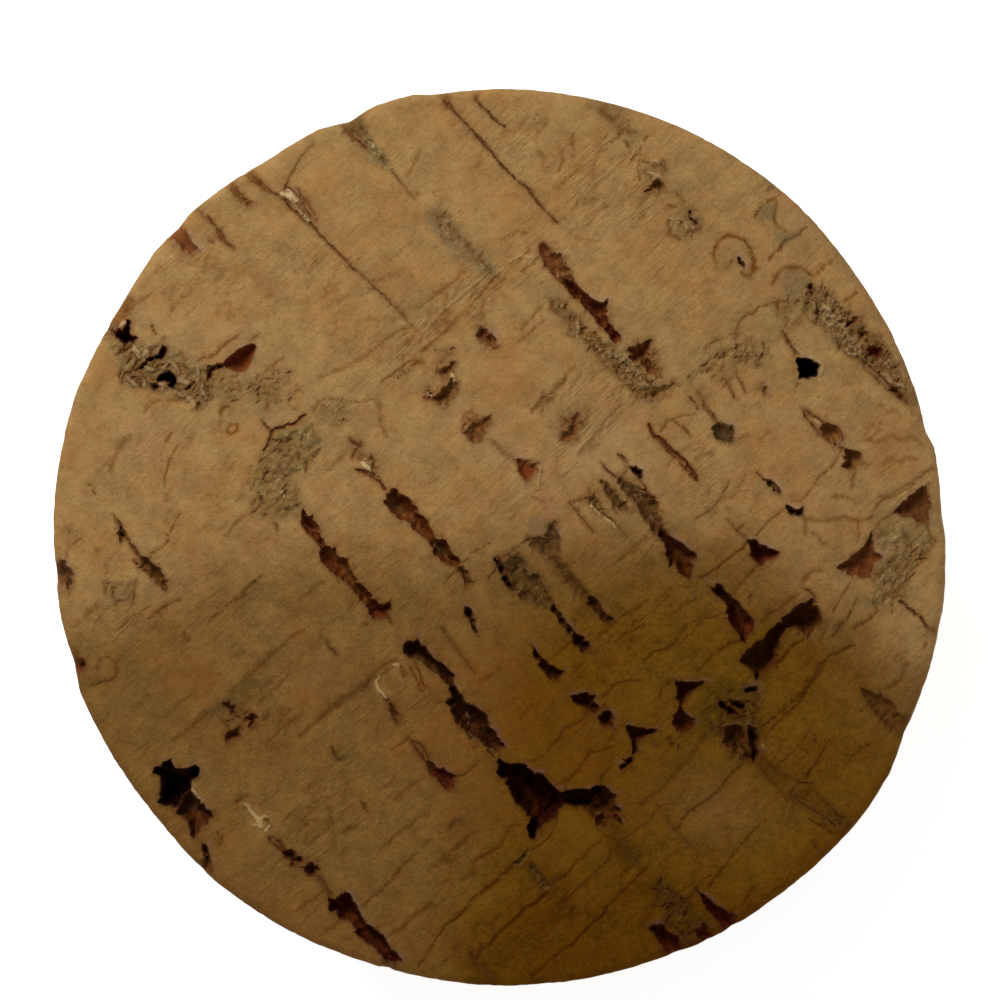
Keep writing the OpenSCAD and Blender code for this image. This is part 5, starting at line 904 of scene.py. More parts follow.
# Torn places: short strokes strewn inside an outline. (angle in degrees, spread, how many, length,
# width, share of pale ones, darkness, outline)
TORN = [
    (50, 45, 56, 9, 2.0, 0.30, 0.86, [(112, 330), (140, 343), (166, 348), (180, 356), (214, 370), (214, 392), (200, 406), (170, 394), (150, 390), (122, 382)]),
    (52, 12, 64, 14, 1.6, 0.34, 0.60, [(262, 455), (284, 430), (318, 432), (322, 444), (300, 474), (296, 488), (300, 512), (264, 510), (254, 492), (252, 474)]),
    (50, 30, 20, 6, 2.6, 0.00, 0.78, [(262, 455), (284, 430), (318, 432), (322, 444), (300, 474), (296, 488), (300, 512), (264, 510), (254, 492), (252, 474)]),
    (62, 22, 90, 8, 2.2, 0.12, 0.84, [(806, 283), (822, 290), (850, 311), (872, 334), (898, 361), (914, 390), (922, 406), (904, 402), (874, 373), (846, 353), (826, 330), (804, 312), (797, 299)]),
    (60, 60, 50, 4, 2.6, 0.75, 0.84, [(812, 300), (830, 302), (850, 320), (864, 340), (862, 354), (846, 350), (828, 328), (812, 318)]),
    (62, 24, 84, 8, 2.2, 0.16, 0.84, [(546, 296), (566, 304), (580, 322), (600, 339), (632, 360), (660, 386), (664, 396), (642, 399), (612, 366), (580, 339), (552, 307)]),
    (50, 60, 18, 4, 2.4, 0.55, 0.84, [(566, 312), (580, 322), (600, 342), (632, 364), (656, 386), (642, 396), (612, 364), (580, 336)]),
    (30, 60, 32, 5, 1.8, 0.36, 0.90, [(338, 124), (358, 112), (369, 138), (388, 160), (397, 176), (376, 161), (351, 137)]),
    (-50, 60, 34, 5, 1.6, 0.30, 0.80, [(426, 206), (452, 216), (470, 246), (486, 255), (493, 274), (468, 260), (438, 234)]),
    (48, 18, 40, 14, 1.6, 0.36, 0.75, [(882, 560), (905, 548), (928, 530), (933, 542), (918, 562), (906, 590), (880, 608), (868, 600), (878, 584)]),
    (60, 60, 46, 7, 2.0, 0.10, 0.93, [(704, 700), (744, 686), (764, 690), (764, 720), (758, 760), (744, 764), (712, 736)]),
    (45, 50, 34, 8, 2.2, 0.06, 0.90, [(650, 884), (662, 879), (694, 908), (706, 926), (684, 946), (666, 918)]),
    (50, 50, 12, 6, 1.6, 0.45, 0.75, [(644, 166), (664, 160), (670, 184), (645, 186)]),
    (50, 50, 18, 6, 1.9, 0.45, 0.80, [(672, 214), (700, 218), (698, 236), (672, 234)]),
    (55, 35, 44, 8, 1.6, 0.26, 0.66, [(700, 352), (736, 332), (776, 350), (748, 366), (700, 380), (684, 388)]),
    (60, 40, 18, 5, 2.4, 0.55, 0.80, [(712, 344), (736, 336), (752, 346), (744, 362), (716, 360)]),
    (40, 40, 40, 7, 1.7, 0.14, 0.74, [(214, 372), (262, 378), (290, 392), (300, 410), (250, 406), (226, 398)]),
    (45, 40, 14, 7, 1.4, 0.35, 0.72, [(318, 404), (340, 400), (356, 406), (346, 430), (318, 430)]),
    (70, 40, 20, 9, 1.9, 0.36, 0.95, [(498, 556), (518, 555), (528, 574), (541, 580), (549, 600), (530, 600), (509, 578)]),
    (-50, 25, 14, 10, 1.7, 0.30, 0.80, [(618, 480), (640, 490), (658, 504), (662, 526), (652, 530), (640, 512), (624, 494)]),
    (-40, 60, 10, 5, 1.8, 0.50, 0.90, [(360, 455), (374, 456), (380, 468), (376, 476), (364, 468)]),
    (30, 60, 16, 5, 1.7, 0.60, 0.90, [(280, 193), (292, 187), (304, 201), (312, 218), (302, 219), (287, 205)]),
    (45, 15, 16, 12, 1.5, 0.25, 0.72, [(800, 626), (830, 622), (850, 624), (846, 634), (806, 636)]),
    (-42, 8, 22, 18, 1.5, 0.14, 0.74, [(792, 796), (804, 782), (830, 802), (856, 828), (846, 838), (818, 818)]),
    (48, 30, 14, 8, 1.5, 0.20, 0.75, [(470, 744), (500, 742), (505, 760), (492, 762)]),
    (62, 20, 26, 7, 1.4, 0.25, 0.80, [(806, 284), (824, 284), (856, 306), (884, 338), (906, 368), (900, 376), (872, 346), (840, 312)]),
    (60, 35, 34, 6, 2.2, 0.22, 0.88, [(540, 246), (556, 254), (572, 278), (570, 288), (556, 278), (546, 262)]),
    (60, 30, 26, 7, 1.9, 0.06, 0.88, [(630, 348), (652, 340), (662, 376), (646, 374)]),
    (45, 40, 14, 6, 1.7, 0.15, 0.90, [(468, 418), (488, 418), (482, 440), (468, 440)]),
    (50, 30, 16, 7, 1.7, 0.10, 0.90, [(562, 418), (584, 412), (582, 430), (566, 442)]),
    (45, 40, 16, 6, 1.7, 0.25, 0.90, [(426, 388), (444, 388), (456, 380), (458, 396), (444, 406), (430, 402)]),
    (40, 40, 10, 5, 1.6, 0.10, 0.85, [(516, 458), (538, 462), (526, 478)]),
    (40, 40, 14, 7, 1.3, 0.10, 0.78, [(534, 398), (560, 386), (562, 398), (542, 412)]),
    (50, 40, 12, 6, 1.5, 0.10, 0.90, [(222, 700), (240, 704), (256, 716), (246, 728), (230, 738)]),
    (45, 50, 12, 5, 1.6, 0.10, 0.90, [(432, 350), (456, 348), (454, 362), (440, 376), (434, 368)]),
    (45, 50, 10, 5, 1.6, 0.10, 0.90, [(474, 326), (492, 330), (498, 348), (482, 346)]),
    (45, 40, 12, 7, 1.5, 0.10, 0.90, [(46, 548), (72, 566), (72, 590), (56, 584)]),
    (48, 20, 26, 9, 1.7, 0.10, 0.80, [(864, 692), (882, 696), (900, 718), (898, 730), (880, 714)]),
    (45, 60, 14, 5, 2.0, 0.30, 0.90, [(356, 454), (374, 456), (382, 478), (368, 480)]),
    (50, 40, 18, 6, 1.7, 0.10, 0.76, [(262, 360), (290, 366), (300, 392), (274, 396), (256, 384)]),
    (50, 50, 16, 6, 1.8, 0.10, 0.72, [(246, 498), (262, 500), (300, 504), (298, 518), (256, 518)]),
    (50, 30, 20, 7, 1.6, 0.10, 0.72, [(100, 578), (136, 580), (136, 604), (106, 606)]),
    (50, 40, 14, 6, 1.7, 0.10, 0.72, [(592, 100), (606, 102), (634, 130), (632, 144), (618, 132)]),
    (55, 30, 22, 7, 1.7, 0.20, 0.74, [(776, 296), (798, 296), (806, 322), (790, 330), (778, 316)]),
    (48, 12, 40, 22, 1.2, 0.50, 0.42, [(560, 150), (600, 124), (680, 150), (700, 190), (650, 220), (590, 236), (556, 200)]),
    (48, 12, 30, 20, 1.2, 0.50, 0.42, [(540, 400), (600, 360), (640, 400), (600, 450), (560, 480)]),
    (44, 10, 26, 26, 1.2, 0.45, 0.40, [(400, 350), (480, 272), (530, 256), (520, 290), (450, 350), (410, 380)]),
    (48, 14, 34, 16, 1.2, 0.30, 0.42, [(280, 790), (390, 780), (400, 850), (320, 880), (280, 840)]),
    (48, 14, 30, 18, 1.2, 0.30, 0.40, [(230, 700), (300, 660), (340, 700), (300, 750), (240, 750)]),
    (48, 16, 30, 14, 1.2, 0.20, 0.36, [(100, 440), (240, 440), (240, 540), (180, 560), (100, 500)]),
    (48, 16, 30, 14, 1.2, 0.20, 0.36, [(300, 260), (420, 240), (440, 300), (380, 360), (300, 340)]),
    (48, 16, 26, 14, 1.2, 0.20, 0.36, [(640, 420), (780, 420), (800, 500), (700, 520), (650, 480)]),
    (48, 16, 30, 16, 1.3, 0.10, 0.36, [(560, 560), (700, 560), (720, 660), (600, 690)]),
    (48, 16, 34, 16, 1.3, 0.10, 0.36, [(420, 800), (520, 860), (640, 880), (600, 950), (440, 940)]),
    (48, 16, 24, 14, 1.2, 0.10, 0.34, [(740, 760), (800, 740), (880, 740), (840, 780), (760, 820)]),
    (48, 16, 24, 14, 1.2, 0.15, 0.34, [(140, 240), (220, 260), (300, 240), (260, 330), (180, 330)]),
    (48, 14, 26, 18, 1.2, 0.20, 0.36, [(440, 120), (540, 110), (600, 240), (520, 230)]),
    (60, 60, 34, 7, 2.2, 0.00, 0.94, [(122, 344), (150, 350), (182, 370), (200, 396), (170, 392), (132, 384)]),
    (62, 40, 40, 7, 2.4, 0.00, 0.92, [(806, 283), (850, 311), (898, 361), (922, 406), (904, 402), (870, 372), (830, 330), (806, 312)]),
    (60, 40, 30, 6, 2.4, 0.00, 0.90, [(566, 304), (600, 339), (660, 386), (642, 399), (600, 352), (572, 326)]),
    (55, 40, 20, 8, 2.2, 0.00, 0.80, [(708, 338), (772, 342), (756, 374), (700, 392)]),
]

# Lighter flesh standing in the floor of an open place: (tone, red, [(x, y, width)...])
FLESH = [
    (0.46, 0.85, [(328, 551, 5), (338, 560, 8), (345, 570, 9), (352, 580, 8), (359, 591, 6), (366, 601, 4)]),
    (0.44, 0.60, [(390, 500, 5), (396, 507, 9), (404, 514, 5)]),
    (0.34, 0.90, [(412, 522, 4), (420, 530, 6), (428, 538, 5)]),
    (0.48, 0.20, [(435, 543, 5), (441, 549, 6), (446, 556, 4)]),
    (0.20, 1.00, [(577, 291, 5), (590, 306, 6), (601, 322, 6), (610, 334, 5)]),
    (0.26, 0.85, [(729, 596, 3), (736, 606, 4), (741, 618, 4), (742, 628, 3)]),
    (0.46, 0.40, [(746, 656, 3), (754, 650, 4), (763, 642, 4), (772, 634, 3)]),
    (0.20, 0.85, [(752, 664, 6), (762, 664, 8), (772, 654, 6)]),
    (0.26, 0.70, [(806, 624, 8), (814, 614, 8), (812, 606, 6)]),
    (0.22, 0.60, [(166, 770, 7), (176, 772, 8), (188, 774, 8), (192, 782, 5)]),
    (0.30, 0.55, [(188, 798, 6), (196, 804, 8), (200, 814, 8)]),
    (0.16, 1.00, [(508, 772, 7), (520, 786, 9), (534, 800, 10), (536, 820, 6)]),
    (0.20, 1.00, [(560, 798, 5), (578, 797, 6), (592, 795, 6)]),
    (0.34, 0.60, [(590, 808, 6), (600, 812, 8), (610, 812, 7)]),
    (0.16, 0.70, [(448, 700, 4), (456, 708, 5), (462, 716, 4)]),
    (0.30, 0.50, [(410, 650, 3), (424, 660, 4), (440, 676, 3)]),
    (0.16, 1.00, [(338, 904, 6), (350, 914, 8), (364, 930, 8), (380, 944, 8), (390, 956, 6)]),
    (0.14, 1.00, [(682, 686, 5), (694, 686, 5)]),
    (0.18, 1.00, [(680, 716, 5), (686, 724, 5)]),
    (0.16, 1.00, [(578, 698, 5), (590, 704, 5)]),
    (0.18, 1.00, [(604, 716, 5), (606, 722, 5)]),
    (0.14, 1.00, [(634, 732, 5), (646, 732, 4)]),
    (0.16, 1.00, [(660, 930, 5), (668, 944, 8), (676, 956, 8)]),
    (0.14, 1.00, [(760, 548, 6), (766, 554, 6)]),
    (0.30, 0.50, [(672, 548, 5), (682, 556, 6)]),
    (0.30, 0.45, [(736, 736, 6), (740, 746, 5), (744, 754, 4)]),
    (0.40, 0.30, [(556, 618, 2), (568, 632, 3), (578, 642, 2)]),
    (0.46, 0.50, [(650, 183, 4), (656, 182, 5)]),
    (0.46, 0.40, [(834, 434, 4), (838, 442, 5)]),
    (0.44, 0.40, [(852, 456, 6), (853, 462, 6)]),
]

# Outline of the wide end: how far it stands from a 448.5 step circle, by angle in degrees. It bulges
# below right, runs flat above right and has small steps where a lenticel meets the edge.
RIM = [(0, -3), (4, -6), (12, -4), (14, -9), (20, -7), (36, -5), (50, 0), (66, 2), (90, 3), (99, 2.5),
       (101, 5.5), (106, 4.5), (110, -3), (114, 1), (122, -2), (131, 2), (134, 3), (136, 0.5), (140, 3),
       (146, -0.5), (152, -1), (161, 2), (176, 1), (184, -1), (190, 0), (196, -3), (200, 0.5), (208, -2),
       (220, -4.5), (230, -1.5), (242, -2), (255, -3), (270, -0.5), (290, 1), (298, 4), (308, 4.5),
       (316, 6.5), (322, 8), (329, 6.5), (334, 0.5), (342, 0.5), (352, 0), (360, -3)]


def rim_steps(theta):
    deg = np.degrees(theta) % 360.0
    r = 448.5 + np.interp(deg, [a for a, _ in RIM], [d for _, d in RIM])
    return r + 0.25 * vnoise(deg * 1.9, deg * 0, 901) + 0.15 * vnoise(deg * 4.3, deg * 0, 902)


# ---------------------------------------------------------------------------------------------
# Distances on the plan
# ---------------------------------------------------------------------------------------------
rng = np.random.default_rng(4127)


def jag(points, closed, amount, piece=4.2):
    """Breaks the straight runs of an outline into short uneven ones."""
    pts = [np.array(p, float) for p in points]
    n, out = len(pts), []
    for i in range(n if closed else n - 1):
        a, b = pts[i], pts[(i + 1) % n]
        d = b[:2] - a[:2]
        length = max(float(np.hypot(d[0], d[1])), 1e-6)
        nx = np.array([-d[1], d[0]]) / length
        k = max(1, int(round(length / piece)))
        for j in range(k):
            p = a + (b - a) * (j / k)
            p[:2] += nx * rng.normal() * amount * (0.5 if j == 0 else 1.0)
            out.append(p)
    if not closed:
        out.append(pts[-1].copy())
    return np.array(out)


def seg_dist(p, a, b):
    ab = b - a
    t = np.clip(((p - a) @ ab) / max(float(ab @ ab), 1e-9), 0, 1)
    q = a + t[:, None] * ab
    return np.hypot(p[:, 0] - q[:, 0], p[:, 1] - q[:, 1]), t


def poly_dist(p, poly):
    """Signed distance to a closed outline, negative inside."""
    best = np.full(len(p), 1e9)
    inside = np.zeros(len(p), bool)
    n = len(poly)
    for i in range(n):
        a, b = poly[i], poly[(i + 1) % n]
        d, _ = seg_dist(p, a, b)
        best = np.minimum(best, d)
        if a[1] != b[1]:
            hit = ((a[1] > p[:, 1]) != (b[1] > p[:, 1])) & (
                p[:, 0] < (b[0] - a[0]) * (p[:, 1] - a[1]) / (b[1] - a[1]) + a[0])
            inside ^= hit
    return np.where(inside, -best, best)


def spiked(poly, rough):
    """Torn corners along a ragged outline."""
    mid = poly.mean(0)
    for i in range(len(poly)):
        if rng.random() < 0.22 * rough:
            d = poly[i] - mid
            poly[i] += d / max(np.hypot(*d), 1e-6) * rng.normal() * 2.4
    return poly


HOLE_SET = []
for depth, tone, red, rough, outline in HOLES:
    HOLE_SET.append((depth, tone, red, rough, spiked(jag(outline, True, 0.30 + 1.1 * rough, 3.4), rough)))
CRACK_SET, VEIN_SET = [], []
for dark, depth, line in CRACKS:
    path = jag(line, False, 0.60 if dark > 0.5 else 0.35, 3.2)
    if dark >= 0.7:
        path[:, 2] *= 0.72 * rng.uniform(0.45, 1.45, len(path))
        CRACK_SET.append((dark, 0.5 * depth, path))
    else:
        path[:, 2] *= 0.90 * rng.uniform(0.60, 1.30, len(path))
        VEIN_SET.append((min(1.0, 0.26 + 1.15 * dark), 0.4 * depth, path))
FIBRE_SET = [(bright, up, jag(line, False, 0.5, 2.8)) for bright, up, line in FIBRES]


def splinter(at, angle, length, width, dark, depth):
    """A short torn branch, running out to nothing."""
    pts, p, a = [(at[0], at[1], width)], np.array(at, float), angle
    for k in range(2):
        a += rng.normal() * 0.35
        p = p + length * 0.5 * np.array([math.cos(a), -math.sin(a)])
        pts.append((p[0], p[1], width * (0.75 - 0.45 * k)))
    CRACK_SET.append((dark, depth, np.array(pts)))


for depth, tone, red, rough, poly in list(HOLE_SET):
    for i in range(len(poly)):
        if rng.random() < 0.05 + 0.13 * rough:
            t = poly[(i + 1) % len(poly)] - poly[i - 1]
            n = np.array([-t[1], t[0]]) / max(np.hypot(*t), 1e-6)
            if poly_dist((poly[i] + 1.5 * n)[None, :], poly)[0] < 0:
                n = -n
            splinter(poly[i], math.atan2(-n[1], n[0]) + rng.normal() * 0.5, rng.uniform(2.5, 6.5), rng.uniform(1.2, 2.0), 0.85, 0.10)
for dark, depth, line in list(CRACK_SET)[:]:
    if dark < 0.8 or len(line) < 5:
        continue
    for i in range(1, len(line) - 1):
        if rng.random() < 0.16:
            t = line[i + 1, :2] - line[i - 1, :2]
            splinter(line[i, :2], math.atan2(-t[1], t[0]) + rng.choice([-1, 1]) * rng.uniform(0.5, 1.4), rng.uniform(2.5, 6.0), 1.3, 0.75, 0.06)


def inside_poly(p, poly):
    return poly_dist(p, np.array(poly, float)) < 0


for angle, spread, many, length, width, pale, dark, outline in TORN:
    box = np.array(outline, float)
    lo_, hi_ = box.min(0), box.max(0)
    done = 0
    while done < many:
        at = rng.uniform(lo_, hi_)
        if not inside_poly(at[None, :], outline)[0]:
            continue
        a = math.radians(angle + rng.normal() * spread * 0.6)
        size = length * rng.uniform(0.45, 1.3)
        w = width * rng.uniform(0.6, 1.35)
        pts, p = [], at - 0.5 * size * np.array([math.cos(a), -math.sin(a)])
        for k in range(4):
            pts.append((p[0], p[1], w * (0.55 if k in (0, 3) else 1.0)))
            a += rng.normal() * 0.30
            p = p + size / 3.0 * np.array([math.cos(a), -math.sin(a)])
        if rng.random() < pale:
            FIBRE_SET.append((rng.uniform(0.10, 0.34) if dark >= 0.7 else rng.uniform(0.05, 0.14), rng.uniform(0.02, 0.07), np.array(pts[:max(2, len(pts) // 2 + 1)])))
        elif dark < 0.7:
            VEIN_SET.append((min(1.0, 1.3 * dark * rng.uniform(0.6, 1.1)), 0.03, np.array(pts)))
        else:
            CRACK_SET.append((dark * rng.uniform(0.75, 1.05), rng.uniform(0.06, 0.22), np.array(pts)))
        done += 1
PATCH_KINDS = ["crumb", "olive", "grey", "brown", "orange", "pale", "pink", "combed"]


def near(p, pts, margin):
    lo, hi = pts[:, :2].min(0) - margin, pts[:, :2].max(0) + margin
    return np.nonzero((p[:, 0] > lo[0]) & (p[:, 0] < hi[0]) & (p[:, 1] > lo[1]) & (p[:, 1] < hi[1]))[0]


def features(p):
    """What the plan holds at each point: distances in steps, depths in mm."""
    n = len(p)
    f = {"pit": np.full(n, 12.0), "down": np.zeros(n), "tone": np.full(n, 0.2), "red": np.full(n, 0.5),
         "hold": np.zeros(n), "rough": np.zeros(n), "fibre": np.full(n, 6.0), "shine": np.zeros(n),
         "up": np.zeros(n), "hole": np.full(n, 12.0), "vein": np.zeros(n), "lip_highlight": np.zeros(n)}
    for depth, tone, red, rough, poly in HOLE_SET:
        i = near(p, poly, 12)
        if not len(i):
            continue
        d = poly_dist(p[i], poly)
        q = np.maximum(-d, 0)
        room = max(float(q.max()) if len(q) else 1.0, 2.0)
        floor = depth * (0.62 * (1 - np.exp(-q / 1.1)) + 0.38 * smooth(0.8, min(room, 9.0), q))
        lower = d < f["pit"][i]
        for key, val in (("tone", tone), ("red", red), ("hold", 1.0), ("rough", rough)):
            f[key][i[lower]] = val
        # painted highlight: the lip is lighter on the side that faces up and to the right, where the light catches it,
        # at full strength only at the darker holes
        sunny = poly_dist(p[i] + np.array([0.5, -0.87]), poly) - d
        f["lip_highlight"][i[lower]] = (smooth(0.0, 0.8, sunny) * (1.0 if tone < 0.15 else 0.15))[lower]
        f["pit"][i] = np.minimum(f["pit"][i], d)
        f["hole"][i] = np.minimum(f["hole"][i], d)
        f["down"][i] = np.maximum(f["down"][i], floor)
    for tone, red, line in FLESH:
        line = np.array(line, float)
        i = near(p, line, 10)
        if not len(i):
            continue
        best = np.full(len(i), 12.0)
        for k in range(len(line) - 1):
            d, t = seg_dist(p[i], line[k, :2], line[k + 1, :2])
            w = line[k, 2] + (line[k + 1, 2] - line[k, 2]) * t
            best = np.minimum(best, d / np.maximum(0.5 * w, 0.5))
        amount = smooth(1.35, 0.25, best + 0.25 * vnoise(p[i, 0] / 3.0, p[i, 1] / 3.0, 401))
        f["tone"][i] += (tone - f["tone"][i]) * amount * (f["pit"][i] < 0)
        f["red"][i] += (red - f["red"][i]) * amount * (f["pit"][i] < 0)
    for dark, depth, line in VEIN_SET:
        i = near(p, line, 8)
        if not len(i):
            continue
        best = np.full(len(i), 12.0)
        for k in range(len(line) - 1):
            d, t = seg_dist(p[i], line[k, :2], line[k + 1, :2])
            w = line[k, 2] + (line[k + 1, 2] - line[k, 2]) * t
            best = np.minimum(best, d - 0.5 * w)
        f["vein"][i] = np.maximum(f["vein"][i], dark * smooth(1.7, -0.5, best))
        f["down"][i] = np.maximum(f["down"][i], depth * smooth(0.8, -1.2, best))
    for dark, depth, line in CRACK_SET:
        i = near(p, line, 8)
        if not len(i):
            continue
        best = np.full(len(i), 12.0)
        for k in range(len(line) - 1):
            d, t = seg_dist(p[i], line[k, :2], line[k + 1, :2])
            w = line[k, 2] + (line[k + 1, 2] - line[k, 2]) * t
            best = np.minimum(best, d - 0.5 * w)
        lower = best < f["pit"][i]
        for key, val in (("tone", 0.08 if dark >= 0.91 else 0.20), ("red", 0.50 if dark >= 0.91 else 0.30), ("hold", min(1.0, dark + 0.05)), ("rough", 0.25), ("lip_highlight", 0.0)):
            f[key][i[lower]] = val
        f["pit"][i] = np.minimum(f["pit"][i], best)
        f["down"][i] = np.maximum(f["down"][i], depth * smooth(0.2, -1.4, best))
    for bright, up, line in FIBRE_SET:
        i = near(p, line, 7)
        if not len(i):
            continue
        best = np.full(len(i), 6.0)
        for k in range(len(line) - 1):
            d, t = seg_dist(p[i], line[k, :2], line[k + 1, :2])
            w = line[k, 2] + (line[k + 1, 2] - line[k, 2]) * t
            best = np.minimum(best, d - 0.5 * w)
        lower = best < f["fibre"][i]
        f["shine"][i[lower]] = bright
        f["fibre"][i] = np.minimum(f["fibre"][i], best)
        f["up"][i] = np.maximum(f["up"][i], up * smooth(0.4, -1.0, best))
    for kind in PATCH_KINDS:
        f[kind] = np.zeros(n)
    for k, (kind, strength, soft, outline) in enumerate(PATCHES):
        poly = np.array(outline, float)
        i = near(p, poly, soft + 4)
        if not len(i):
            continue
        d = poly_dist(p[i], poly) + soft * 0.7 * fbm(p[i, 0] / 9.0, p[i, 1] / 9.0, 300 + k, 2)
        f[kind][i] = np.maximum(f[kind][i], strength * smooth(soft * 0.8, -soft * 0.8, d))
    return f


# ---------------------------------------------------------------------------------------------
# Lenticels inside the bark: they run straight through it, square to the rings. Each is
# (u, z, s0, s1, a, b, tone, red) in mm, an ellipse of half sizes a, b swept from s0 to s1.
# ---------------------------------------------------------------------------------------------
LENT = []
lrng = np.random.default_rng(77)
for _ in range(330):
    s_mid, length = lrng.uniform(-27, 27), lrng.uniform(3, 15)
    a = lrng.choice([0.16, 0.24, 0.38, 0.6], p=[0.30, 0.34, 0.24, 0.12]) * lrng.uniform(0.8, 1.2)
    b = a * lrng.uniform(1.6, 3.4)
    z = lrng.uniform(-1.0, 34.8)
    LENT.append((lrng.uniform(-26, 26), z, s_mid - length / 2, s_mid + length / 2, a, b,
                 lrng.uniform(0.0, 0.45), lrng.uniform(0.3, 1.0)))
LENT = [l for l in LENT if l[1] + l[5] < 36.2]


def lenticels(x, y, z):
    """How far each point lies inside a lenticel, in mm (0 at its edge, most at its middle), with its colour and size.
    """
    u, s = x * RU[0] + y * RU[1], x * RS[0] + y * RS[1]
    wob_u = 0.28 * fbm(s / 1.5, z / 3.0, 61, 3)
    wob_z = 0.40 * fbm(s / 1.7, u / 3.0, 62, 3)
    best, tone, red, size = np.full(len(x), -3.0), np.full(len(x), 0.2), np.full(len(x), 0.5), np.full(len(x), 0.4)
    for k, (lu, lz, s0, s1, a, b, t, r) in enumerate(LENT):
        i = np.nonzero((np.abs(u - lu) < a + 1.1) & (np.abs(z - lz) < b + 1.3) & (s > s0 - 1.2) & (s < s1 + 1.2))[0]
        if not len(i):
            continue
        half = 0.5 * (s1 - s0)
        along = np.abs(s[i] - 0.5 * (s0 + s1)) / half
        taper = np.sqrt(np.clip(1.0 - np.clip(along, 0, 1.3) ** 2.6, 0.02, 1.0))
        rag = 1.0 + 0.30 * fbm(s[i] * 1.6, z[i] * 1.3 + k, 70, 3)
        du, dz = (u[i] - lu + wob_u[i]) / (a * rag), (z[i] - lz + wob_z[i]) / (b * rag)
        q = (taper - np.sqrt(du * du + dz * dz)) * a      # mm inside the edge
        q = np.where(along > 1.0, np.minimum(q, -(along - 1.0) * half), q)
        better = q > best[i]
        j = i[better]
        best[j], tone[j], red[j], size[j] = q[better], t, r, a
    return best, tone, red, size


# ---------------------------------------------------------------------------------------------
# Points of the wide end: rows on both sides of every outline, a fine net in the torn places and
# a coarser one on the plain cork.
# ---------------------------------------------------------------------------------------------
RING_N = 1050
EDGE_STEPS = EDGE_R / STEP
ring_theta = np.arange(RING_N) * (2 * math.pi / RING_N)
ring_r = rim_steps(ring_theta)
ring_xy = np.stack([CX + (ring_r - EDGE_STEPS) * np.cos(ring_theta), CY - (ring_r - EDGE_STEPS) * np.sin(ring_theta)], 1)


def hexnet(spacing, seed, x0=40, x1=962, y0=80, y1=998, jitter=0.22):
    g = np.random.default_rng(seed)
    ys = np.arange(y0, y1, spacing * 0.866)
    xs = np.arange(x0, x1, spacing)
    xx, yy = np.meshgrid(xs, ys)
    xx = xx + (np.arange(len(ys)) % 2)[:, None] * spacing * 0.5
    p = np.stack([xx.ravel(), yy.ravel()], 1)
    return p + g.uniform(-jitter, jitter, p.shape) * spacing


def inside_face(p, gap):
    dx, dy = p[:, 0] - CX, CY - p[:, 1]
    r = np.hypot(dx, dy)
    keep = r < 462
    out = np.zeros(len(p), bool)
    out[keep] = r[keep] < rim_steps(np.arctan2(dy[keep], dx[keep])) - EDGE_STEPS - gap
    return out


def along(path, closed, spacing, offset):
    """Points every so far beside a path; the third column of an open path is its width."""
    pts = path if not closed else np.vstack([path, path[:1]])
    d = np.diff(pts[:, :2], axis=0)
    seg = np.hypot(d[:, 0], d[:, 1])
    cum = np.concatenate([[0], np.cumsum(seg)])
    n = max(2, int(cum[-1] / spacing))
    ts = (np.arange(n) + 0.5) / n * cum[-1] if closed else np.linspace(0, cum[-1], n)
    x, y = np.interp(ts, cum, pts[:, 0]), np.interp(ts, cum, pts[:, 1])
    k = np.clip(np.searchsorted(cum, ts, side="right") - 1, 0, len(seg) - 1)
    nx, ny = -d[k, 1] / np.maximum(seg[k], 1e-9), d[k, 0] / np.maximum(seg[k], 1e-9)
    if not closed:
        w = np.interp(ts, cum, pts[:, 2]) * 0.5
        off = np.sign(offset) * (w + abs(offset)) if offset else 0 * w
        return np.stack([x + nx * off, y + ny * off], 1)
    return np.stack([x + nx * offset, y + ny * offset], 1)


def thin_out(p, gap):
    """Drops points that crowd an earlier one."""
    order, cells, keep = range(len(p)), {}, []
    inv = 1.0 / gap
    for i in order:
        x, y = p[i]
        cx, cy = int(x * inv), int(y * inv)
        ok = True
        for ax in (cx - 1, cx, cx + 1):
            for ay in (cy - 1, cy, cy + 1):
                for j in cells.get((ax, ay), ()):
                    if (p[j, 0] - x) ** 2 + (p[j, 1] - y) ** 2 < gap * gap:
                        ok = False
                        break
                if not ok:
                    break
            if not ok:
                break
        if ok:
            cells.setdefault((cx, cy), []).append(i)
            keep.append(i)
    return p[keep]


def far_from(p, q, gap):
    """Which points of p lie further than gap from every point of q."""
    cells = {}
    inv = 1.0 / gap
    for j, (x, y) in enumerate(q):
        cells.setdefault((int(x * inv), int(y * inv)), []).append(j)
    keep = np.ones(len(p), bool)
    for i, (x, y) in enumerate(p):
        cx, cy = int(x * inv), int(y * inv)
        for ax in (cx - 1, cx, cx + 1):
            for ay in (cy - 1, cy, cy + 1):
                for j in cells.get((ax, ay), ()):
                    if (q[j, 0] - x) ** 2 + (q[j, 1] - y) ** 2 < gap * gap:
                        keep[i] = False
                        break
    return keep


def mesh_net(points, ring):
    """Triangulates points inside a closed ring. Returns positions and triangles; the ring comes first."""
    pts = np.vstack([ring, points])
    n = len(ring)
    edges = [(i, (i + 1) % n) for i in range(n)]
    v, _, tri, orig, _, _ = delaunay_2d_cdt([Vector((float(x), float(y))) for x, y in pts], edges, [], 1, 1e-6)
    assert len(v) == len(pts), "a net lost or gained points"
    back = np.array([o[0] for o in orig])
    tri = back[np.array([list(t) for t in tri])]
    return pts, tri


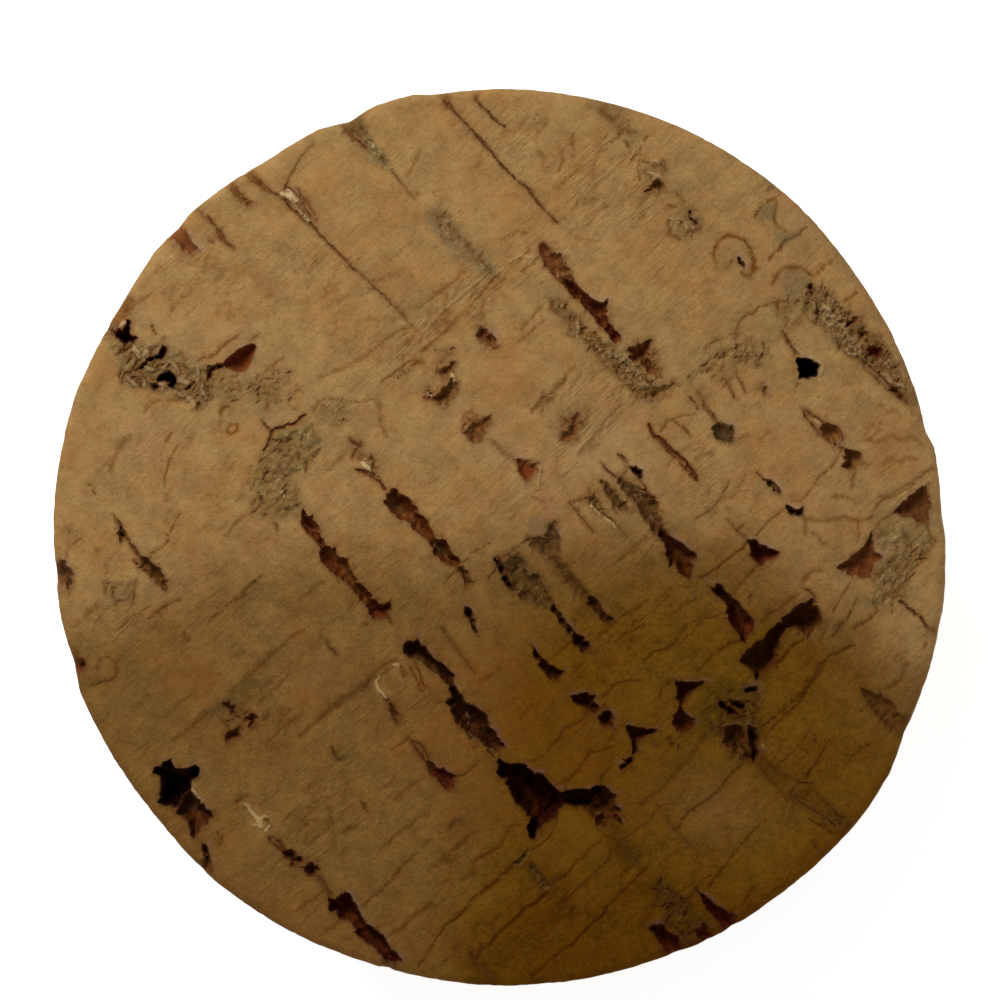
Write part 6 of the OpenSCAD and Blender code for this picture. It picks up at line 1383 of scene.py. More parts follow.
rows = []
for depth, tone, red, rough, poly in HOLE_SET:
    for off in (0.9, -0.9):
        rows.append(along(poly, True, 2.5, off))
for dark, depth, line in CRACK_SET:
    rows.append(along(line, False, 2.5, 0))
    rows.append(along(line, False, 2.5, 0.9))
    rows.append(along(line, False, 2.5, -0.9))
for dark, depth, line in VEIN_SET:
    rows.append(along(line, False, 4.0, 0))
    if dark > 0.75:
        rows.append(along(line, False, 4.2, 1.2))
        rows.append(along(line, False, 4.2, -1.2))
for bright, up, line in FIBRE_SET:
    rows.append(along(line, False, 2.0, 0))
    rows.append(along(line, False, 2.0, 0.8))
    rows.append(along(line, False, 2.0, -0.8))
rows = np.vstack(rows)
rows = rows[inside_face(rows, 0.9)]
rows = thin_out(rows, 0.95)

fine = hexnet(2.35, 11)
fine = fine[inside_face(fine, 1.6)]
probe = features(fine)
busy = (probe["pit"] < 1.6) & (probe["hold"] > 0.5) | (probe["crumb"] > 0.25) | (probe["fibre"] < 1.5)
near_busy = probe["pit"] < 7
fine_pts = fine[busy]
mid = hexnet(3.5, 12)
mid = mid[inside_face(mid, 2.2)]
probe = features(mid)
mid_pts = mid[(probe["pit"] < 7) & ~((probe["pit"] < 1.6) & (probe["hold"] > 0.5) | (probe["crumb"] > 0.25) | (probe["fibre"] < 1.5))]
coarse = hexnet(5.4, 13)
coarse = coarse[inside_face(coarse, 3.0)]
probe = features(coarse)
coarse_pts = coarse[(probe["pit"] >= 6.2) & (probe["crumb"] <= 0.25)]
fine_pts = fine_pts[far_from(fine_pts, rows, 1.25)]
mid_pts = mid_pts[far_from(mid_pts, rows, 1.7)]
mid_pts = mid_pts[far_from(mid_pts, fine_pts, 1.9)]
coarse_pts = coarse_pts[far_from(coarse_pts, mid_pts, 2.4)]
coarse_pts = coarse_pts[far_from(coarse_pts, fine_pts, 2.4)]
inner = np.vstack([rows, fine_pts, mid_pts, coarse_pts])
inner = inner[inside_face(inner, 0.8)]
top_xy, top_tri = mesh_net(inner, ring_xy)
print("top", len(rows), len(fine_pts), len(mid_pts), len(coarse_pts), "->", len(top_xy), "points", len(top_tri), "triangles")


# ---------------------------------------------------------------------------------------------
# The wide end's surface
# ---------------------------------------------------------------------------------------------
def plan_mm(p):
    return (p[:, 0] - CX) * STEP, (CY - p[:, 1]) * STEP


def ring_relief(x, y, z):
    """Slight ridges of the yearly growth: how strong the line is there, from 0 to 1."""
    s = x * RS[0] + y * RS[1]
    u = x * RU[0] + y * RU[1]
    warp = 0.55 * fbm(u / 9.0, s / 9.0, 81, 2, z / 14.0) + 0.16 * fbm(u / 2.2, s / 5.0, 82, 2, z / 6.0)
    phase = (s + warp) / 2.25
    frac = np.abs(phase - np.round(phase))
    return smooth(0.16, 0.0, frac)


def face_height(p, f):
    """Depth below the flat end, in mm (negative is down)."""
    x, y = plan_mm(p)
    u, s = x * RU[0] + y * RU[1], x * RS[0] + y * RS[1]
    h = -0.070 + 0.030 * fbm(x / 1.6, y / 1.6, 21, 3) + 0.012 * fbm(u / 0.9, s / 0.22, 22, 2)
    h = h - 0.010 * ring_relief(x, y, 38.0 + 0 * x)
    rough = fbm(p[:, 0] / 5.5, p[:, 1] / 5.5, 23, 2)
    crumb = np.clip(f["crumb"], 0, 1)
    h = h - crumb * (0.07 + 0.20 * np.maximum(rough, -0.5))
    h = h - 0.05 * np.clip(f["grey"] + f["olive"] + f["brown"], 0, 1) * (0.5 + 0.5 * rough)
    down = f["down"] * (1.0 + 0.30 * f["rough"] * rough)
    h = h - down
    # the lip beside an open place stands a little proud
    h = h + 0.030 * smooth(3.2, 1.2, f["hole"]) * smooth(-0.2, 0.9, f["hole"])
    h = h + f["up"]
    return np.clip(h, -6.0, -0.002)


top_f = features(top_xy)
top_h = face_height(top_xy, top_f)
top_x, top_y = plan_mm(top_xy)
top_z = LENGTH + top_h

# ---------------------------------------------------------------------------------------------
# The side, laid out flat: angle across, distance down the profile along the other way.
# ---------------------------------------------------------------------------------------------
FLAT_R = 24.0
WIDTH = 2 * math.pi * FLAT_R
ARC = 0.5 * math.pi * EDGE_R
FOOT_ARC = 0.5 * math.pi * FOOT_EDGE_R
STRAIGHT = math.hypot(FACE_R - FOOT_R, LENGTH - EDGE_R - FOOT_EDGE_R)
DEEP = ARC + STRAIGHT + FOOT_ARC
FOOT_N = 420


def profile(v):
    """Radius less the rim's radius at the wide end, and height, at a distance v down the side."""
    a = np.clip(v / ARC, 0, 1) * (math.pi / 2)
    r = -EDGE_R + EDGE_R * np.sin(a)
    z = LENGTH - EDGE_R + EDGE_R * np.cos(a)
    t = np.clip((v - ARC) / STRAIGHT, 0, 1)
    r = r - (FACE_R - FOOT_R) * t
    z = z - (LENGTH - EDGE_R - FOOT_EDGE_R) * t
    b = np.clip((v - ARC - STRAIGHT) / FOOT_ARC, 0, 1) * (math.pi / 2)
    r = r - FOOT_EDGE_R * (1 - np.cos(b))
    z = z - FOOT_EDGE_R * np.sin(b)
    return r, z


def side_base(theta, v):
    r_off, z = profile(v)
    rim = rim_steps(theta) * STEP
    deg = np.degrees(theta)
    fade = smooth(8.0, 34.0, z)
    mean = 448.6 * STEP + 0.16 * (vnoise(np.cos(theta) * 2.2 + 5, np.sin(theta) * 2.2 + 5, 903))
    r = (rim * fade + mean * (1 - fade)) + r_off
    return r, z


def side_surface(theta, v, start):
    """Places on the side; start is how far the rim has fallen there, in mm."""
    r, z = side_base(theta, v)
    x, y = r * np.cos(theta), r * np.sin(theta)
    q, tone, red, size = lenticels(x, y, z)
    open_ = smooth(0.0, 0.20, q)
    carve = np.minimum(1.9, 0.45 + 2.6 * size) * open_ * (0.75 + 0.35 * fbm(x / 0.7, y / 0.7, 91, 2, z / 0.7))
    away = smooth(0.4, 2.2, v) * smooth(0.2, 1.4, DEEP - v)
    carve = carve * away
    skin = 0.035 * fbm(x / 1.7, y / 1.7, 92, 3, z / 2.6) + 0.022 * ring_relief(x, y, z)
    skin = skin + 0.020 * np.abs(fbm(theta * FLAT_R / 0.5, z / 5.0, 93, 2))
    # a rim that an open place crosses falls away, and the side under it is hollowed
    fall = start * (z / LENGTH) ** 7
    under = 0.03 * smooth(0.12, 1.2, start) * np.exp(-((LENGTH - z) / (0.6 + 1.3 * start)) ** 2) * smooth(0.0, 0.9, v)
    r = r - carve - (skin + 0.03) * smooth(0.0, 0.5, v) - under
    z = z - fall
    return r * np.cos(theta), r * np.sin(theta), z, q, tone, red


def net_flat(spacing, seed, y0, y1, jitter=0.22):
    g = np.random.default_rng(seed)
    ys = np.arange(y0, y1, spacing * 0.866)
    n = int(round(WIDTH / spacing))
    xs = (np.arange(n) + 0.5) / n * WIDTH
    xx, yy = np.meshgrid(xs, ys)
    xx = xx + ((np.arange(len(ys)) % 2)[:, None] - 0.5) * spacing * 0.5
    p = np.stack([xx.ravel(), yy.ravel()], 1)
    p = p + g.uniform(-jitter, jitter, p.shape) * spacing
    return p[(p[:, 0] > spacing * 0.35) & (p[:, 0] < WIDTH - spacing * 0.35)]


def side_q(p):
    r, z = side_base(p[:, 0] / FLAT_R, p[:, 1])
    th = p[:, 0] / FLAT_R
    return lenticels(r * np.cos(th), r * np.sin(th), z)[0]


ring_start = -(np.interp(np.arange(RING_N), np.arange(RING_N), top_h[:RING_N]))
arc_rows = []
for k, v in enumerate((0.16, 0.34, 0.55, 0.80)):
    n = RING_N if k == 0 else RING_N // 2
    shift = 0.5 if k % 2 == 0 else 0.0
    arc_rows.append(np.stack([(np.arange(n) + 0.5 + 0.0 * shift) / n * WIDTH, np.full(n, v)], 1))
arc_rows = np.vstack(arc_rows)
sf = net_flat(0.185, 31, 1.05, DEEP - 0.9)
qf = side_q(sf)
sf = sf[(qf > -0.22)]
sm = net_flat(0.36, 32, 1.15, DEEP - 1.0)
qm = side_q(sm)
sm = sm[(qm > -0.9) & (qm <= -0.22) | ((sm[:, 1] < 2.6) & (qm <= -0.22))]
sc = net_flat(0.72, 33, 1.6, DEEP - 1.3)
qc = side_q(sc)
sc = sc[(qc <= -0.75) & (sc[:, 1] > 2.3)]
foot_rows = np.vstack([np.stack([(np.arange(FOOT_N) + 0.5) / FOOT_N * WIDTH, np.full(FOOT_N, DEEP - v)], 1) for v in (0.22, 0.48, 0.78)])
sm = sm[far_from(sm, sf, 0.20)]
sc = sc[far_from(sc, sf, 0.30)]
sc = sc[far_from(sc, sm, 0.34)]
side_inner = np.vstack([arc_rows, sf, sm, sc, foot_rows])

# the flat net is closed into a tube: its left and right edges share the same points
seam_v = np.concatenate([[0.16, 0.34, 0.55, 0.80], np.arange(1.2, DEEP - 1.0, 0.40), [DEEP - 0.78, DEEP - 0.48, DEEP - 0.22]])
left = np.stack([np.zeros(len(seam_v)), seam_v], 1)
right = np.stack([np.full(len(seam_v), WIDTH), seam_v], 1)
top_row = np.stack([np.arange(RING_N + 1) / RING_N * WIDTH, np.zeros(RING_N + 1)], 1)
foot_row = np.stack([np.arange(FOOT_N + 1) / FOOT_N * WIDTH, np.full(FOOT_N + 1, DEEP)], 1)
loop = np.vstack([top_row, right, foot_row[::-1], left[::-1]])
side_inner = side_inner[(side_inner[:, 0] > 0.05) & (side_inner[:, 0] < WIDTH - 0.05)]
side_uv, side_tri = mesh_net(side_inner, loop)
nt, ns, nf = RING_N + 1, len(seam_v), FOOT_N + 1
print("side", len(sf), len(sm), len(sc), "->", len(side_uv), "points", len(side_tri), "triangles")

# ---------------------------------------------------------------------------------------------
# The foot
# ---------------------------------------------------------------------------------------------
foot_theta = np.arange(FOOT_N) * (2 * math.pi / FOOT_N)
foot_edge_r, _ = side_base(foot_theta, np.full(FOOT_N, DEEP))
foot_ring = np.stack([foot_edge_r * np.cos(foot_theta), foot_edge_r * np.sin(foot_theta)], 1)


def foot_q(p):
    return lenticels(p[:, 0], p[:, 1], np.zeros(len(p)))[0]


def foot_net(spacing, seed, lo, hi):
    p = hexnet(spacing, seed, -22.0, 22.0, -22.0, 22.0)
    r = np.hypot(p[:, 0], p[:, 1])
    p = p[r < np.interp(np.arctan2(p[:, 1], p[:, 0]) % (2 * math.pi), foot_theta, foot_edge_r) - 0.5 * spacing - 0.1]
    q = foot_q(p)
    return p[(q > lo) & (q <= hi)]


ff, fm, fc = foot_net(0.19, 41, -0.20, 9), foot_net(0.40, 42, -0.9, -0.20), foot_net(0.80, 43, -9, -0.8)
fm = fm[far_from(fm, ff, 0.22)]
fc = fc[far_from(fc, fm, 0.40)]
foot_xy, foot_tri = mesh_net(np.vstack([ff, fm, fc]), foot_ring)
print("foot", len(foot_xy), "points", len(foot_tri), "triangles")


# ---------------------------------------------------------------------------------------------
# One closed mesh
# ---------------------------------------------------------------------------------------------
# side places; the rim row and the foot row are the other nets' own points
side_theta = side_uv[:, 0] / FLAT_R
start = np.interp(side_theta, np.arange(RING_N + 1) * (2 * math.pi / RING_N), np.append(ring_start, ring_start[0]))
sx, sy, sz, sq, stone, sred = side_surface(side_theta, side_uv[:, 1], start)

foot_lent = lenticels(foot_xy[:, 0], foot_xy[:, 1], np.zeros(len(foot_xy)))
fq = foot_lent[0]
inset = smooth(FOOT_R - 0.6, FOOT_R - 2.0, np.hypot(foot_xy[:, 0], foot_xy[:, 1]))
fz = np.minimum(1.6, 0.5 + 1.8 * foot_lent[3]) * smooth(0.0, 0.22, fq) * inset * (0.8 + 0.3 * fbm(foot_xy[:, 0] / 0.6, foot_xy[:, 1] / 0.6, 94, 2))
fz = fz + inset * np.maximum(0, 0.05 * fbm(foot_xy[:, 0] / 1.5, foot_xy[:, 1] / 1.5, 95, 3) + 0.01)

n_top = len(top_xy)
co = [np.stack([top_x, top_y, top_z], 1)]
# map every side point to an index of the whole
side_map = np.full(len(side_uv), -1, np.int64)
side_map[:nt - 1] = np.arange(RING_N)
side_map[nt - 1] = 0
first_right = nt
first_foot = nt + ns
first_left = nt + ns + nf
own = list(range(first_right, first_right + ns)) + list(range(first_left + ns, len(side_uv)))
side_map[own] = n_top + np.arange(len(own))
# left edge points are the right edge's, read upwards
side_map[first_left:first_left + ns] = side_map[first_right:first_right + ns][::-1]
co.append(np.stack([sx, sy, sz], 1)[own])
n_side = len(own)
# the foot row runs backwards in the loop
n_foot0 = n_top + n_side
foot_ids = n_foot0 + (np.arange(nf)[::-1] % FOOT_N)
side_map[first_foot:first_foot + nf] = foot_ids
foot_map = n_foot0 + np.arange(len(foot_xy))
co.append(np.stack([foot_xy[:, 0], foot_xy[:, 1], fz], 1))
co = np.vstack(co)


def facing(tri, xy, up):
    """Turns every triangle the same way round on its plan."""
    a, b, c = xy[tri[:, 0]], xy[tri[:, 1]], xy[tri[:, 2]]
    area = (b[:, 0] - a[:, 0]) * (c[:, 1] - a[:, 1]) - (b[:, 1] - a[:, 1]) * (c[:, 0] - a[:, 0])
    flip = (area < 0) if up else (area > 0)
    tri = tri.copy()
    tri[flip] = tri[flip][:, ::-1]
    return tri


top_tri = facing(top_tri, np.stack([top_x, top_y], 1), True)
# seen from outside, angle runs to the right and v runs down
side_tri = side_map[facing(side_tri, np.stack([side_uv[:, 0], -side_uv[:, 1]], 1), True)]
foot_tri = foot_map[facing(foot_tri, foot_xy, False)]
tris = np.vstack([top_tri, side_tri, foot_tri])
tris = tris[(tris[:, 0] != tris[:, 1]) & (tris[:, 1] != tris[:, 2]) & (tris[:, 0] != tris[:, 2])]

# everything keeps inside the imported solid's box
lo, hi = np.array(CAD_BOX[0]) * 1000.0, np.array(CAD_BOX[1]) * 1000.0
co = np.minimum(np.maximum(co, lo + 0.002), hi - 0.002)
co[:, 2] = np.where(np.arange(len(co)) >= n_foot0, np.maximum(co[:, 2], 0.0), co[:, 2])

mesh = bpy.data.meshes.new("cork_body")
mesh.vertices.add(len(co))
mesh.vertices.foreach_set("co", (co / 1000.0).astype(np.float32).ravel())
mesh.loops.add(len(tris) * 3)
mesh.loops.foreach_set("vertex_index", tris.astype(np.int32).ravel())
mesh.polygons.add(len(tris))
mesh.polygons.foreach_set("loop_start", np.arange(0, len(tris) * 3, 3, dtype=np.int32))
mesh.polygons.foreach_set("loop_total", np.full(len(tris), 3, dtype=np.int32))
mesh.update(calc_edges=True)
mesh.validate()
mesh.polygons.foreach_set("use_smooth", np.ones(len(mesh.polygons), bool))

# keep the fold at each torn edge sharp
fa, fb, fc_ = co[tris[:, 0]], co[tris[:, 1]], co[tris[:, 2]]
nrm = np.cross(fb - fa, fc_ - fa)
nrm /= np.maximum(np.linalg.norm(nrm, axis=1, keepdims=True), 1e-12)
pair = {}
n_e = len(mesh.edges)
ev = np.empty(n_e * 2, np.int32)
mesh.edges.foreach_get("vertices", ev)
ev = np.sort(ev.reshape(-1, 2), axis=1).astype(np.int64)
key_e = ev[:, 0] * len(co) + ev[:, 1]
order = np.argsort(key_e)
he = np.vstack([tris[:, [0, 1]], tris[:, [1, 2]], tris[:, [2, 0]]])
he_face = np.tile(np.arange(len(tris)), 3)
hk = np.sort(he, axis=1).astype(np.int64)
hk = hk[:, 0] * len(co) + hk[:, 1]
o = np.argsort(hk, kind="stable")
hk_s, hf_s = hk[o], he_face[o]
assert len(hk_s) == 2 * n_e and np.all(hk_s[0::2] == hk_s[1::2]), "the mesh is not closed"
cosang = np.einsum("ij,ij->i", nrm[hf_s[0::2]], nrm[hf_s[1::2]])
sharp = np.zeros(n_e, bool)
sharp[order] = cosang < math.cos(math.radians(48))
att = mesh.attributes.new("sharp_edge", "BOOLEAN", "EDGE")
att.data.foreach_set("value", sharp)
print("whole", len(co), "points", len(tris), "triangles, sharp edges", int(sharp.sum()))

# ---------------------------------------------------------------------------------------------
# What the material needs to know at each point
# ---------------------------------------------------------------------------------------------
N = len(co)
fields = {k: np.zeros(N) for k in ("pit", "tone", "red", "hold", "rough", "fibre", "shine", "vein", "lip_highlight", "deep", "painted_shade") + tuple(PATCH_KINDS)}
fields["pit"][:] = 6.0
fields["fibre"][:] = 6.0
fields["rough"][:] = 0.5
for key in ("tone", "red", "hold", "rough", "fibre", "shine", "vein", "lip_highlight") + tuple(PATCH_KINDS):
    fields[key][:n_top] = top_f[key]
fields["pit"][:n_top] = top_f["pit"]
fields["deep"][:n_top] = -top_h
# side: its own pores, and close under the rim what crosses it
side_q_steps = -sq[own] / STEP * 1.0
side_co = co[n_top:n_top + n_side]
plan = np.stack([side_co[:, 0] / STEP + CX, CY - side_co[:, 1] / STEP], 1)
rr = np.hypot(side_co[:, 0], side_co[:, 1])
pull = np.where(rr > FACE_R - 1.2, (FACE_R - 0.75) / np.maximum(rr, 1e-6), 1.0)
plan_in = np.stack([side_co[:, 0] * pull / STEP + CX, CY - side_co[:, 1] * pull / STEP], 1)
rim_f = features(plan_in)
below = LENGTH - side_co[:, 2]
reach = smooth(0.7 + 1.1 * start[own], 0.25 + 0.8 * start[own], below)
rim_pit = rim_f["pit"] + (1 - reach) * 14.0
use_rim = rim_pit < side_q_steps
sl = slice(n_top, n_top + n_side)
fields["pit"][sl] = np.where(use_rim, rim_pit, np.clip(side_q_steps, -12, 12))
fields["tone"][sl] = np.where(use_rim, rim_f["tone"], stone[own])
fields["red"][sl] = np.where(use_rim, rim_f["red"], sred[own])
fields["hold"][sl] = np.where(use_rim, rim_f["hold"], 1.0)
for key in PATCH_KINDS:
    fields[key][sl] = rim_f[key] * reach
grey_side = smooth(-0.9, 0.1, sq[own]) * smooth(-0.1, 0.5, fbm(side_co[:, 0] / 4, side_co[:, 1] / 4, 96, 2, side_co[:, 2] / 4))
fields["olive"][sl] = np.maximum(fields["olive"][sl], 0.55 * grey_side)
fields["crumb"][sl] = np.maximum(fields["crumb"][sl], 0.8 * grey_side * smooth(-0.5, 0.0, sq[own]))
# foot
fl = slice(n_foot0, N)
fields["pit"][fl] = np.clip(-fq / STEP, -12, 12)
fields["tone"][fl], fields["red"][fl], fields["hold"][fl] = foot_lent[1], foot_lent[2], 1.0
fields["olive"][fl] = 0.5 * smooth(-0.8, 0.1, fq) * smooth(-0.1, 0.5, fbm(foot_xy[:, 0] / 4, foot_xy[:, 1] / 4, 97, 2))
fields["pit"] = np.clip(fields["pit"], -6, 6)
fields["fibre"] = np.clip(fields["fibre"], -3, 6)

# painted shade: a soft shadow over the lower part of the plan, darkest towards the lower right, kept as a field that
# makes the colour darker and warmer; a few spots in it are left lighter
px, py = co[:, 0] / STEP + CX, CY - co[:, 1] / STEP
wav = 26.0 * fbm(px / 150.0, py / 150.0, 98, 2) + 7.0 * fbm(px / 40.0, py / 40.0, 99, 2)
turn = np.interp(px, [40, 200, 400, 560, 680, 760, 820, 880, 960], [615, 560, 545, 520, 520, 545, 600, 625, 640])
plateau = 0.5 * smooth(-50.0, 62.0, py - turn + wav)
corner = 0.5 * smooth(430.0, 590.0, px + 0.15 * (py - 600) + wav) * smooth(500.0, 640.0, py + wav)
bottom = 0.25 * smooth(800.0, 930.0, py + wav) * smooth(380.0, 520.0, px)
bright = 0.59 * np.exp(-((px - 920) / 62.0) ** 2 - ((py - 655) / 75.0) ** 2) + 0.29 * np.exp(-((px - 722) / 55.0) ** 2 - ((py - 818) / 45.0) ** 2)
bright = bright - 0.10 * np.exp(-((px - 430) / 90.0) ** 2 - ((py - 890) / 70.0) ** 2) + 0.08 * np.exp(-((px - 270) / 90.0) ** 2 - ((py - 630) / 40.0) ** 2)
bright = bright - 0.07 * np.exp(-((px - 555) / 60.0) ** 2 - ((py - 700) / 60.0) ** 2) - 0.04 * np.exp(-((px - 200) / 60.0) ** 2 - ((py - 535) / 35.0) ** 2)
bright = bright + 0.07 * np.exp(-((px - 600) / 50.0) ** 2 - ((py - 885) / 30.0) ** 2) + 0.11 * np.exp(-((px - 780) / 40.0) ** 2 - ((py - 600) / 30.0) ** 2)
bright = bright + 0.05 * np.exp(-((px - 760) / 40.0) ** 2 - ((py - 895) / 30.0) ** 2)
fields["painted_shade"] = np.clip(plateau + corner + bottom - bright, 0, 1.25)

# painted shade: the rounded cut edge along the lower left and the lower right, which faces away from the light, is made
# browner through the orange channel
bearing = np.degrees(np.arctan2(co[:, 1], co[:, 0])) % 360.0
inward = rim_steps(np.radians(bearing)) - np.hypot(px - CX, py - CY)
low_left = smooth(205.0, 222.0, bearing) * smooth(262.0, 246.0, bearing)
low_right = smooth(290.0, 300.0, bearing) * smooth(335.0, 322.0, bearing)
tint = (low_left * 0.55 + low_right * 0.45) * smooth(30.0, 4.0, inward + 9.0 * fbm(px / 16.0, py / 16.0, 101, 2))
fields["orange"] = np.maximum(fields["orange"], np.where(co[:, 2] > LENGTH - 2.5, tint, 0.0))

for key, val in fields.items():
    a = mesh.attributes.new(key, "FLOAT", "POINT")
    a.data.foreach_set("value", val.astype(np.float32))
body = bpy.data.objects.new("cork_body", mesh)
bpy.context.scene.collection.objects.link(body)


# ---------------------------------------------------------------------------------------------
# Cork
# ---------------------------------------------------------------------------------------------
class Net:
    """Short hands for building a node tree."""

    def __init__(self, name):
        self.mat = bpy.data.materials.new(name)
        self.mat.use_nodes = True
        self.t = self.mat.node_tree
        self.t.nodes.clear()

    def put(self, kind, **props):
        n = self.t.nodes.new(kind)
        for k, v in props.items():
            setattr(n, k, v)
        return n

    def link(self, value, socket):
        if isinstance(value, bpy.types.NodeSocket):
            self.t.links.new(value, socket)
        elif isinstance(value, (tuple, list)) and len(value) == 3 and socket.type == "RGBA":
            socket.default_value = (*value, 1.0)
        else:
            socket.default_value = value

    def math(self, op, a, b=0.0, c=None, clamp=False):
        n = self.put("ShaderNodeMath", operation=op, use_clamp=clamp)
        self.link(a, n.inputs[0])
        self.link(b, n.inputs[1])
        if c is not None:
            self.link(c, n.inputs[2])
        return n.outputs[0]

    def add(self, a, b):
        return self.math("ADD", a, b)

    def sub(self, a, b):
        return self.math("SUBTRACT", a, b)

    def mul(self, a, b):
        return self.math("MULTIPLY", a, b)

    def mad(self, a, b, c):
        return self.math("MULTIPLY_ADD", a, b, c)

    def ramp(self, x, e0, e1, o0=0.0, o1=1.0):
        """Smooth step from o0 to o1 as x goes from e0 to e1."""
        n = self.put("ShaderNodeMapRange", interpolation_type="SMOOTHSTEP", clamp=True)
        flip = e0 > e1
        if flip:
            e0, e1, o0, o1 = e1, e0, o1, o0
        self.link(x, n.inputs[0])
        for k, v in zip((1, 2, 3, 4), (e0, e1, o0, o1)):
            n.inputs[k].default_value = v
        return n.outputs[0]

    def mix(self, fac, a, b, mode="MIX"):
        n = self.put("ShaderNodeMix", data_type="RGBA", blend_type=mode)
        self.link(fac, n.inputs[0])
        self.link(a, n.inputs[6])
        self.link(b, n.inputs[7])
        return n.outputs[2]

    def stops(self, x, stops):
        n = self.put("ShaderNodeValToRGB")
        self.link(x, n.inputs[0])
        el = n.color_ramp.elements
        while len(el) < len(stops):
            el.new(0.5)
        for e, (pos, col) in zip(el, stops):
            e.position = pos
        for e, (pos, col) in zip(el, stops):
            e.color = (*col, 1.0)
        return n.outputs[0]

    def attr(self, name):
        return self.put("ShaderNodeAttribute", attribute_name=name).outputs["Fac"]

    def scaled(self, vec, sx, sy, sz):
        n = self.put("ShaderNodeVectorMath", operation="MULTIPLY")
        self.link(vec, n.inputs[0])
        n.inputs[1].default_value = (sx, sy, sz)
        return n.outputs[0]

    def shifted(self, vec, dx, dy, dz):
        n = self.put("ShaderNodeVectorMath", operation="ADD")
        self.link(vec, n.inputs[0])
        n.inputs[1].default_value = (dx, dy, dz)
        return n.outputs[0]

    def noise(self, vec, scale, detail=2.0, rough=0.5, distort=0.0):
        n = self.put("ShaderNodeTexNoise")
        self.link(vec, n.inputs["Vector"])
        n.inputs["Scale"].default_value = scale
        n.inputs["Detail"].default_value = detail
        n.inputs["Roughness"].default_value = rough
        n.inputs["Distortion"].default_value = distort
        return n.outputs[0]


c = Net("cork_bark")
coord = c.put("ShaderNodeTexCoord").outputs["Object"]
mm = c.scaled(coord, 1000.0, 1000.0, 1000.0)
turned = c.put("ShaderNodeMapping", vector_type="POINT")
c.link(mm, turned.inputs["Vector"])
turned.inputs["Rotation"].default_value = (0.0, 0.0, -RING_ANGLE)
grainwise = turned.outputs[0]

pit, tone, red, hold = c.attr("pit"), c.attr("tone"), c.attr("red"), c.attr("hold")
# the second attribute read here is painted shade, a soft shadow over the lower face; it also strengthens the grain, the
# mottle and the ring lines and lowers the specular there
deep, painted_shade = c.attr("deep"), c.attr("painted_shade")

# plain cork: soft patches of a greener and a more orange tan
rough = c.attr("rough")
blotch = c.noise(mm, 0.38, 4.0, 0.55, 0.3)
cloud = c.noise(c.shifted(mm, 31.0, 7.0, 3.0), 1.25, 3.0, 0.55)
hue = c.ramp(c.mad(cloud, 0.40, c.mul(blotch, 0.60)), 0.40, 0.66)
tan = c.mix(hue, (0.312, 0.182, 0.061), (0.310, 0.158, 0.047))
lightness = c.ramp(c.noise(c.shifted(mm, 3.0, 51.0, 9.0), 0.75, 5.0, 0.62), 0.28, 0.72, 0.84, 1.14)
mottle = c.noise(c.shifted(mm, 13.0, 5.0, 29.0), 2.7, 3.0, 0.6, 0.2)
streak = c.noise(c.scaled(grainwise, 0.55, 4.2, 0.55), 1.0, 4.0, 0.62, 0.35)
hair = c.noise(c.scaled(grainwise, 1.6, 11.0, 1.6), 1.0, 2.0, 0.55, 0.3)
zone = c.math("MAXIMUM", c.attr("combed"), c.ramp(c.noise(c.shifted(mm, 77.0, 3.0, 5.0), 0.20, 2.0, 0.5), 0.50, 0.70, 0.0, 0.6))
grain = c.noise(mm, 7.5, 2.0, 0.6)
value = c.mad(c.sub(streak, 0.5), c.mad(zone, 0.55, 0.16), lightness)
value = c.mad(c.sub(hair, 0.5), c.mad(zone, 0.38, 0.07), value)
value = c.mad(c.sub(grain, 0.5), c.mad(painted_shade, 0.40, 0.50), value)
value = c.mad(c.sub(mottle, 0.5), c.mad(painted_shade, 0.24, 0.42), value)

# growth rings: thin darker lines, broken and wavy
sep = c.put("ShaderNodeSeparateXYZ")
c.link(grainwise, sep.inputs[0])
wavy = c.noise(c.scaled(grainwise, 1.0, 0.45, 0.5), 0.22, 3.0, 0.6)
small = c.noise(c.scaled(grainwise, 1.0, 0.6, 0.6), 1.1, 3.0, 0.6)
phase = c.mul(c.mad(small, 0.55, c.mad(wavy, 3.0, sep.outputs[1])), 1.0 / 2.25)
frac = c.math("ABSOLUTE", c.sub(phase, c.math("ROUND", phase)))
broken = c.ramp(c.noise(c.scaled(grainwise, 0.30, 0.9, 0.3), 1.0, 2.0, 0.5), 0.50, 0.64)
ring = c.mul(c.mul(c.ramp(frac, 0.042, 0.004), broken), c.mad(painted_shade, 0.42, 0.16))
band = c.ramp(frac, 0.22, 0.0)
value = c.mul(value, c.mad(band, -0.04, 1.0))
vein = c.mul(c.attr("vein"), c.ramp(c.noise(c.shifted(mm, 4.0, 8.0, 61.0), 1.6, 3.0, 0.6), 0.34, 0.56, 0.62, 1.0))
vein = c.math("MAXIMUM", vein, ring)

# small dark specks
speck = c.noise(c.scaled(grainwise, 2.6, 3.8, 2.6), 1.0, 1.0, 0.5)
speck = c.mul(c.ramp(speck, 0.725, 0.79), 0.50)

col = c.mix(1.0, tan, value, "MULTIPLY")
col = c.mix(vein, col, (0.46, 0.262, 0.060), "MULTIPLY")
col = c.mix(speck, col, (0.120, 0.060, 0.018))

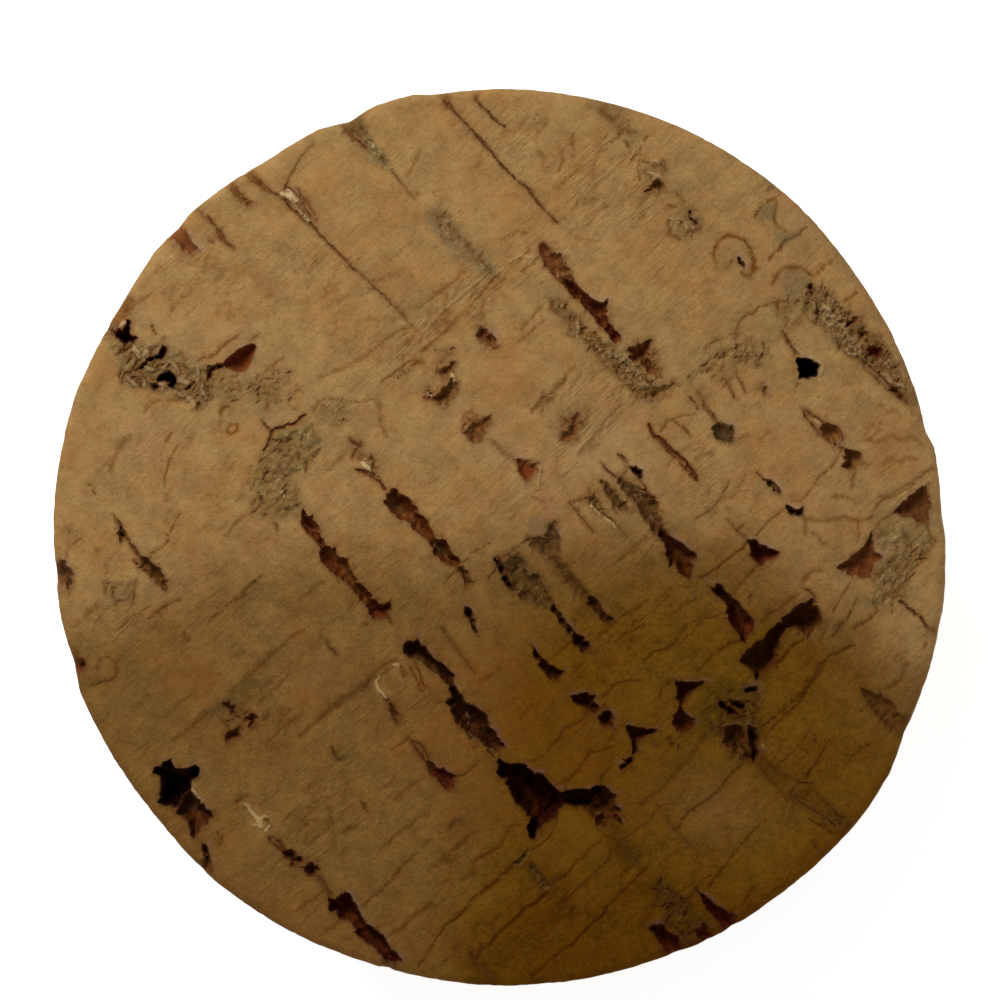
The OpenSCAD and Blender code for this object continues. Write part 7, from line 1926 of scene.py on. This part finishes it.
# stains; the orange channel also carries the painted shade on the lower rim
ragged = c.noise(mm, 2.6, 4.0, 0.65)
fray = c.ramp(ragged, 0.30, 0.62)
for name, tint, amount in (("olive", (0.088, 0.072, 0.022), 0.78), ("grey", (0.110, 0.088, 0.042), 0.74),
                           ("brown", (0.135, 0.055, 0.015), 0.85), ("orange", (0.330, 0.130, 0.028), 0.62),
                           ("pale", (0.430, 0.270, 0.118), 0.80), ("pink", (0.330, 0.165, 0.088), 0.85)):
    soft = name in ("orange", "pale", "pink")
    spread = c.mad(fray, 0.35, 0.65) if soft else c.mad(fray, 0.65, 0.35)
    col = c.mix(c.mul(c.mul(c.attr(name), spread), amount), col, tint)

# crumbled filling of old lenticels: lumps with dark seams between them, some of them pale
crumb = c.attr("crumb")
wob = c.put("ShaderNodeTexNoise")
c.link(mm, wob.inputs["Vector"])
wob.inputs["Scale"].default_value = 2.6
wob.inputs["Detail"].default_value = 3.0
jolt = c.put("ShaderNodeVectorMath", operation="MULTIPLY_ADD")
c.link(wob.outputs["Color"], jolt.inputs[0])
jolt.inputs[1].default_value = (0.75, 0.75, 0.75)
c.link(mm, jolt.inputs[2])
lumps = c.put("ShaderNodeTexVoronoi", feature="DISTANCE_TO_EDGE")
c.link(jolt.outputs[0], lumps.inputs["Vector"])
lumps.inputs["Scale"].default_value = 1.5
seam = c.ramp(lumps.outputs["Distance"], 0.10, 0.010)
cells = c.noise(c.shifted(mm, 9.0, 2.0, 40.0), 1.5, 4.0, 0.60, 0.6)
bits = c.noise(c.scaled(c.shifted(grainwise, 1.0, 22.0, 14.0), 1.0, 2.2, 1.0), 2.6, 3.0, 0.60, 0.6)
seam = c.mul(seam, c.ramp(bits, 0.40, 0.56))
crumb_in = c.mul(crumb, c.ramp(c.mad(crumb, 0.5, c.mul(cells, 0.9)), 0.42, 0.66))
dark_bits = c.mul(c.math("MAXIMUM", c.mul(seam, 0.55), c.ramp(cells, 0.44, 0.36, 0.0, 0.7)), crumb_in)
pale_bits = c.mul(c.mul(c.ramp(bits, 0.52, 0.66), c.ramp(cells, 0.45, 0.56)), crumb_in)
col = c.mix(c.mul(crumb_in, 0.42), col, (0.225, 0.155, 0.050))
col = c.mix(c.mul(dark_bits, 0.74), col, (0.085, 0.046, 0.012))
col = c.mix(c.mul(pale_bits, 0.66), col, (0.460, 0.330, 0.130))

# open places: torn edge, stained lip with a painted highlight on one side, dark inside
tear = c.noise(mm, 5.2, 3.0, 0.62)
rent = c.noise(c.scaled(grainwise, 2.6, 3.4, 2.6), 1.0, 3.0, 0.6)
edge = c.mad(c.sub(tear, 0.5), c.mad(rough, 4.0, 2.6), pit)
edge = c.mad(c.sub(rent, 0.5), c.mad(rough, 5.5, 1.2), edge)
inside = c.mul(c.ramp(edge, 1.7, -1.1), hold)
halo = c.mul(c.ramp(edge, 5.5, 0.4), c.mul(hold, c.mad(rough, 0.36, 0.26)))
# painted highlight: a pale band just outside the edge, on the side of the lip that the light catches
painted_lip_highlight = c.mul(c.mul(c.ramp(edge, 0.2, 1.6), c.ramp(edge, 5.6, 2.4)), c.ramp(c.noise(mm, 1.2, 2.0, 0.5), 0.34, 0.56))
painted_lip_highlight = c.mul(c.mul(painted_lip_highlight, hold), c.attr("lip_highlight"))
col = c.mix(halo, col, (0.150, 0.070, 0.024))
col = c.mix(c.mul(painted_lip_highlight, 0.30), col, (0.360, 0.235, 0.150))
flaky = c.noise(c.scaled(mm, 1.0, 1.0, 0.6), 2.4, 4.0, 0.64, 0.8)
level = c.mad(c.sub(flaky, 0.5), c.mad(rough, 0.75, 0.22), c.add(tone, 0.20))
blackish = c.stops(level, [(0.0, (0.006, 0.004, 0.004)), (0.14, (0.060, 0.028, 0.010)), (0.34, (0.140, 0.074, 0.020)),
                           (0.55, (0.215, 0.122, 0.034)), (0.80, (0.300, 0.180, 0.060))])
reddish = c.stops(level, [(0.0, (0.030, 0.002, 0.002)), (0.12, (0.115, 0.008, 0.009)), (0.30, (0.195, 0.042, 0.009)),
                          (0.55, (0.260, 0.083, 0.016)), (0.80, (0.325, 0.135, 0.032))])
hollow = c.mix(red, blackish, reddish)
col = c.mix(inside, col, hollow)

# pale torn fibres
thread = c.mad(c.sub(c.noise(mm, 7.0, 2.0, 0.6), 0.5), 1.2, c.attr("fibre"))
col = c.mix(c.mul(c.ramp(thread, 0.6, -0.6), c.mul(c.attr("shine"), 0.82)), col, (0.600, 0.420, 0.210))

# painted shade: the colour is multiplied darker and warmer under the painted soft shadow, less inside the open places
# and on the pale fibres
spared = c.math("MAXIMUM", c.mul(inside, 0.22), c.mul(c.attr("shine"), 0.25))
col = c.mix(c.sub(1.0, spared), col, c.stops(c.mul(painted_shade, 0.8), [(0.0, (0.95, 0.95, 0.98)), (0.4, (0.55, 0.48, 0.34)), (0.8, (0.39, 0.298, 0.056)), (1.0, (0.30, 0.20, 0.018))]), "MULTIPLY")
# a lilac tint on the painted lip highlight, and fine dust that greys the cork a little, more under the painted shade
col = c.mix(c.mul(painted_lip_highlight, c.mad(painted_shade, 0.010, 0.008)), col, (0.0, 0.0, 1.0), "ADD")
dust = c.noise(c.shifted(mm, 2.0, 66.0, 8.0), 9.0, 2.0, 0.6)
col = c.mix(c.mul(c.ramp(dust, 0.46, 0.68), c.mad(painted_shade, 0.0016, 0.0014)), col, (1.0, 1.0, 1.0), "ADD")

bsdf = c.put("ShaderNodeBsdfPrincipled")
c.link(col, bsdf.inputs["Base Color"])
c.link(c.mad(inside, 0.10, c.mad(c.sub(cloud, 0.5), 0.25, 0.76)), bsdf.inputs["Roughness"])
c.link(c.mad(painted_shade, -0.036, 0.05), bsdf.inputs["Specular IOR Level"])
height = c.mad(c.sub(hair, 0.5), c.mad(zone, 1.0, 0.15), c.mad(c.sub(grain, 0.5), 0.7, c.mul(c.sub(streak, 0.5), c.mad(zone, 1.6, 0.4))))
height = c.mad(c.sub(mottle, 0.5), 0.9, height)
height = c.mad(c.mul(crumb, bits), 2.2, height)
height = c.mad(c.mul(inside, c.sub(flaky, 0.5)), 3.0, height)
height = c.mad(c.attr("vein"), -0.5, height)
bump = c.put("ShaderNodeBump")
bump.inputs["Strength"].default_value = 0.55
bump.inputs["Distance"].default_value = 0.00016
c.link(height, bump.inputs["Height"])
c.link(bump.outputs[0], bsdf.inputs["Normal"])
out = c.put("ShaderNodeOutputMaterial")
c.link(bsdf.outputs[0], out.inputs[0])
mesh.materials.append(c.mat)

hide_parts("cork_stopper")
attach(body, "root")

# ---------------------------------------------------------------------------------------------
# Floor, light, camera
# ---------------------------------------------------------------------------------------------
floor_mesh = bpy.data.meshes.new("floor")
floor_mesh.from_pydata([(-2, -2, 0), (2, -2, 0), (2, 2, 0), (-2, 2, 0)], [], [(0, 1, 2, 3)])
floor = bpy.data.objects.new("floor", floor_mesh)
bpy.context.scene.collection.objects.link(floor)
fm_ = Net("pale_floor")
fb_ = fm_.put("ShaderNodeBsdfPrincipled")
fcoord = fm_.put("ShaderNodeTexCoord").outputs["Object"]
ftone = fm_.ramp(fm_.noise(fcoord, 40.0, 2.0, 0.5), 0.3, 0.7, 0.0, 1.0)
fm_.link(fm_.mix(ftone, (0.90, 0.90, 0.895), (0.915, 0.915, 0.91)), fb_.inputs["Base Color"])
fb_.inputs["Roughness"].default_value = 0.9
fb_.inputs["Specular IOR Level"].default_value = 0.1
fb_.inputs["Emission Color"].default_value = (1.0, 1.0, 1.0, 1.0)
fb_.inputs["Emission Strength"].default_value = 0.68
fo_ = fm_.put("ShaderNodeOutputMaterial")
fm_.link(fb_.outputs[0], fo_.inputs[0])
floor_mesh.materials.append(fm_.mat)


def soft_light(name, place, target, size, power, colour=(1.0, 1.0, 1.0)):
    data = bpy.data.lights.new(name, "AREA")
    data.shape = "SQUARE"
    data.size = size
    data.energy = power
    data.color = colour
    o = bpy.data.objects.new(name, data)
    o.location = place
    o.rotation_euler = (Vector(target) - Vector(place)).to_track_quat("-Z", "Y").to_euler()
    bpy.context.scene.collection.objects.link(o)
    return o


soft_light("key", (-0.070, 0.105, 0.175), (0.0, 0.0, 0.034), 0.085, 0.30)
soft_light("side_fill", (0.30, -0.26, 0.022), (0.0, 0.0, 0.018), 0.20, 0.55)
world = bpy.data.worlds.new("studio")
bpy.context.scene.world = world
world.use_nodes = True
wb = world.node_tree.nodes.get("Background")
wb.inputs[0].default_value = (1.0, 1.0, 1.0, 1.0)
wb.inputs[1].default_value = 0.40

cam_data = bpy.data.cameras.new("camera")
cam_data.sensor_width = 36.0
CAM_UP = 0.60
cam_data.lens = 36.0 * CAM_UP / (1000.0 * STEP / 1000.0)
cam_data.clip_end = 10.0
cam = bpy.data.objects.new("camera", cam_data)
cam.location = (-1.0 * STEP / 1000.0, 39.0 * STEP / 1000.0, LENGTH / 1000.0 + CAM_UP)
cam.rotation_euler = (0.0, 0.0, 0.0)
bpy.context.scene.collection.objects.link(cam)
bpy.context.scene.camera = cam
bpy.context.scene.view_settings.view_transform = "Standard"
bpy.context.scene.view_settings.look = "None"
